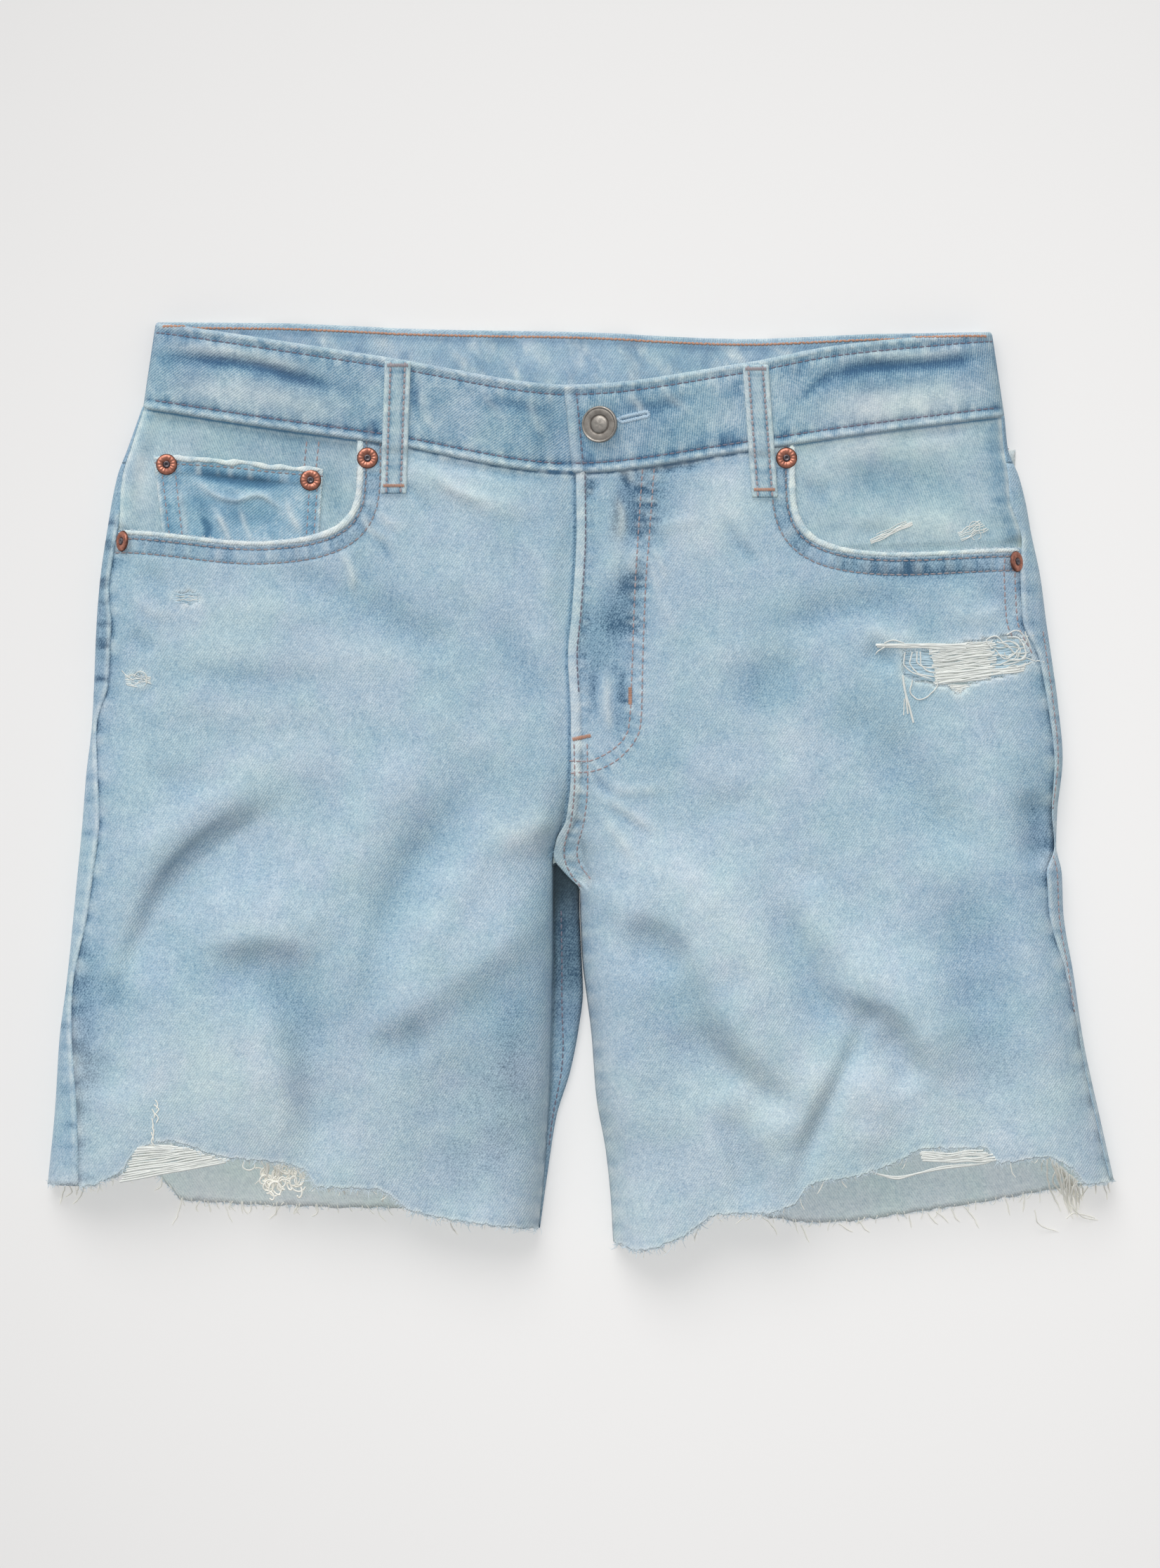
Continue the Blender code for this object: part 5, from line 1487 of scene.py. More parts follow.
FLY_OUTER = [(33.8, 148), (31.4, 115), (29.8, 94), (28.4, 59), (27.6, 31), (25.2, 21.5), (17.7, 12.7),
    (7.6, 7.2), (-3.6, 5.8)]
FLY_INNER = [(28.2, 144.6), (26.2, 114), (24.6, 86), (23.3, 50), (22, 27.6), (18.4, 20.2), (12.5, 15.3),
    (4.1, 11.4), (-4.2, 11.4)]
RISE_SEAM = [(-3.2, 18), (-3, 0), (-4.6, -16), (-7.4, -26), (-7.6, -34), (-4.6, -41), (-0.8, -46)]
FLY_STRIP = 4.6
RIPS = {
    "right": [[(148.4, 62.7), (165.6, 63.4), (175.7, 65.3), (179.2, 66.3), (189.3, 67.3),
               (195.8, 68.6), (200.4, 69.6), (203.6, 66.6), (204.9, 62.1), (208.2, 58.5),
               (202.3, 52.3), (186.1, 48.8), (178.3, 46.2), (173.7, 41.6), (168.8, 45.5),
               (163.3, 46.2), (153.6, 48.4), (148, 51), (148.4, 56.6)]],
    "left": [[(-186.6, 86.6), (-184.2, 88.4), (-180, 88.8), (-176.8, 87), (-176.4, 84.8),
              (-179.2, 83.6), (-184.4, 84.2)],
             [(-207.6, 49.4), (-205.4, 51.4), (-202, 51), (-200.2, 48.6), (-201.8, 46.6),
              (-205.4, 46.6)]]}


def under_band_shadow_and_ridge(under: Array, x: Array) -> tuple[Array, Array]:
    """Painted shadow line under the waistband's edge with softer painted shade below it, and a worn ridge
    of the cloth there.
    """
    soft = 0.7 + 0.5 * wander(x, 10.0, 1.0)
    line = 1.3 * bell(under - 1.1, 0.95) + 0.16 * bell(under - 4.6, 2.0) * soft
    return line, (0.12 + 0.12 * wander(x, 7.0, 2.0)) * bell(under - 2.8, 0.8)


def front_puckers(half: Half) -> list[Pucker]:
    """The sewn lines that ruffle a front panel."""
    mouth = half.mouth_path()
    waist = waist_path(half.mouth.end_x, half.inner_edge(FLY_TOP_Y), 1.0)
    found = [Pucker(side_seam_path(half), 4.6, 15.0, 0.2, 0.26, 0.3, 1.0 + half.sign),
             Pucker(mouth.offset(-half.sign * 7.0), 3.6, 8.0, 0.3, 0.12, 0.16, 2.0),
             Pucker(waist, 4.0, 9.0, 0.5, 0.35, 0.25, 3.0 + half.sign),
             Pucker(half.edge_path(CROTCH_Y - 6, half.hem_end.y), 4.5, 10.0, 0.4, 0.35, 0.3, 4.0)]
    if half.sign < 0:
        found += [Pucker(Path(FLY_OUTER), 2.4, 5.5, 0.3, 0.3, 0.3, 1.4),
                  Pucker(Path(FLY_INNER), 2.4, 6.5, 0.3, 0.35, 0.25, 2.6),
                  Pucker(Path(RISE_SEAM).offset(3.2), 3.2, 6.3, 0.6, 0.22, 0.5, 0.7),
                  Pucker(half.edge_path(FLY_TOP_Y, 0.0).offset(6.5), 2.2, 6.1, 0.25, 0.12, 0.2, 3.3)]
    return found


def front_relief(half: Half, x: Array, y: Array) -> tuple[Array, Array, Array]:
    """Height, deep and wear that seams, hem and rips give a front panel, above its folds; deep is partly
    painted shade, under the waistband, beside the fly and on the folds.
    """
    height, deep, wear = pucker_shares(front_puckers(half), x, y)
    more_deep, more_wear = half.folds.wash_and_shade(x, y)
    deep, wear = deep + more_deep, wear + more_wear
    from_seam = half.from_seam(x, y)
    height -= 0.7 * bell(from_seam, 1.3)
    deep = deep + 0.3 * bell(from_seam, 1.5) + 0.14 * bell(from_seam, 11.0)
    if half.sign < 0:
        inward = x - half.inner_edge(y)
        fly = ease((y - CROTCH_Y - 4) / 10) * (inward < 12)
        strip = ease((FLY_STRIP + 0.8 - inward) / 1.4) * shoulder((inward + 0.3) / 1.2)
        height += fly * (0.7 * strip - 0.5 * bell(inward - FLY_STRIP - 0.4, 1.1))
        worn = 0.3 + 0.2 * wander(y, 9.0, 2.0)
        wear += fly * worn * ease((FLY_STRIP + 0.4 - inward) / 1.0)
        past = inward - FLY_STRIP
        deep += fly * (0.2 * bell(past - 2.0, 2.2) + 0.2 * bell(past, 0.7))
    else:
        # painted shadow on the left front where it runs under the right front's fly edge
        beside = RIGHT.inner_edge(y) - x
        deep += 0.55 * bell(beside - 0.6, 1.1) * ease((y - CROTCH_Y - 4) / 10)
    from_mouth, _, along = half.mouth_path().nearest(x, y, 18.0)
    from_mouth = np.minimum(from_mouth, FAR)
    hemmed = ease((from_mouth - 2.4) / 1.4) * ease((12.0 - from_mouth) / 3.0)
    deep += ((0.28 if half.sign > 0 else 0.3) + 0.14 * wander(along, 16.0, 1.0)) * hemmed
    wear += 0.25 * clip(wander(along, 7.0, 3.0) - 0.2) * hemmed
    near_row, far_row = (from_mouth - inset for inset in MOUTH_ROWS)
    height -= 0.35 * (bell(near_row, 0.8) + bell(far_row, 0.8))
    deep = deep + 0.45 * bell(near_row, 0.7) + 0.3 * bell(far_row, 0.7)
    # painted shadow line under the waistband's edge, and a worn ridge
    line, ridge = under_band_shadow_and_ridge(waist_seam(x) - y, x)
    deep, wear = deep + line, wear + ridge
    above_hem = y - hem_line(half.hem, x)
    wear += 0.22 * ease((-95 - y) / 45)
    wear += (0.4 + 0.25 * wander(x, 9.0, 4.0)) * np.exp(-np.clip(above_hem, 0, FAR) / 1.5)
    deep += (0.16 + 0.12 * wander(x, 7.0, 2.0)) * bell(above_hem - 3.0, 1.4)
    for outline in RIPS[half.label]:
        ring = Path(outline + outline[:1], 1.5, smooth=False)
        distance, _, along = ring.nearest(x, y, 14.0)
        wear += (0.45 + 0.3 * wander(along, 6.0, 1.0)) * bell(distance, 2.2)
    return height, deep, wear


# ---- sub-assemblies --------------------------------------------------------------------------
def settle(piece: Thing, slot: str, *nodes: str) -> Thing:
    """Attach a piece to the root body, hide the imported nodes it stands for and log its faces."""
    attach(piece, "root")
    if nodes:
        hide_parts(*nodes)
    LOG.info("%s: %d faces", piece.name, len(piece.data.polygons))
    return piece


@dataclass
class Legs:
    """Front panels with their raw hems and rips, back panels and yokes."""
    wall: float = WALL
    hem_wave: float = 0.45
    back_rows: int = 120
    yoke_rows: int = 22
    underside_wave: float = 0.9
    smoothing: int = 14
    tuck: float = 0.4

    def __post_init__(self) -> None:
        """Work out how finely the panels are divided."""
        self.rows = stops((0, 0.05, 24), (0.05, 0.97, 164), (0.97, 1, 12))
        self.columns = stops((0, 0.03, 8), (0.03, 0.42, 54), (0.42, 0.53, 34), (0.53, 0.93, 56),
                             (0.93, 1, 18))
        self.over = np.sin(np.linspace(0, QUARTER, 12))
        self.turn = np.linspace(0, QUARTER, 7)[1:]
        self.lip = np.linspace(0, QUARTER, 5)[1:]
        self.strip = np.linspace(0, 1, 9)[1:]
        self.inner = np.linspace(0, 1, 1 + len(self.lip) + len(self.strip))
        self.flat = np.linspace(0, 1, 76)[1:-1]

    @staticmethod
    def levels(half: Half, rows: Array) -> tuple[Array, Array]:
        """Heights y of a leg's rows at the side seam and at the inner edge, from the top down."""
        waist = waist_seam(half.inner_edge(FLY_TOP_Y)) - SEAM_GAP
        side_hem = read(half.hem, "x", "y", half.side_seam(SIDE_HEM_Y))
        return mix(half.mouth.side_y, side_hem, rows), mix(waist, half.hem_end.y, rows)

    @staticmethod
    def front_inner_x(half: Half, y: Array) -> Array:
        """Where the front panel ends: at the inseam, or lapped under the other half at the fly."""
        edge = half.inner_edge(y)
        if half.sign < 0:
            return edge
        sewn = edge - half.strip(y) - SEAM_GAP / 2
        return mix(sewn, edge + FLY_LAP, ease((y - FRONT_LAP_Y) / FRONT_LAP_TURN))

    def front(self, half: Half) -> Thing:
        """Front panel: pocket mouth and waist seam above, raw hem below, rips cut through."""
        t, s = self.rows[:, None], self.columns[None, :]
        y_side, y_inner = (level[:, None] for level in self.levels(half, self.rows))
        x = mix(half.side_seam(y_side) - half.sign * self.tuck, self.front_inner_x(half, y_inner), s)
        top_change = mouth_line(half, x[:1]) - mix(half.mouth.side_y, y_inner[0, 0], s)
        top_change[:, 0] = 0.0
        window = np.hanning(2 * self.smoothing + 3)[1:-1]
        padded = np.pad(top_change[0], self.smoothing, mode="edge")
        gentle = np.convolve(padded, window / window.sum(), "valid")[None, :]
        top_change = mix(top_change, gentle, ease(t / 0.05)) * (1 - t) ** 4
        hem_change = hem_line(half.hem, x[-1:]) - mix(y_side[-1], y_inner[-1], s)
        hem_change[:, [0, -1]] = 0.0
        y = mix(y_side, y_inner, s) + top_change + hem_change * t ** 3
        y = y + self.hem_wave * wander(x, 3.1, 2.0) * ease((t - 0.985) / 0.015)
        relief, deep, wear = front_relief(half, x, y)
        z = half.top(x, y) + relief
        if half.sign > 0:
            z -= FLY_DROP * fly_underlap(x, y)
        sheet = Sheet("front_" + half.label + "_panel", stack(x, y, z), half.sign < 0, self.wall,
                      Finish.DENIM, Finish.INSIDE, deep, wear)
        return sheet.build([np.array(outline) for outline in RIPS[half.label]])

    def side_x(self, half: Half, y: float) -> Array:
        """x of a back panel's points from the side seam out to the silhouette, then in under it."""
        seam = half.side_seam(y) - half.sign * SEAM_GAP / 2
        outline = half.outline(y)
        under = outline + half.sign * BOTTOM_ROUND * (1 - np.cos(self.turn))
        return np.concatenate([mix(seam, outline, self.over), under])

    def inner_x(self, half: Half, y: float) -> tuple[Array, float]:
        """x of a back panel's last points, and how far they wrap up to the inseam (0 to 1)."""
        edge = float(half.inner_edge(y))
        centre = -half.sign * SEAM_GAP / 2
        if half.sign < 0:
            tucked = max(edge, 0.0) + LEG_TUCK
            centre = mix(centre, tucked, ease((CROTCH_Y + LAP_START - y) / (2 * LAP_START)))
            return mix(centre + INNER_RUN, centre, self.inner), 0.0
        wrap = float(ease((CROTCH_Y + WRAP_START - y) / WRAP_TURN))
        strip = max(float(half.strip(y)) - SEAM_GAP / 2, MIN_STRIP)
        lip = edge - INNER_ROUND * (1 - np.sin(self.lip))
        wrapped = np.concatenate([[edge - INNER_ROUND], lip, edge - (strip + STRIP_TUCK) * self.strip])
        return mix(mix(centre - INNER_RUN, centre, self.inner), wrapped, wrap), wrap

    def back_z(self, half: Half, x: Array, y: Array, wrap: float) -> Array:
        """Heights of one row of a back panel."""
        over, side, inner = len(self.over), len(self.over) + len(self.turn), len(self.inner)
        z = lift(x, y)
        z[side:-inner] += self.underside_wave * clip(ripple(x, y, 75.0, 0.6))[side:-inner]
        z[:over - 1] = half.base(x, y)[:over - 1]
        z[over - 1] = SIDE_RISE
        z[over:side] = mix(SIDE_RISE, z[over:side], np.sin(self.turn))
        if wrap > 0.0:
            lip = np.concatenate([[0.0], INNER_RISE * (1 - np.cos(self.lip))])
            wrapped = np.concatenate([lip, half.base(x, y)[-inner:][len(lip):]])
            beyond = half.inner_edge(y) - half.strip(y) - x
            across = x - RIGHT.inner_edge(y) + 2
            hidden = np.maximum(ease((beyond + 0.5) / STRIP_TUCK), ease(across / 3))
            wrapped = np.maximum(wrapped - STRIP_DROP * hidden[-inner:] * (wrapped > INNER_RISE), 0.0)
            z[-inner:] = mix(z[-inner:], wrapped, wrap)
        return z

    def back_grid(self, half: Half, y_side: Array, y_inner: Array, hem: list[Hem] | None) -> Array:
        """Back panel or yoke: flat on the table and wrapped round the side and up to the inseam.

        Args:
            half: which half.
            y_side: heights of the rows at the side seam.
            y_inner: heights of the rows at the centre or the inseam.
            hem: the raw hem, or None for a yoke, which follows the waist seam instead.

        Returns:
            The grid of points.
        """
        last, side, inner = len(y_side) - 1, len(self.over) + len(self.turn), len(self.inner)
        grid = []
        for j, (out, end_y) in enumerate(zip(y_side, y_inner)):
            x_side = self.side_x(half, out)
            x_inner, wrap = self.inner_x(half, end_y)
            x = np.concatenate([x_side, mix(x_side[-1], x_inner[0], self.flat), x_inner])
            share = (x - x_side[-1]) / (x_inner[0] - x_side[-1])
            share[:side], share[-inner:] = 0.0, 1.0
            if hem is None:
                change = back_waist_seam(x) - SEAM_GAP - mix(y_side[0], y_inner[0], share)
                change = change * (1 - j / last) ** 3
            else:
                change = hem_line(hem, x) - mix(y_side[-1], y_inner[-1], share)
                change += self.hem_wave * wander(x, 3.7, 1.0)
                change[-inner:] = 0.0
                change = change * (j / last) ** 3
            change[:side] = 0.0
            y = mix(out, end_y, share) + change
            grid.append(stack(x, y, self.back_z(half, x, y, wrap)))
        return np.array(grid)

    def back_wash(self, half: Half, grid: Array) -> tuple[Array, Array, Array, Array]:
        """Ridge along the side seam, and the deep, wear and painted shade of the strips that wrap round;
        on the strip between the legs deep and shade are painted shadow.
        """
        x, y = grid[..., 0], grid[..., 1]
        strip = len(self.over)
        seam = side_seam_path(half)
        distance, _, along = seam.nearest(x, y, 30.0)
        distance = np.where(np.isinf(distance), FAR, distance)
        wave = wander(along, 9.0, 1.0 + half.sign)
        shown = np.zeros(x.shape)
        shown[:, :strip] = 1.0
        ridge = shown * (0.45 + 0.3 * wave) * bell(distance - 1.5, 1.5)
        high = ease((y - 30) / 30) * (half.sign > 0)
        blue = (0.45 + 0.3 * high) * clip(-wave) * bell(distance - 4.0, 4.4)
        deep = shown * (0.04 + 0.3 * high + 0.14 * ease((-60 - y) / 60) + blue)
        wear = shown * 0.5 * (0.7 + 0.4 * wave) * bell(distance - 1.2, 1.0)
        worn_edge = np.exp(-np.clip(y - hem_line(half.back_hem, x), 0, FAR) / 2.0)
        wear += 0.4 * worn_edge
        inseam = np.zeros(x.shape)
        inseam[:, -len(self.inner):] = 1.0
        # painted shade on the strip between the legs: deep darkens it, and shade takes it towards near
        # black under the crotch and where it runs under the front's edge
        from_dusk = y - STRIP_DUSK_Y
        shaded = 0.26 + 0.29 * ease(from_dusk / 55)
        shaded = shaded * (1 + 0.2 * wander(y, 13.0, 1.0) + 0.16 * wander(x, 4.0, 2.0))
        painted_edge_shadow = 0.3 * bell(x - half.inner_edge(y) + half.strip(y), 1.8)
        shade = 0.04 + 0.36 * ease(from_dusk / 58) + 0.55 * ease((y - STRIP_DARK_Y) / 32) + painted_edge_shadow
        if half.sign < 0:
            deep += 0.18 * ease((-170 - y) / 14)
        else:
            wear += 0.14 * ease((-165 - y) / 14)
        return ridge, deep + shaded * inseam, wear * (1 - inseam), np.clip(shade, 0, 0.93) * inseam

    def back(self, half: Half) -> Thing:
        """Back panel."""
        y_side, y_inner = self.levels(half, np.linspace(0, 1, self.back_rows))
        added = self.back_rows // 6
        above = np.linspace(YOKE_SIDE_Y - SEAM_GAP, y_side[0], added)[:-1]
        first = int(np.argmax(y_inner < YOKE_MID_Y - YOKE_SKIP))
        beside = np.linspace(YOKE_MID_Y - SEAM_GAP, y_inner[first], first + added)[:-1]
        grid = self.back_grid(half, np.concatenate([above, y_side]),
                              np.concatenate([beside, y_inner[first:]]), half.back_hem)
        ridge, deep, wear, shade = self.back_wash(half, grid)
        grid[..., 2] += ridge
        sheet = Sheet("back_" + half.label + "_panel", grid, half.sign > 0, self.wall, Finish.DENIM,
                      Finish.INSIDE, deep, wear, shade)
        return sheet.build()

    def yoke(self, half: Half) -> Thing:
        """Yoke under the back of the waistband."""
        mid_top = float(back_waist_seam(0.0)) - SEAM_GAP
        grid = self.back_grid(half, np.linspace(half.corner_y(), YOKE_SIDE_Y, self.yoke_rows),
                              np.linspace(mid_top, YOKE_MID_Y, self.yoke_rows), None)
        return Sheet("yoke_" + half.label + "_panel", grid, half.sign > 0, self.wall, Finish.DENIM,
                     Finish.INSIDE, 0.35, 0.0).build()

    def build(self) -> dict[str, Thing]:
        """Make the six panels.

        Returns:
            The panels by short name.
        """
        made = {}
        for half in (LEFT, RIGHT):
            for kind, maker in (("front", self.front), ("back", self.back), ("yoke", self.yoke)):
                label = kind + "_" + half.label
                made[label] = settle(maker(half), "denim", label)
        return made


@dataclass
class Pockets:
    """Facings in the pocket mouths, coin pocket, worn mouth rolls and the two back pockets."""
    wall: float = WALL
    roll_width: float = 1.45
    roll_height: float = 0.8
    facing_rows: int = 72
    tuck: float = -0.6
    facing_columns: int = 96

    def facing(self, half: Half) -> Thing:
        """Pocket facing: sewn to the waist and side seams, tucked behind the pocket mouth."""
        fine = self.facing_rows // 4
        levels = mix(half.corner_y(), half.mouth.side_y - FACING_LAP,
                     stops((0, 0.08, fine), (0.08, 1, self.facing_rows - fine)))[:, None]
        columns = stops((0, 0.06, 10), (0.06, 1, self.facing_columns))[None, :]
        tucked = ease((half.mouth.side_y + TUCK_START - levels) / TUCK_TURN)
        x_side = half.side_seam(levels) + half.sign * self.tuck
        x = mix(x_side, half.mouth.end_x + half.sign * FACING_LAP, columns)
        t = (levels - levels[0]) / (levels[-1] - levels[0])
        y = mix(waist_seam(x) - SEAM_GAP, half.mouth.low_y - FACING_LAP, t)
        depth = np.maximum(facing_depth(half, x, y), TUCK_DEPTH * tucked)
        from_seam = half.from_seam(x, y)
        depth += 0.5 * bell(from_seam, 1.6)
        folds = Folds(FACING_CREASES[half.label])
        deep, wear = folds.wash_and_shade(x, y)
        wave = wander(y, 8.0, 2.0)
        deep += (0.1 if half.sign > 0 else 0.4) * bell(from_seam - 5.0, 4.5) * (0.8 - 0.5 * wave)
        wear += 0.5 * bell(from_seam - 0.8, 1.1) * (0.8 + 0.4 * wave)
        # painted shadow line under the waistband's edge, and a worn ridge
        line, ridge = under_band_shadow_and_ridge(waist_seam(x) - y, x)
        deep, wear = deep + line, wear + ridge
        away = ease(from_seam / 12)
        soft = folds.height(x, y) * away + 0.35 * ripple(x, y, 17.0, 0.4) * away
        z = half.base(x, y) - depth + soft
        return Sheet("facing_" + half.label, stack(x, y, z), half.sign < 0, self.wall, Finish.FACING,
                     Finish.INSIDE, deep, wear).build()

    def coin(self) -> Thing:
        """Coin pocket on the left facing."""
        t = np.linspace(0, 1, 60)[:, None]
        s = np.linspace(0, 1, 92)[None, :]
        top_x = mix(COIN_TOP[0].x, COIN_TOP[-1].x, s)
        x = mix(top_x, mix(*COIN_BOTTOM_X, s), t)
        y = mix(coin_top(top_x), COIN_BOTTOM_Y, t)
        deep, wear = COIN_FOLDS.wash_and_shade(x, y)
        from_top = coin_top(x) - y
        hem = ease((8.5 - from_top) / 1.5)
        puff = 0.5 * hem * (1 + 0.5 * wander(x, 7.0, 1.0)) - 0.35 * bell(from_top - COIN_ROW, 0.9)
        left_in, right_in = s * COIN_WIDTH, (1 - s) * COIN_WIDTH
        for inset, reach in ((left_in - 3.2, 1.2), (left_in - 9.7, 1.2), (right_in - 2.6, 1.1),
                             (right_in - 6.0, 1.1)):
            puff -= 0.3 * bell(inset, reach)
            deep += 0.35 * bell(inset, 2.0) * (0.7 + 0.5 * wander(y, 6.0, 3.0))
        wear += 0.7 * (bell(left_in, 1.6) + bell(right_in, 1.4)) * (0.7 + 0.4 * wander(y, 6.0, 1.0))
        wear += 0.35 * hem * clip(wander(x, 8.0, 2.0))
        deep += 0.3 * bell(from_top - 5.0, 3.0)
        soft = 0.3 * ripple(x, y, 13.0, 0.9)
        return Sheet("coin_pocket_patch", stack(x, y, coin_face(x, y) + puff + soft), False, self.wall,
                     Finish.COIN, Finish.INSIDE, deep, wear).build()

    def roll(self, name: str, line: Path, height: Field, seed: float,
             thick: Callable[[Array], Array]) -> Thing:
        """A worn rolled edge along a line on the cloth.

        Args:
            name: the piece's name.
            line: its middle.
            height: the cloth's height.
            seed: varies its lumps.
            thick: scale of the roll at a share of its length.

        Returns:
            The roll.
        """
        x, y = line.points.T
        swell = thick(line.along / line.length) * (1 + 0.09 * wander(line.along, 5.3, seed)
                                                   + 0.12 * wander(line.along, 11.0, seed + 1))
        up = normal_of(height, x, y)
        centre = stack(x, y, height(x, y)) + up * (0.1 + 0.1 * wander(line.along, 6.0, seed))[:, None]
        ends = np.minimum(ease(line.along / 2.5), ease((line.length - line.along) / 2.5)) * 0.9 + 0.1
        rings = roll_rings(centre, up, self.roll_width * swell * ends, self.roll_height * swell * ends)
        mesh = tube(name, rings)
        count = rings.shape[0] * rings.shape[1]
        worn = 0.45 + 0.35 * wander(line.along, 9.0, seed + 2)
        point_values(mesh, "wear", clip(np.repeat(worn, rings.shape[1])))
        point_values(mesh, "deep", np.zeros(count))
        mesh.materials.append(Finish.ROLL.made())
        return object_of(name, mesh)

    def back_pocket(self, label: str, corners: Sequence[Point]) -> Thing:
        """Patch pocket under the seat, its point towards the hem."""
        (tl, bl, point, br, tr) = corners
        u, v = np.meshgrid(np.linspace(0, 1, 60), np.linspace(0, 1, 64))
        top = mix(tl[1], tr[1], u)
        share = (point[0] - bl[0]) / (br[0] - bl[0])
        low = np.where(u < share, mix(bl[1], point[1], u / share),
                       mix(point[1], br[1], (u - share) / (1 - share)))
        x = mix(mix(tl[0], bl[0], v), mix(tr[0], br[0], v), u)
        edge = np.minimum(np.minimum(u, 1 - u) * 110, np.minimum(v, 1 - v) * 140)
        wear = 0.6 * np.exp(-edge / 1.5)
        deep = 0.3 + 0.3 * bell(edge - 4.0, 3.0) * (0.7 + 0.6 * wander(u * 130 + v * 150, 9.0, 1.0))
        return Sheet("back_pocket_" + label + "_patch", stack(x, mix(top, low, v), np.zeros(x.shape)),
                     corners[0][0] < 0, POCKET_WALL, Finish.DENIM, Finish.INSIDE, deep, wear).build()

    def build(self) -> dict[str, Thing]:
        """Make the facings, coin pocket, rolls and back pockets."""
        made = {}
        for half in (LEFT, RIGHT):
            label = half.label
            made["facing_" + label] = settle(self.facing(half), "denim", "pocket_facing_" + label)
            line = half.mouth_path().offset(-half.sign * ROLL_IN)

            def scoop(share: Array) -> Array:
                return 0.75 + 0.45 * bell(share - 0.72, 0.13) + 0.25 * ease((share - 0.75) / 0.2)

            made["roll_" + label] = settle(
                self.roll("mouth_roll_" + label, line, half.top, 1.0 + half.sign, scoop), "denim")
        made["coin"] = settle(self.coin(), "coin_denim", "coin_pocket")
        x = np.linspace(COIN_TOP[0].x + 0.6, COIN_TOP[-1].x - 0.6, 60)
        y = coin_top(x) - 0.9 + 0.7 * wander(x, 17.0, 2.0)
        made["coin_roll"] = settle(
            self.roll("coin_roll", straight(x, y, 1.0), lambda px, py: coin_face(px, py) + 0.4, 3.0,
                      lambda share: 0.85 + 0.35 * wander(share * COIN_WIDTH, 11.0, 1.0)), "coin_denim")
        for label, corners in (("left", LEFT_POCKET), ("right", RIGHT_POCKET)):
            made["back_pocket_" + label] = settle(self.back_pocket(label, corners), "denim",
                                                  "back_pocket_" + label)
        return made


def strap(name: str, face: Array, wall: float, finishes: tuple[Finish, Finish],
          washes_and_shade: Sequence[tuple[Array, Array, float]], turn: int = 4, caps: int = 3
          ) -> Thing:
    """A folded strap with rounded edges.

    Args:
        name: the piece's name.
        face: outer points by place along it and across it.
        wall: its thickness.
        finishes: outer and inner finish.
        washes_and_shade: deep, which is partly painted shade, and then wear, each as outer values, inner
            values and value on the edges.
        turn: steps round each edge.
        caps: steps at each rounded end.

    Returns:
        The strap.
    """
    mesh = tube(name, strap_rings(face, wall, turn), flip=True)
    count, across = face.shape[:2]
    for label, (outer, inner, edge) in zip(("deep", "wear"), washes_and_shade):
        outer, inner = (np.broadcast_to(values, (count, across)) for values in (outer, inner))
        rim = np.full((count, turn), edge)
        rings = np.concatenate([outer, rim, inner[:, ::-1], rim], axis=1)
        rings = np.concatenate([rings[:1].repeat(caps, 0), rings, rings[-1:].repeat(caps, 0)])
        point_values(mesh, label, np.clip(rings, 0.0, WASH_AND_SHADE_TOP).ravel())
    for finish in finishes:
        mesh.materials.append(finish.made())
    around = 2 * (across + turn)
    place = np.arange(around)
    inward = ((place >= across + turn) & (place < 2 * across + turn - 1)).astype(np.int32)
    indices = np.concatenate([np.tile(inward, count + 2 * caps - 1), [0, 0]])
    mesh.polygons.foreach_set("material_index", indices.astype(np.int32))
    return object_of(name, mesh)


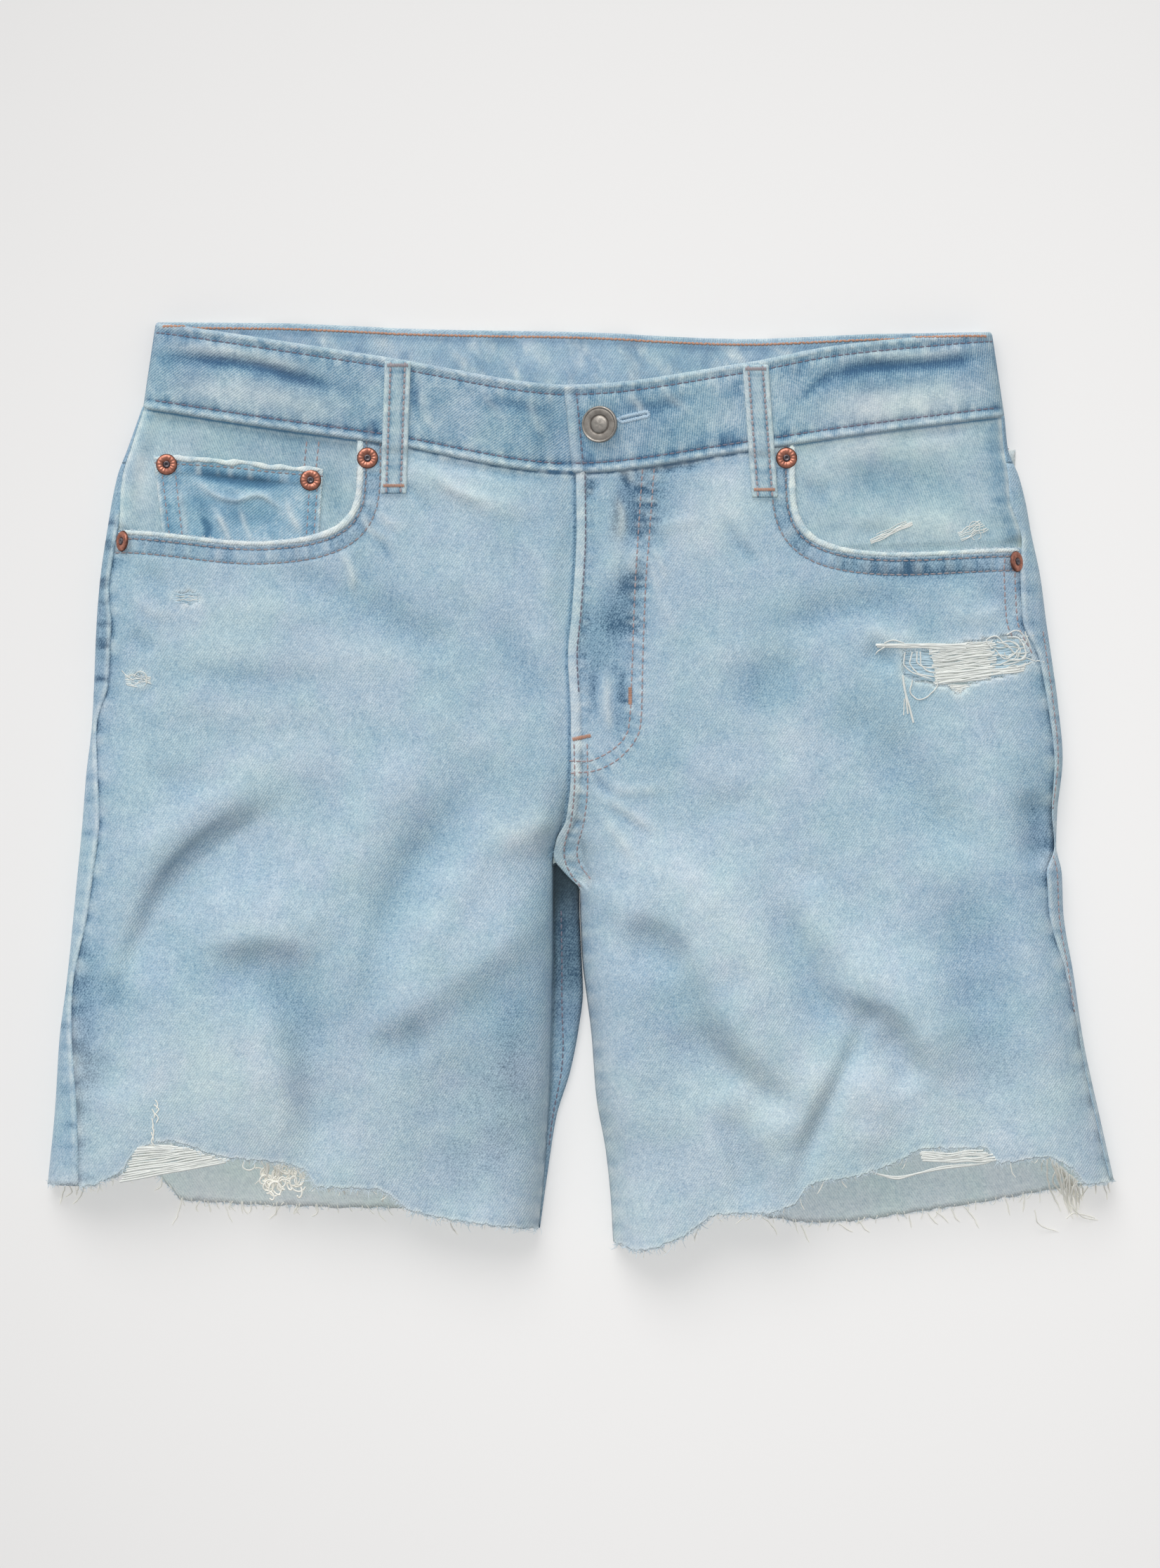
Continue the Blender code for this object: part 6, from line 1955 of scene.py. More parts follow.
@dataclass
class Waist:
    """The waistband, lapped at the fly, and the five belt loops."""
    wall: float = BAND_WALL
    welt: float = 1.5
    stitch_in: float = BAND_ROW
    loop_wall: float = LOOP_WALL

    def band_side(self, level: float, sign: int) -> tuple[float, Array]:
        """A folded end of the band, from its level stretch over the front to the table."""
        turn = np.linspace(0, QUARTER, 9)[1:]
        edge = mix(*(BAND_LEFT_X if sign > 0 else BAND_RIGHT_X), level)
        near = BAND_REACH * (1 - np.sin(np.linspace(0, QUARTER, 13)[1:]))
        over_x = edge + sign * near
        face = float(band_top(edge + sign * BAND_REACH))
        over_z = SIDE_RISE + (face - SIDE_RISE) * shoulder(near / BAND_REACH)
        turn_x = edge + sign * BOTTOM_ROUND * (1 - np.cos(turn))
        turn_y = back_band_y(turn_x, level)
        turn_z = mix(SIDE_RISE, lift(turn_x, turn_y), np.sin(turn))
        over = stack(over_x, band_y(over_x, level), over_z)
        return edge, np.concatenate([over, stack(turn_x, turn_y, turn_z)])

    @staticmethod
    def band_front(x: Array, level: float, drop: Array | float = 0.0) -> Array:
        """A stretch of the front of the band at one level across its height."""
        return stack(x, band_y(x, level), band_top(x) - drop)

    def band_row(self, level: float) -> Array:
        """The band's line at one level, from under the tab round the left side and the back."""
        left, left_side = self.band_side(level, 1)
        right, right_side = self.band_side(level, -1)
        x = mix(UNDERLAP_X, left + BAND_REACH, stops((0, 0.2, 34), (0.2, 1, 110)))
        drop = UNDERLAP_DROP * ease((x - TAB_TOP_X + UNDERLAP_RAMP) / (UNDERLAP_RAMP - UNDERLAP_REST))
        start = self.band_front(x, level, drop)
        x = mix(left_side[-1, 0], right_side[-1, 0], np.linspace(0, 1, 170))[1:-1]
        y = back_band_y(x, level)
        back = stack(x, y, lift(x, y))
        x = mix(right - BAND_REACH, mix(TAB_TOP_X, TAB_BOTTOM_X, level), np.linspace(0, 1, 140))
        end_run = self.band_front(x, level)
        return np.concatenate([start, left_side, back, right_side[::-1], end_run])

    def band(self) -> Thing:
        """The band, with welted edges, stitch channels and creases where it shows."""
        levels = stops((0, 0.12, 7), (0.12, 0.88, 14), (0.88, 1, 7))
        face = np.array([self.band_row(level) for level in levels]).transpose(1, 0, 2)
        x, y = face[..., 0], face[..., 1]
        over = ease((face[..., 2] - 7.0) / 3.0)
        edge = np.minimum(levels, 1 - levels)[None, :] * BAND_HEIGHT
        wave = wander(x, 7.5, 1.0) * bell(edge - 3.5, 3.5)
        tab = np.clip(x - mix(TAB_TOP_X, TAB_BOTTOM_X, levels)[None, :], 0, FAR)
        lapped = np.zeros(x.shape)
        lapped[len(x) // 2:] = 1.0
        relief = 0.35 * ease((self.welt - edge) / 1.0) - 0.45 * bell(edge - self.stitch_in, 0.9)
        relief = relief + 0.25 * wave + BAND_FOLDS.height(x, y) * ease((edge - 1.0) / 5.0)
        relief += lapped * (0.3 * ease(3.0 - tab) - 0.4 * bell(tab - TAB_ROW, 0.9))
        relief += 0.22 * ripple(x, y, 16.0, 0.8) * ease(edge / 6)
        face[..., 2] += relief * over
        # deep from the band's creases is partly painted shade, on the folds' dark sides and beside the
        # belt loops
        deep, wear = BAND_FOLDS.wash_and_shade(x, y)
        sewn = 0.25 + 0.35 * levels[None, :]
        deep = deep + 0.3 * clip(-wave) + sewn * bell(edge - self.stitch_in, 0.8)
        deep += lapped * 0.35 * bell(tab - 4.2, 1.6)
        wear += (0.22 + 0.3 * wander(x, 6.0, 2.0)) * ease((self.welt + 0.1 - edge) / 1.0)
        wear += lapped * 0.2 * ease((3.2 - tab) / 1.2) * (tab < 10)
        wear += 0.3 * clip(wave)
        streak = clip(ripple(x + 0.45 * y, 0.4 * y, 9.0, 4.0) + 0.35 * wander(x - 0.4 * y, 5.3, 1.0))
        inner_wear = 0.55 * streak * ease(edge / 6) + 0.12
        inner_deep = 0.4 * clip(ripple(x, y, 12.0, 2.5)) + 0.4 * bell(edge - 3.2, 1.4)
        return strap("waistband_strap", face, self.wall, (Finish.BAND, Finish.BAND_INSIDE),
                     [(deep * over + 0.3 * (1 - over), inner_deep, 0.1), (wear, inner_wear, 0.28)])

    def loop_face(self, top_x: float, bottom_x: float, top_y: float, bottom_y: float) -> Array:
        """Outer points of a front loop: over the band and stepped down on to the panel below it."""
        y = mix(top_y - 0.8, bottom_y + 0.8, np.linspace(0, 1, 66))
        centre = mix(top_x, bottom_x, (y - top_y) / (bottom_y - top_y))
        half = LEFT if top_x < 0 else RIGHT
        over_band = ease((y - waist_seam(centre) + LOOP_STEP_END) / LOOP_STEP)
        z = mix(half.base(centre, y), band_top(centre), over_band) + self.loop_wall + LOOP_GAP
        across = np.linspace(-0.5, 0.5, 15) * (LOOP_WIDTH - self.loop_wall)
        bulge = 0.35 * (1 - (2 * across / LOOP_WIDTH) ** 2) - 0.3 * bell(np.abs(across) - LOOP_ROW, 0.8)
        x = centre[:, None] + across[None, :]
        return stack(x, y[:, None] + 0 * x, z[:, None] + bulge[None, :])

    def loop(self, name: str, face: Array, seed: float) -> Thing:
        """A belt loop through its outer points."""
        across = np.abs(np.linspace(-0.5, 0.5, face.shape[1])) * LOOP_WIDTH
        along = face[:, :1, 1]
        rubbed = 0.32 + 0.25 * wander(along, 8.0, seed)
        wear = rubbed * ease((across - 4.2) / 1.3)[None, :] + 0.2 * clip(wander(along, 5.0, seed))
        deep = 0.8 * bell(across - LOOP_ROW, 0.7)[None, :] * (0.6 + 0.4 * wander(along, 6.0, seed))
        deep = deep + 0.12 + 0.25 * clip(wander(along, 11.0, seed + 2))
        return strap(name, face, self.loop_wall, (Finish.FACING, Finish.INSIDE),
                     [(deep, 0.2, 0.1), (wear, 0.1, 0.25)])

    def build(self) -> dict[str, Thing]:
        """Make the band and its loops."""
        made = {"band": settle(self.band(), "waist_denim", "waistband")}
        for label, place in FRONT_LOOPS.items():
            piece = self.loop("loop_front_" + label, self.loop_face(*place), place[0])
            made["loop_front_" + label] = settle(piece, "waist_denim", "belt_loop_front_" + label)
        for label, centre in BACK_LOOPS.items():
            (left, low), (right, top) = back_loop_box(centre)
            y = np.linspace(low + 1, top - 1, 40)[:, None]
            x = np.linspace(left + 0.9, right - 0.9, 11)[None, :]
            piece = self.loop("loop_back_" + label, stack(x, y, 0.0 * x * y), centre)
            made["loop_back_" + label] = settle(piece, "waist_denim", "belt_loop_back_" + label)
        return made


@dataclass
class Hardware:
    """Shank button, six rivets and the zip's tape behind the fly."""
    button_radius: float = 8.5
    button_at: Point = (8.9, 166.1)
    rivet_radius: float = 4.9
    side_lean: float = 0.62
    button_lean: float = -0.3
    button_lift: float = 1.7

    @staticmethod
    def seat(height: Field, x: float, y: float, reach: float,
             lean: float = 0.0, lift_by: float = 0.0) -> Matrix:
        """Matrix, in metres, that seats a round piece on a height field.

        Args:
            height: the height field.
            x: where it goes.
            y: where it goes.
            reach: its radius.
            lean: turn about Y, in radians, where the cloth rolls over at a side.
            lift_by: how much higher a leaning piece sits.

        Returns:
            The matrix.
        """
        step = 2.0
        slope_x = float(height(x + step, y) - height(x - step, y)) / (2 * step)
        slope_y = float(height(x, y + step) - height(x, y - step)) / (2 * step)
        normal = Vector((-slope_x, -slope_y, 1)).normalized()
        turn = Vector((0, 0, 1)).rotation_difference(normal)
        bulge = 0.0
        for angle in np.linspace(0, CIRCLE, 16, endpoint=False):
            arm = turn @ Vector((reach * math.cos(angle), reach * math.sin(angle), 0))
            gap = float(height(x + arm.x, y + arm.y)) - (float(height(x, y)) + arm.z)
            bulge = max(bulge, gap)
        place = Vector((x, y, float(height(x, y)))) + normal * (REST_GAP + bulge + lift_by)
        return Matrix.Translation(place * MM) @ Matrix.Rotation(lean, 4, "Y") @ turn.to_matrix().to_4x4()

    def button(self) -> Thing:
        """Cap with a rolled rim, a plain sunk band, a raised inner ring and a low dome."""
        r = self.button_radius
        profile = [(0.05, 2.56), (r * 0.18, 2.53), (r * 0.32, 2.44), (r * 0.41, 2.3), (r * 0.45, 2.12),
                   (r * 0.475, 1.92), (r * 0.5, 1.84), (r * 0.53, 1.95), (r * 0.57, 2.06),
                   (r * 0.64, 2.13), (r * 0.74, 2.18), (r * 0.83, 2.14), (r * 0.86, 2.08),
                   (r * 0.88, 2.24), (r * 0.91, 2.42), (r * 0.94, 2.44), (r * 0.97, 2.3),
                   (r * 0.99, 2.0), (r, 1.6), (r, 0.9),
                   (r * 0.975, 0.5), (r * 0.93, 0.25), (r * 0.5, 0.1), (r * 0.5, -3.4)]

        def dents(radius: Array, angle: Array) -> Array:
            return 0.05 * np.sin(3 * angle + 1.0) * (radius < r * 0.3) + 0.03 * np.sin(7 * angle) * (
                radius > r * 0.86)

        mesh = turned("shank_button", profile, 96, dents)
        self.finish(mesh, profile, 96, lambda radius, height: 0.95 * bell(radius - r * 0.5, r * 0.04)
                    + 0.6 * bell(radius - r * 0.86, r * 0.02)
                    + 0.45 * bell(radius - r * 0.66, r * 0.15), Finish.NICKEL)
        mesh.transform(self.seat(lambda x, y: band_top(x), *self.button_at, r, self.button_lean,
                                 self.button_lift))
        return object_of("shank_button", mesh)

    @staticmethod
    def finish(mesh: Mesh, profile: Sequence[Point], segments: int,
               tarnish: Field, finish: Finish) -> None:
        """Store where tarnish lies and give the piece its finish."""
        radius, height = np.array(profile).T
        point_values(mesh, "deep", np.repeat(clip(tarnish(radius, height)), segments))
        mesh.materials.append(finish.made())

    def rivet(self, name: str, place: Point, height: Field
              ) -> Thing:
        """Copper cap with pressed rays round a bright nail with a dark dimple."""
        r = self.rivet_radius
        profile = [(0.05, 1.05), (r * 0.06, 1.06), (r * 0.1, 1.3), (r * 0.15, 1.5), (r * 0.22, 1.55),
                   (r * 0.28, 1.5), (r * 0.32, 1.25), (r * 0.34, 1.0), (r * 0.38, 1.02), (r * 0.45, 1.2),
                   (r * 0.55, 1.38), (r * 0.68, 1.42), (r * 0.80, 1.38), (r * 0.90, 1.15),
                   (r * 0.96, 0.8), (r, 0.4), (r * 0.98, 0.1), (r * 0.9, -0.3)]

        def rays(radius: Array, angle: Array) -> Array:
            band = bell(radius - r * 0.62, r * 0.22) * (radius > r * 0.36)
            return 0.09 * band * np.sin(14 * angle + place[0])

        mesh = turned(name, profile, 72, rays)
        self.finish(mesh, profile, 72, lambda radius, z: 1.0 * bell(radius, r * 0.07)
                    + 0.9 * bell(radius - r * 0.35, r * 0.04) + 0.75 * (radius > r * 0.93),
                    Finish.COPPER)
        mesh.materials.append(Finish.NAIL.made())
        middle = np.repeat((np.array(profile)[:-1, 0] < r * 0.33).astype(np.int32), 72)
        mesh.polygons.foreach_set("material_index", np.concatenate([middle, [1, 0]]).astype(np.int32))
        over_side = math.copysign(self.side_lean, place[0]) if "mouth_side" in name else 0.0
        mesh.transform(self.seat(height, *place, r, over_side, abs(over_side) * 1.4))
        return object_of(name, mesh)

    def build(self) -> None:
        """Make the button and the rivets, and dress the zip's tape."""
        settle(self.button(), "nickel", "button")
        rivets = {"left_mouth_top": (-98.3, 150.8), "left_mouth_side": (-210.4, 112.5),
                  "coin_outer": (-190.9, 147.9), "coin_inner": (-124.6, 140.7),
                  "right_mouth_top": (94.6, 150.8), "right_mouth_side": (199.7, 103.0)}
        for label, place in rivets.items():
            height = coin_face if label.startswith("coin") else (LEFT if place[0] < 0 else RIGHT).base
            settle(self.rivet("rivet_" + label + "_cap", place, height), "copper", "rivet_" + label)
        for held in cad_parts["fly_zip"].material_slots:
            held.material = Finish.TAPE.made()


class Skin:
    """The surface of one or more pieces, on which stitches and threads are laid."""

    def __init__(self, *pieces: Thing) -> None:
        """Gather the pieces' meshes, without their walls."""
        points, faces = [], []
        for piece in pieces:
            start = len(points)
            points += [vertex.co.copy() for vertex in piece.data.vertices]
            faces += [[start + k for k in face.vertices] for face in piece.data.polygons]
        self.tree = BVHTree.FromPolygons(points, faces)

    def lay(self, line: Array, proud: float = 0.0, below: bool = False
            ) -> list[tuple[Array, Array]]:
        """Drop a line on the surface from above, or raise it from below.

        Args:
            line: its x and y.
            proud: how far it stands over the surface.
            below: True lays it on the underside.

        Returns:
            Points and normals of each unbroken stretch that meets the surface.
        """
        start, way = (-0.05, 1.0) if below else (0.10, -1.0)
        runs, points, normals = [], [], []
        for x, y in line:
            hit, normal, _, _ = self.tree.ray_cast(Vector((x * MM, y * MM, start)), Vector((0, 0, way)))
            if hit is not None:
                normal = normal if normal.z * way < 0 else -normal
                point = np.array(hit) / MM + np.array(normal) * proud
                point[2] = max(point[2], THREAD_REST)
                points.append(point)
                normals.append(np.array(normal))
            if hit is None or (x == line[-1][0] and y == line[-1][1]):
                if len(points) > 1:
                    runs.append((np.array(points), np.array(normals)))
                points, normals = [], []
        return runs


@dataclass
class Stitches:
    """Every sewn row, bar tack and buttonhole."""
    tree: LineTree
    pieces: dict[str, Thing]
    pitch: float = 3.1
    bead: tuple[float, float, float] = (2.75, 0.8, 0.55)
    proud: float = 0.12

    def run(self, name: str, finish: Finish, slot: str,
            rows: Sequence[tuple[str, Path]], bead: tuple[float, float, float] | None = None,
            pitch: float | None = None, below: bool = False, lean: float = 0.08) -> Thing:
        """Sew rows of one thread.

        Args:
            name: the piece's name.
            finish: its thread.
            slot: not used; it is only passed on to settle.
            rows: short names of the pieces that a row lies on, as words, and its line.
            bead: length, width and height of a stitch.
            pitch: from stitch to stitch.
            below: True sews on the underside.
            lean: how far stitches turn at random.

        Returns:
            The stitches.
        """
        lines = Lines()
        skins: dict[str, Skin] = {}
        for labels, path in rows:
            skins[labels] = skins.get(labels) or Skin(*(self.pieces[label] for label in labels.split()))
            for points, normals in skins[labels].lay(path.points, self.proud, below):
                lines.add(points, normals)
        values = {"Pitch": (pitch or self.pitch) * MM, "Lean": lean, "Seed": 7,
                  "Size": tuple(size * MM for size in (bead or self.bead))}
        return settle(self.tree.apply(name, lines, values, finish), slot)

    @staticmethod
    def upright(x: float, top: float, bottom: float) -> Path:
        """A straight row down the cloth."""
        return Path([(x, top), (x, bottom)], 1.5, smooth=False)

    @staticmethod
    def tack(x: float, y: float) -> Path:
        """The line of a belt loop's bar tack."""
        return Path([(x - TACK_HALF, y), (x + TACK_HALF, y)], 0.8, smooth=False)

    def band_rows(self) -> None:
        """Rows along the waistband, inside and out, and down the tab's end."""
        inset = BAND_ROW / BAND_HEIGHT
        rows = [("band", waist_path(start, end_x, level))
                for start, end_x in ((-195, -10), (-1.4, 189)) for level in (inset, 1 - inset)]
        tab = np.linspace(inset, 1 - inset, 30)
        x = mix(TAB_TOP_X, TAB_BOTTOM_X, tab) + TAB_ROW
        rows.append(("band", straight(x, band_y(x, tab), 1.0)))
        self.run("stitches_band_front", Finish.PLUM, "waist_denim", rows)
        x = np.linspace(-192, 186, 120)
        top = back_band_y(x)
        self.run("stitches_band_chain", Finish.COPPER_THREAD, "copper",
                 [("band", straight(x, top - CHAIN_IN))], bead=(2.2, 1.3, 0.7), pitch=1.9, lean=0.45)
        low = [("band", straight(x, top - drop)) for drop in (BAND_ROW, BAND_HEIGHT - BAND_ROW)]
        self.run("stitches_band_back", Finish.PLUM, "waist_denim", low, below=True)

    def loop_rows(self) -> None:
        """Two rows down each belt loop, and a bar tack at each end."""
        rows, tacks, top_tacks, low_rows, low_tacks = [], [], [], [], []
        for label, (top_x, bottom_x, top_y, bottom_y) in FRONT_LOOPS.items():
            piece = "loop_front_" + label
            for aside in (-LOOP_ROW, LOOP_ROW):
                ends = [(top_x + aside, top_y - 1.5), (bottom_x + aside, bottom_y + 1.5)]
                rows.append((piece, Path(ends, 1.0, False)))
            for y, into in ((top_y - 1.9, top_tacks), (bottom_y + 3.6, tacks)):
                x = float(mix(top_x, bottom_x, (top_y - y) / (top_y - bottom_y)))
                into.append((piece, self.tack(x, y)))
        for label, centre in BACK_LOOPS.items():
            (_, low), (_, top) = back_loop_box(centre)
            piece = "loop_back_" + label
            low_rows += [(piece, self.upright(centre + aside, top - 2, low + 2))
                         for aside in (-LOOP_ROW, LOOP_ROW)]
            low_tacks += [(piece, self.tack(centre, y)) for y in (top - 2.2, low + 3.4)]
        self.run("stitches_loops", Finish.LOOP_THREAD, "waist_denim", rows, (2.4, 1.15, 0.5), 2.5)
        self.run("tacks_loops", Finish.COPPER_THREAD, "copper", tacks, (0.6, 1.9, 0.8), 0.55)
        self.run("tacks_loops_top", Finish.LOOP_THREAD, "waist_denim", top_tacks, (0.6, 2.0, 0.7), 0.55)
        self.run("stitches_back_loops", Finish.PLUM, "waist_denim", low_rows, below=True)
        self.run("tacks_back_loops", Finish.COPPER_THREAD, "copper", low_tacks, (0.6, 2.3, 0.6), 0.55,
                 below=True)

    def pocket_rows(self) -> None:
        """Two rows under each pocket mouth, and the coin pocket's rows."""
        rows = []
        for half in (LEFT, RIGHT):
            mouth = half.mouth_path()
            for inset in MOUTH_ROWS:
                line = mouth.offset(-half.sign * inset)
                kept = line.points[line.points[:, 1] < waist_seam(line.points[:, 0]) - 1.0]
                rows.append(("front_" + half.label, Path(kept, 1.5, smooth=False)))
        self.run("stitches_pocket_mouths", Finish.BROWN, "denim", rows)
        x = np.linspace(COIN_TOP[0].x + 1.5, COIN_TOP[-1].x - 1.0, 60)
        coin = [("coin", straight(x, coin_top(x) - COIN_ROW, 1.0))]
        for top, bottom in ((-193.6, -188.6), (-187.4, -182.8), (-121.2, -123.6), (-124.8, -127.0)):
            y = float(coin_top(top)) - COIN_ROW
            coin.append(("coin", Path([(top, y), (bottom, COIN_BOTTOM_Y + 1)], 1.0, False)))
        self.run("stitches_coin_pocket", Finish.TAN, "coin_denim", coin[1:], (2.3, 0.6, 0.45))
        self.run("stitches_coin_hem", Finish.BROWN, "coin_denim", coin[:1], (2.3, 0.8, 0.5))
        above = [("facing_left", Path([(x, 157.5), (x - 1.0, 147.5)], 1.0, False))
                 for x in (-126.6, -121.0)]
        self.run("stitches_facing", Finish.TAN, "denim", above)

    def fly_rows(self) -> None:
        """The fly's edge, its curved double row, the rise seam, the bar tacks and the inseam."""
        edge = RIGHT.edge_path(FLY_TOP_Y - 1, 44.0).offset(FLY_STRIP - 0.5)
        self.run("stitches_fly_edge", Finish.PLUM, "denim", [("front_right", edge)])
        curved = [("front_right", Path(line)) for line in (FLY_OUTER, FLY_INNER)]
        rise = Path(RISE_SEAM)
        curved += [("front_right front_left", rise), ("front_right", rise.offset(6.0))]
        self.run("stitches_fly", Finish.TAN, "denim", curved)
        tacks = [("front_right", Path([(22.6, 45.0), (22.6, 37.6)], 0.8, False)),
                 ("front_right", Path([(-3.7, 21.3), (4.2, 23.0)], 0.8, False))]
        self.run("tacks_fly", Finish.COPPER_THREAD, "copper", tacks, (0.6, 2.2, 0.9), 0.55)
        y = np.linspace(CROTCH_Y - 12, -165, 60)
        x = LEFT.inner_edge(y) - LEFT.strip(y) * (0.45 + 0.25 * ease((y + 135) / 40))
        self.run("stitches_inseam", Finish.PLUM, "denim", [("back_left", straight(x, y))])
        y = np.linspace(RIGHT.mouth.side_y - 6, 62, 40)
        rows = [("front_right", straight(RIGHT.side_seam(y) + aside, y)) for aside in (-2.6, -7.6)]
        low = np.linspace(70, -170, 90)
        rows += [("back_right", straight(RIGHT.outline(low) - 2.6, low))]
        self.run("stitches_side_seams", Finish.TAN, "denim", rows)

    def under_rows(self) -> None:
        """Rows on the underside: yokes, rise and back pockets."""
        rows = []
        for sign, label in ((-1, "left"), (1, "right")):
            for aside in (2.0, 8.0):
                ends = [(sign * 204, YOKE_SIDE_Y + aside), (sign * 2, YOKE_MID_Y + aside)]
                rows.append(("yoke_" + label, Path(ends, 1.5, smooth=False)))
            tl, bl, point, br, tr = LEFT_POCKET if sign < 0 else RIGHT_POCKET
            middle = point[0]
            for inset in PATCH_ROWS:
                moved = [(x + inset * (1 if x < middle else -1), y + inset * (1 if y < 60 else 0))
                         for x, y in (tl, bl, point, br, tr)]
                moved[2] = (middle, point[1] + inset * 1.15)
                rows.append(("back_pocket_" + label, Path(moved, 1.5, smooth=False)))
            hem = Path([(tl[0] + 2.5, tl[1] - 10), (tr[0] + 2.5 * sign, tr[1] - 10)], 1.5, False)
            rows.append(("back_pocket_" + label, hem))
        rows += [("back_right yoke_right", self.upright(x, 166, CROTCH_Y + 14))
                 for x in PATCH_ROWS]
        self.run("stitches_underside", Finish.TAN, "denim", rows, below=True)

    def buttonhole(self) -> None:
        """Keyhole buttonhole beside the button, worked in pale thread round a slit of painted shadow."""
        run = Path([(15.5, 167.5), (24.0, 169.6), (31.0, 171.2)], 0.5)
        eye = [(17.2, 168.4), (15.2, 168.9), (14.4, 167.6), (15.2, 166.3), (17.2, 166.6)]
        around = np.concatenate([np.array(eye[::-1])[1:], run.offset(-1.15).points[3:],
                                 run.offset(1.15).points[3:][::-1], np.array(eye)[:2]])
        rim = Path(around, 0.5, smooth=False)
        self.run("buttonhole", Finish.PALE_THREAD, "waist_denim", [("band", rim)], (0.7, 2.0, 1.0), 0.62,
                 lean=0.25)
        # painted shadow: a row of dark beads in the slit
        lines = Lines()
        for points, normals in Skin(self.pieces["band"]).lay(run.points, -0.12):
            lines.add(points, normals)
        values = {"Pitch": 0.5 * MM, "Lean": 0.0, "Seed": 1, "Size": (1.2 * MM, 0.55 * MM, 0.3 * MM)}
        settle(self.tree.apply("buttonhole_slit_shadow", lines, values, Finish.SLIT_SHADOW), "waist_denim")

    def build(self) -> None:
        """Sew everything."""
        self.band_rows()
        self.loop_rows()
        self.pocket_rows()
        self.fly_rows()
        self.under_rows()
        self.buttonhole()


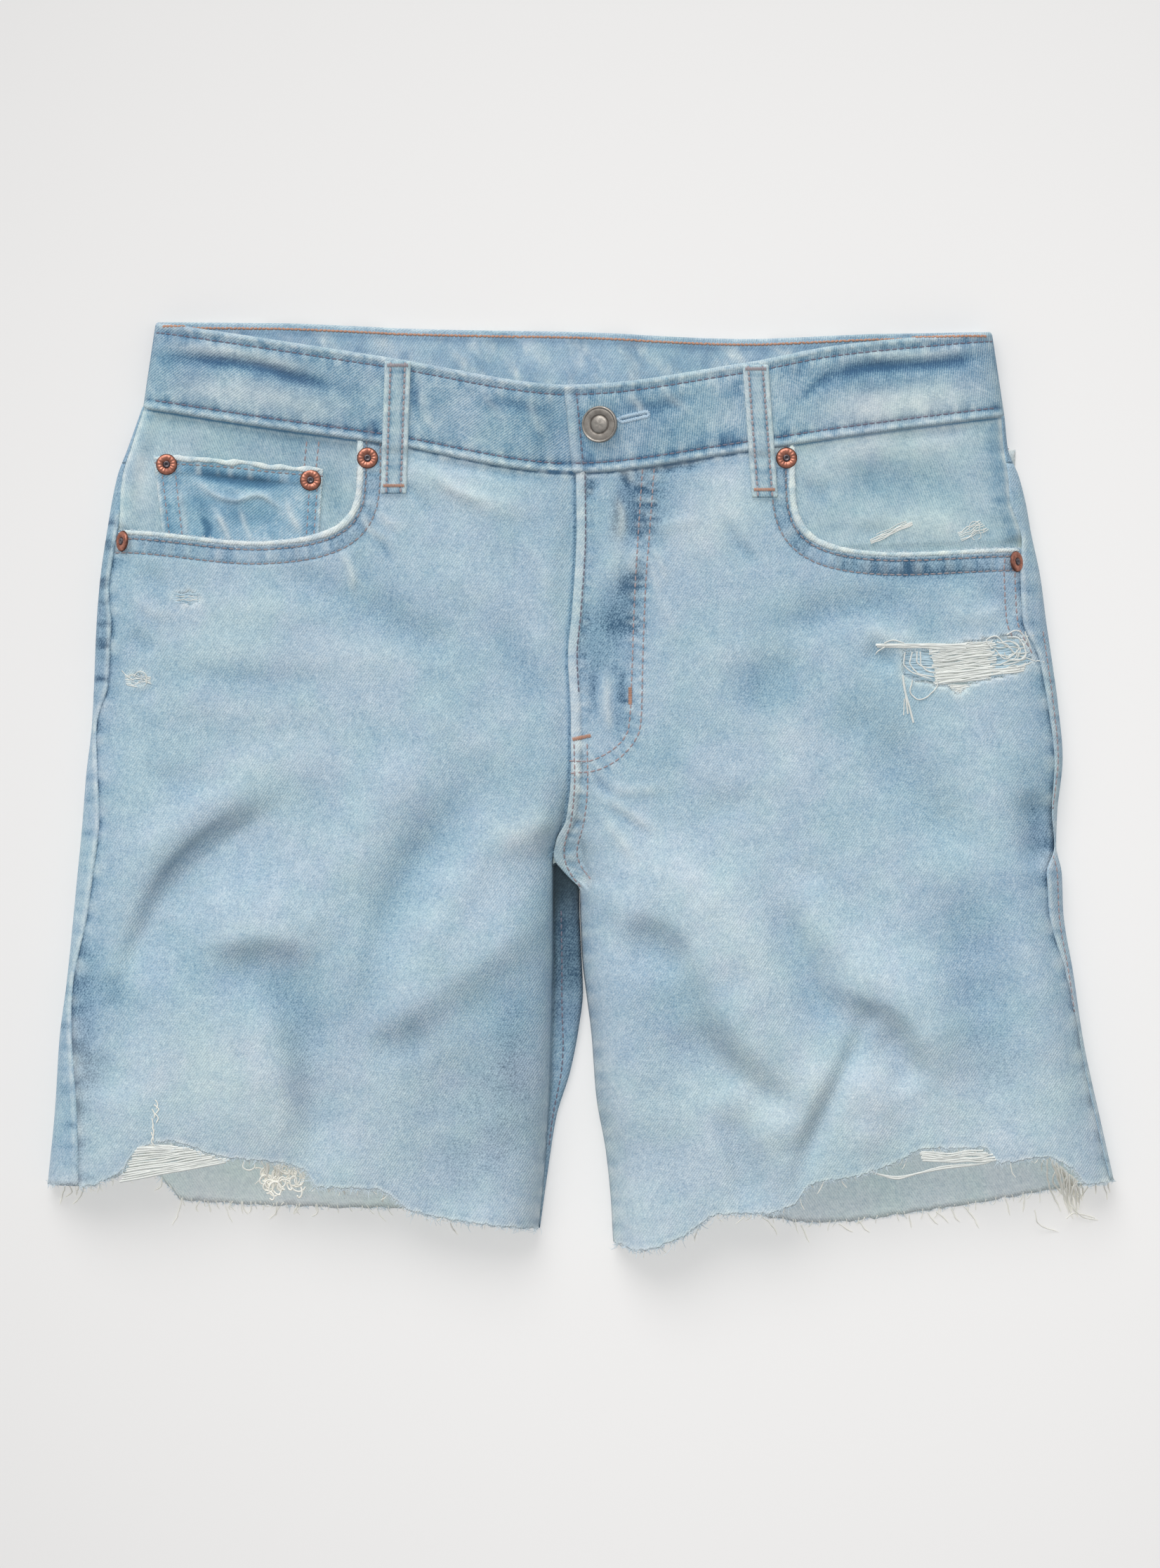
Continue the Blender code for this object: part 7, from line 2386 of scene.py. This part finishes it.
@dataclass
class Frays:
    """Fuzz on the raw hems, threads across the rips and threads that hang loose."""
    tree: LineTree
    pieces: dict[str, Thing]
    table_z: float = 0.35
    back_z: float = 1.2
    fibre_at: tuple[float, ...] = (-0.3, 0, 0.4, 0.75, 1)
    fibre_radius: tuple[float, ...] = (0.15, 0.16, 0.14, 0.11, 0.05)
    seed: int = 23

    def __post_init__(self) -> None:
        """Start the random draws."""
        self.random = np.random.default_rng(self.seed)

    def make(self, name: str, lines: Lines, finish: Finish, sides: int = 5) -> Thing:
        """Turn a bundle of lines into threads."""
        return settle(self.tree.apply(name, lines, {"Sides": sides}, finish), "denim")

    def fuzz(self, lines: Lines, edge: Path, height: Field, outward: float,
             spacing: float, reach: float, sink: float = 0.6) -> None:
        """Short fibres that stand out of a cut edge.

        Args:
            lines: the bundle they go to.
            edge: the cut edge.
            height: height of the cloth's face along it.
            outward: +1 where out of the cloth is to the left of the edge's run.
            spacing: from fibre to fibre.
            reach: their usual length.
            sink: how far under the cloth's face they start.
        """
        count = int(edge.length / spacing)
        at = self.random.uniform(0, edge.length, count)
        x, y = (np.interp(at, edge.along, edge.points[:, k]) for k in (0, 1))
        nx, ny = (np.interp(at, edge.along, edge.normals()[:, k]) * outward for k in (0, 1))
        turn = self.random.normal(0.0, 0.75, count)
        curl = self.random.normal(0.0, 0.7, count)
        length = reach * self.random.gamma(2.2, 0.45, count)
        rise = self.random.normal(0.0, 0.35, count)
        z0 = height(x, y) - sink + self.random.uniform(-0.4, 0.5, count)
        for k in range(count):
            heading = math.atan2(ny[k], nx[k]) + turn[k]
            share = np.array(self.fibre_at)
            bend = heading + curl[k] * share
            px = x[k] + length[k] * share * np.cos(bend)
            py = y[k] + length[k] * share * np.sin(bend)
            pz = z0[k] + length[k] * rise[k] * clip(share)
            thick = np.array(self.fibre_radius) * self.random.uniform(0.7, 1.3)
            lines.add(stack(px, py, np.maximum(pz, self.table_z)), thick=thick)

    def hems(self) -> None:
        """Fuzz along the four raw hems, and round the rips."""
        lines, inner = Lines(), Lines()
        for half in (LEFT, RIGHT):
            low, high = sorted((half.side_seam(SIDE_HEM_Y), half.hem_end.x))
            for table, height, bundle, spacing, reach in (
                    (half.hem, half.top, lines, 0.16, 1.5),
                    (half.back_hem, lambda x, y: lift(x, y) + self.back_z, inner, 0.22, 0.9)):
                x = np.linspace(low + 0.5, high - 0.5, 300)
                edge = straight(x, hem_line(table, x) + 0.3, 1.0)
                self.fuzz(bundle, edge, height, -1.0, spacing, reach)
            over = np.linspace(0, 1, 20)
            x = mix(half.outline(SIDE_HEM_Y), half.side_seam(SIDE_HEM_Y), over)
            edge = Path(np.stack([x, hem_line(half.back_hem, x)], -1)[::half.sign], 1.0, False)
            self.fuzz(lines, edge, half.base, -1.0, 0.16, 1.4)
            for outline in RIPS[half.label]:
                ring = Path(outline + outline[:1], 0.7, smooth=False)
                here, after = ring.points[:-1], ring.points[1:]
                area = np.sum(here[:, 0] * after[:, 1] - after[:, 0] * here[:, 1])
                self.fuzz(lines, ring, half.top, 1.0 if area > 0 else -1.0, 0.3, 1.3, 0.2)
            roll = half.mouth_path().offset(-half.sign * ROLL_IN)
            for outward in (-1, 1):
                self.fuzz(lines, roll.offset(outward * ROLL_IN), half.top, outward, 0.3, 0.55, -0.2)
        self.make("hem_fuzz", lines, Finish.FUZZ, 3)
        self.make("hem_fuzz_inside", inner, Finish.FUZZ, 3)

    def strands(self, lines: Lines, height: Field, left: Sequence[Point], right: Sequence[Point],
                count: int, radius: float, wave: float, sink: float, sag: float = 0.0) -> None:
        """Bare weft threads between two edges, side by side.

        Args:
            lines: the bundle they go to.
            height: height of the cloth's face.
            left: where they start, from the first thread to the last.
            right: where they end.
            count: how many.
            radius: thread radius.
            wave: how far they wander sideways.
            sink: how far they lie under the face.
            sag: how far their middles hang down the cloth.
        """
        starts, ends = (Path(points, 0.4, smooth=False) for points in (left, right))
        for k in range(count):
            f = (k + 0.5) / count + self.random.uniform(-0.2, 0.2) / count
            a, b = (np.array([np.interp(f * path.length, path.along, path.points[:, i]) for i in (0, 1)])
                    for path in (starts, ends))
            short = self.random.uniform(0.0, 0.09, 2) * (count > 7)
            steps = max(8, int(np.hypot(*(b - a)) / 1.6))
            t = np.linspace(-0.03 + short[0] * 0.5, 1.03 - short[1] * 1.4, steps)
            seeds = self.random.uniform(0, 9, 3)
            aside = wave * wander(t * 40, 26.0, seeds[0]) * np.sin(clip(t) * math.pi) ** 0.5
            x = mix(a[0], b[0], t) + 0.3 * wander(t * 40, 15.0, seeds[1])
            y = mix(a[1], b[1], t) + aside - sag * np.sin(clip(t) * math.pi)
            z = height(x, y) - sink + 0.3 * wander(t * 40, 19.0, seeds[2]) + self.random.uniform(-0.2, 0.2)
            thick = radius * self.random.uniform(0.75, 1.2) * (1 + 0.15 * wander(t * 40, 6.0, seeds[0]))
            lines.add(stack(x, y, z), thick=thick)

    def loose(self, lines: Lines, points: Sequence[Point], start_z: float, end_z: float,
              radius: float = 0.32, fall: float = 1.0) -> None:
        """One loose thread through points, falling from one height to another.

        Args:
            lines: the bundle it goes to.
            points: its way in the plane.
            start_z: height at its start.
            end_z: height at its end.
            radius: thread radius.
            fall: share of its length over which it falls.
        """
        path = Path(points, 0.9)
        share = path.along / path.length
        z = mix(start_z, end_z, ease(share / fall)) + 0.15 * wander(path.along, 5.0, points[0][0])
        x, y = path.points.T
        x = x + 0.25 * wander(path.along, 6.0, points[0][1])
        thick = radius * (1 + 0.2 * wander(path.along, 3.0, 1.0)) * (1 - 0.5 * ease((share - 0.8) / 0.2))
        lines.add(stack(x, y, np.maximum(z, self.table_z)), thick=thick)

    def curls(self, lines: Lines, centre: Point, size: Point, count: int, z: Field,
              radius: float = 0.3) -> None:
        """A tangle of looping threads.

        Args:
            lines: the bundle it goes to.
            centre: its middle.
            size: its half width and half height.
            count: how many threads.
            z: height they lie at.
            radius: thread radius.
        """
        for _ in range(count):
            begin_at = self.random.uniform(-1, 1, 2) * np.array(size) * 0.75 + np.array(centre)
            turns = self.random.uniform(0.4, 1.1)
            t = np.linspace(0, 1, int(14 * turns) + 8)
            spin = self.random.choice([-1, 1]) * CIRCLE * turns
            reach = self.random.uniform(1.3, 3.2)
            drift = self.random.uniform(-1, 1, 2) * np.array(size) * 0.5
            phase = self.random.uniform(0, 6.3)
            x = begin_at[0] + drift[0] * t + reach * np.cos(phase + spin * t) * (1 - 0.3 * t)
            y = begin_at[1] + drift[1] * t + reach * 1.25 * np.sin(phase + spin * t) * (1 - 0.3 * t)
            rise = self.random.uniform(0.1, 1.6)
            lines.add(stack(x, y, z(x, y) + rise + 0.5 * np.sin(6 * t + phase)), thick=radius)

    def rips(self) -> None:
        """Threads across the rips in the fronts and over the right facing."""
        lines, blue = Lines(), Lines()
        left, top = LEFT.top, RIGHT.top
        for row in (([(146.8, 63), (146.8, 50)], [(166, 64), (166, 47)], 20, 0.62, 0.5, 2.2),
                    ([(187, 67.5), (187, 49)], [(208, 68), (208, 54)], 24, 0.6, 0.6, 1.9)):
            self.strands(blue, top, *row)
        for row in (([(-188, 91), (-188, 82)], [(-174.8, 91), (-174.8, 82)], 12, 0.55, 0.4, 1.2),
                    ([(-209, 52.6), (-209, 45.2)], [(-198.6, 52.6), (-198.6, 45.2)], 10, 0.55, 0.4, 1.2),
                    ([(-187.4, 88.6), (-188, 83.8)], [(-176, 88.2), (-175.6, 83.8)], 9, 0.27, 0.5, 0.1)):
            self.strands(blue, left, *row)
        self.make("rip_threads_behind", blue, Finish.BLUE_WEFT)
        # the large tear: a rail of threads along its top, then a dense band of bare weft
        for row in (([(136.6, 65.2), (137.4, 63.6)], [(176, 65.6), (176, 62.6)], 6, 0.42, 0.4, -0.4),
                    ([(160, 63.6), (162, 55), (163, 46.2)], [(190.5, 67.4), (191, 58), (189, 49.2)],
                     25, 0.42, 0.5, 0.1),
                    ([(165, 62), (163.5, 47)], [(188, 66), (189, 50)], 20, 0.42, 0.8, 1.1),
                    ([(164, 52), (164, 46.4)], [(203, 55), (202.5, 52.6)], 5, 0.5, 0.6, -0.3),
                    ([(168.5, 46.4), (173, 42.2)], [(179.5, 46.6), (175, 42.2)], 6, 0.45, 0.3, 0.6),
                    ([(188.5, 66), (190, 50)], [(203.4, 65), (204.5, 55)], 4, 0.42, 1.1, 1.1)):
            self.strands(lines, top, *row)
        for points in (
                [(149, 61.4), (148.4, 56), (150.8, 53), (155.6, 50.8), (161, 49)],
                [(152.4, 61.6), (151.2, 56), (154.8, 51.8), (159, 50.6), (163.6, 50)],
                [(154.6, 61.8), (154.4, 57), (157.4, 54.6), (163.4, 54.2)],
                [(156, 61.6), (156.4, 55.6), (159.6, 52.6), (165, 52)],
                [(152.6, 48.6), (151.2, 43.4), (155, 39.6), (160, 41.6), (163.8, 46.4), (162, 52)],
                [(195.6, 69.4), (200.4, 71.5), (204.4, 68.8), (208.8, 69.4)],
                [(196.2, 68.4), (201.4, 67.8), (204.4, 61.8), (203, 58.2), (196, 57.6)],
                [(204.2, 71), (206.6, 64.6), (210, 58.2), (213.4, 57)],
                [(200.6, 54.4), (206.6, 56.4), (210, 57.6), (213.6, 56.8)],
                [(191, 66.2), (196, 64.8), (199.6, 60.6), (205, 58.8), (209.6, 57.2)],
                [(190, 62.8), (194.6, 58.4), (198.8, 60.2), (201.6, 64), (198.6, 66.6)],
                [(192, 65.6), (197.6, 66.4), (201.8, 62.8), (200.4, 57.6)],
                [(188.6, 63.4), (186.4, 66.8), (190.8, 68.8), (194.8, 65), (198.4, 62.4)],
                [(194.2, 55.6), (200.8, 57), (205.6, 61.4)],
                [(139.6, 63.8), (137.2, 62.2), (135.4, 60.4)],
                [(139.4, 65.6), (143.4, 66.9), (148.6, 65.6)]):
            z = float(top(*points[0])) + 0.9
            self.loose(lines, points, z, float(top(*points[-1])) + 0.7, 0.36)
        for points, radius in (([(147.9, 50.8), (148.8, 44), (151, 36), (152.8, 29)], 0.55),
                               ([(148.6, 47), (149.4, 40), (150.2, 33)], 0.42),
                               ([(148.6, 40), (148.4, 35), (148.2, 32.4)], 0.3)):
            path = Path(points, 0.9).points
            z = top(path[:, 0], path[:, 1]) + 0.5
            lines.add(stack(path[:, 0], path[:, 1], z), thick=radius)
        self.curls(lines, (199.5, 62), (5, 4), 2, top, 0.28)
        # the lower small rip on the left
        for row in (([(-187, 87.6), (-187.6, 84.8)], [(-177, 87.2), (-176.6, 84.8)], 3, 0.24, 0.6, 0),
                    ([(-209.8, 51.4), (-209, 46.4)], [(-198.2, 50.4), (-198, 47.2)], 5, 0.27, 1.1, 0)):
            self.strands(lines, left, *row)
        self.curls(lines, (-203.6, 48.8), (4.2, 1.8), 2, left, 0.22)
        for points in ([(-211.4, 53), (-208, 49.8), (-205.4, 48.4)], [(-209, 46.4), (-204, 45.4)],
                       [(-202.4, 50.8), (-199.4, 47.6), (-197.6, 46.8)]):
            self.loose(lines, points, float(left(*points[0])) + 0.3, float(left(*points[-1])) + 0.3, 0.24)

        def face(x: Array, y: Array) -> Array:
            return RIGHT.base(x, y) - facing_depth(RIGHT, x, y)

        # worn threads on the right facing
        for row in (([(133.2, 113.6), (134.2, 111.4)], [(151.8, 121.4), (152.4, 119.8)],
                     4, 0.3, 0.6, -0.9),
                    ([(136, 116), (137, 114.6)], [(149, 121.8), (149.6, 120.8)], 2, 0.24, 0.5, -0.9),
                    ([(173.6, 117), (175.6, 112.4)], [(183, 122.4), (187.6, 117.4)], 6, 0.24, 0.9, -0.5)):
            self.strands(lines, face, *row)
        self.curls(lines, (181, 117.2), (4.6, 2.4), 3, face, 0.2)
        self.make("rip_threads", lines, Finish.WEFT)

    def hem_threads(self) -> None:
        """Bare weft across the hem notches, the tangle, the fray bundle and hanging threads."""
        lines = Lines()
        left, right = LEFT.top, RIGHT.top
        self.strands(lines, left, [(-200.9, -164), (-205.7, -168.2), (-207.2, -173.4), (-211.4, -182.2)],
                     [(-188, -165), (-172.8, -167.2), (-165.9, -170.2), (-157.1, -171.9)],
                     17, 0.52, 0.35, 0.4)
        self.strands(lines, left, [(-204, -168), (-210, -181)], [(-176, -167.6), (-160, -171.8)],
                     12, 0.45, 0.7, 1.3)
        self.strands(lines, right, [(155.6, -167.6), (156.6, -172.2)], [(186.6, -166.8), (190.2, -172)],
                     8, 0.5, 0.8, 0.1, 0.7)
        for aside in (0, 0.9):
            self.loose(lines, [(132, -176.0 - aside), (136.6, -178.2), (145, -179.4 - aside),
                               (153.7, -178), (166.8, -174.6 - aside), (184.1, -173.4), (189.3, -171.6)],
                       26.5, 27.0, 0.5)
        self.make("hem_threads", lines, Finish.WEFT)
        lines = Lines()
        # a worn streak above the notch
        for k in range(9):
            x, y = -195.6 - 0.17 * k + self.random.normal(0, 0.5), -144.0 - 2.1 * k
            points = [(x, y), (x + self.random.normal(0, 1.0), y - 2.2), (x + 0.6, y - 4.2)]
            self.loose(lines, points, float(left(x, y)) + 0.35, float(left(x, y)) + 0.3, 0.3)
        # tangle under the step in the left hem
        self.curls(lines, (-137.5, -181.5), (10, 6.4), 34, lambda x, y: 21.0 + 0 * x, 0.42)
        self.loose(lines, [(-151.6, -171.8), (-154.4, -172), (-155, -175), (-152.4, -176.4),
                           (-149.6, -174.8), (-150.2, -171.6)], 26.0, 26.0, 0.32)
        for k in range(12):
            x = self.random.uniform(-148, -128)
            down = self.random.uniform(5, 15)
            points = [(x, -172.0 - 0.1 * (x + 148)), (x + self.random.normal(0, 2), -172 - down * 0.5),
                      (x + self.random.normal(0, 2.4), -172.0 - down)]
            self.loose(lines, points, 26.0, 19.0, 0.34)
        # fray bundle at the right side
        for k in range(24):
            share = k / 23
            x0, y0 = mix(214.5, 229.0, share), mix(-170.5, -183.0, share) + 0.8
            drop = self.random.uniform(0.55, 1.0)
            x1 = mix(x0, 231.0, 0.75) + self.random.normal(0, 2.6)
            y1 = mix(y0, -201.0, drop)
            middle = (mix(x0, x1, 0.5) + self.random.normal(0, 1.4), mix(y0, y1, 0.5))
            self.loose(lines, [(x0, y0), middle, (x1, y1)], 16.0 - 6 * share, 2.0, 0.42, 0.9)
        for points in ([(214.9, -170.2), (213, -175), (213.2, -181)],
                       [(209.4, -196), (212, -203), (221, -206.5)],
                       [(224, -200), (228, -197.6), (238, -200)],
                       [(226, -193.6), (232, -199.4), (239.4, -201)]):
            self.loose(lines, points, 6.0, self.table_z, 0.32)
        # threads that hang from the hems to the table
        for x0, y0, x1, y1, *up in (
                (-238, -185, -241.2, -193.8, 6), (-236.4, -185.4, -239, -190.4, 7),
                (-229, -186, -235.2, -193.6, 9), (-231.4, -186, -233.6, -189.6, 8),
                (-184.6, -192.2, -189.2, -203.4), (-194, -182.6, -197.6, -187.4),
                (-176.2, -193.6, -177.2, -197.2), (-172.6, -193.6, -171.8, -197.4),
                (-161, -193.6, -162.6, -196.2), (-156.6, -193.8, -154.4, -198.4),
                (-152.6, -193.8, -154, -197.8), (-148.6, -193.6, -147.6, -196.4),
                (-140.6, -194, -144.2, -200.6), (-137.6, -194.2, -141.4, -199),
                (-130, -194.8, -133, -198), (-122.6, -195, -124.4, -199.4),
                (-112.8, -184.6, -118.2, -189.6, 26), (-110.4, -185.6, -110.2, -190.8, 26),
                (240.6, -183.4, 243.6, -191.6, 7), (243, -183, 244.6, -188.4, 6),
                (230.6, -184.8, 232.4, -190.6, 8), (234.6, -184.6, 229.4, -192.8, 8),
                (236.8, -184.2, 238.2, -189, 7), (177.4, -196.2, 184.2, -204.8),
                (171.4, -197.2, 175.2, -201.8), (164.4, -198.6, 170.2, -202.4),
                (160.6, -199, 165.2, -203), (196.4, -192.4, 198.6, -198.8), (205, -190.6, 204.4, -197.4),
                (151.6, -200.2, 152.8, -204.6), (128.6, -203, 133.6, -206.6),
                (119.4, -204, 125.8, -206.4), (102, -204.6, 105.6, -211.4), (86, -202.4, 90.4, -208),
                (54, -205, 52.6, -211, 20), (-60, -200.6, -57, -207.8, 22),
                (-90, -187.4, -91.6, -195, 25)):
            z0 = up[0] if up else self.back_z
            middle = (mix(x0, x1, 0.5) + self.random.normal(0, 0.9), mix(y0, y1, 0.5))
            self.loose(lines, [(x0, y0 + 1.5), middle, (x1, y1)], z0, self.table_z, 0.34, 0.8)
        for half, table, z in ((LEFT, LEFT_BACK_HEM, 1.3), (RIGHT, RIGHT_BACK_HEM, 1.3),
                               (LEFT, LEFT_HEM, None), (RIGHT, RIGHT_HEM, None)):
            x_all = np.array([row.x for row in table])
            for x in np.arange(x_all.min() + 14, x_all.max() - 14, 4.5 if z else 6.5):
                x = x + self.random.uniform(-2, 2)
                y = float(read(table, "x", "y", x))
                length = self.random.gamma(2.0, 1.1) + 0.8
                lean = self.random.normal(0.1, 0.6)
                z0 = z if z else float(half.top(x, y)) - 0.6
                points = [(x, y + 1.0), (x + lean * length * 0.4, y - length * 0.5),
                          (x + lean * length + self.random.normal(0, 0.5), y - length)]
                self.loose(lines, points, z0, z0 - (0.6 if z else 1.5), 0.24)
        # painted light: these threads take the paler copy of the weft to make up for the shade they lie in
        self.make("hem_tangles", lines, Finish.LOOSE)

    def build(self) -> None:
        """Make every fray."""
        self.hems()
        self.rips()
        self.hem_threads()


@dataclass
class Studio:
    """Pale floor, one large soft light from above the waistband, and the camera straight overhead."""
    distance: float = 3.0
    frame_length: float = 0.7257
    sensor: float = 36.0
    centre: tuple[float, float] = (-0.0005, 0.0008)
    floor_z: float = -0.0003
    floor_size: float = 7.0
    key_strength: float = 1.0
    soft_strength: float = 1.9
    key_angle: float = 42.0
    key_from: tuple[float, float, float] = (-0.25, 0.88, 0.84)
    fill: float = 0.44

    def build(self) -> None:
        """Set up floor, light and camera."""
        half = self.floor_size / 2
        mesh = bpy.data.meshes.new("floor")
        mesh.from_pydata([(-half, -half, self.floor_z), (half, -half, self.floor_z),
                          (half, half, self.floor_z), (-half, half, self.floor_z)], [], [(0, 1, 2, 3)])
        mesh.materials.append(Finish.FLOOR.made())
        floor = bpy.data.objects.new("floor", mesh)
        self._place(floor)
        for label, strength, shadow in (("key", self.key_strength, True),
                                        ("soft", self.soft_strength, False)):
            sun = bpy.data.lights.new(label, "SUN")
            sun.energy = strength
            sun.angle = math.radians(self.key_angle)
            sun.color = (1.0, 0.985, 0.965)
            sun.use_shadow = shadow
            lamp = bpy.data.objects.new(label, sun)
            lamp.rotation_euler = Vector(self.key_from).to_track_quat("Z", "Y").to_euler()
            self._place(lamp)
        world = bpy.data.worlds.new("soft_room")
        world.use_nodes = True
        tree = Tree(world.node_tree)
        light = tree.add("ShaderNodeBackground", {}, {"Color": (0.95, 0.97, 1.0, 1.0),
                                                      "Strength": self.fill})
        tree.add("ShaderNodeOutputWorld", {}, {"Surface": light})
        bpy.context.scene.world = world
        lens = bpy.data.cameras.new("camera")
        lens.sensor_fit = "AUTO"
        lens.sensor_width = self.sensor
        lens.lens = self.sensor * self.distance / self.frame_length
        lens.clip_end = 20.0
        camera = bpy.data.objects.new("camera", lens)
        camera.location = (*self.centre, self.distance)
        self._place(camera)
        bpy.context.scene.camera = camera
        bpy.context.scene.view_settings.view_transform = "Standard"

    @staticmethod
    def _place(thing: Thing) -> None:
        """Link an object to the scene."""
        bpy.context.scene.collection.objects.link(thing)


class Cut(NamedTuple):
    """A cloth piece as it was cut: short name, width, length and flat area, in metres."""
    piece: str
    width: float
    length: float
    area: float
    rests_on: Sequence[str]
    with_pieces: Sequence[str]


def main() -> None:
    """Build the shorts, then the studio."""
    logging.basicConfig(level=logging.INFO, format="%(message)s")
    pieces = Legs().build()
    pieces.update(Pockets().build())
    pieces.update(Waist().build())
    Hardware().build()
    Stitches(stitch_tree(), pieces).build()
    Frays(thread_tree(), pieces).build()
    Studio().build()


if __name__ == "__main__":
    main()
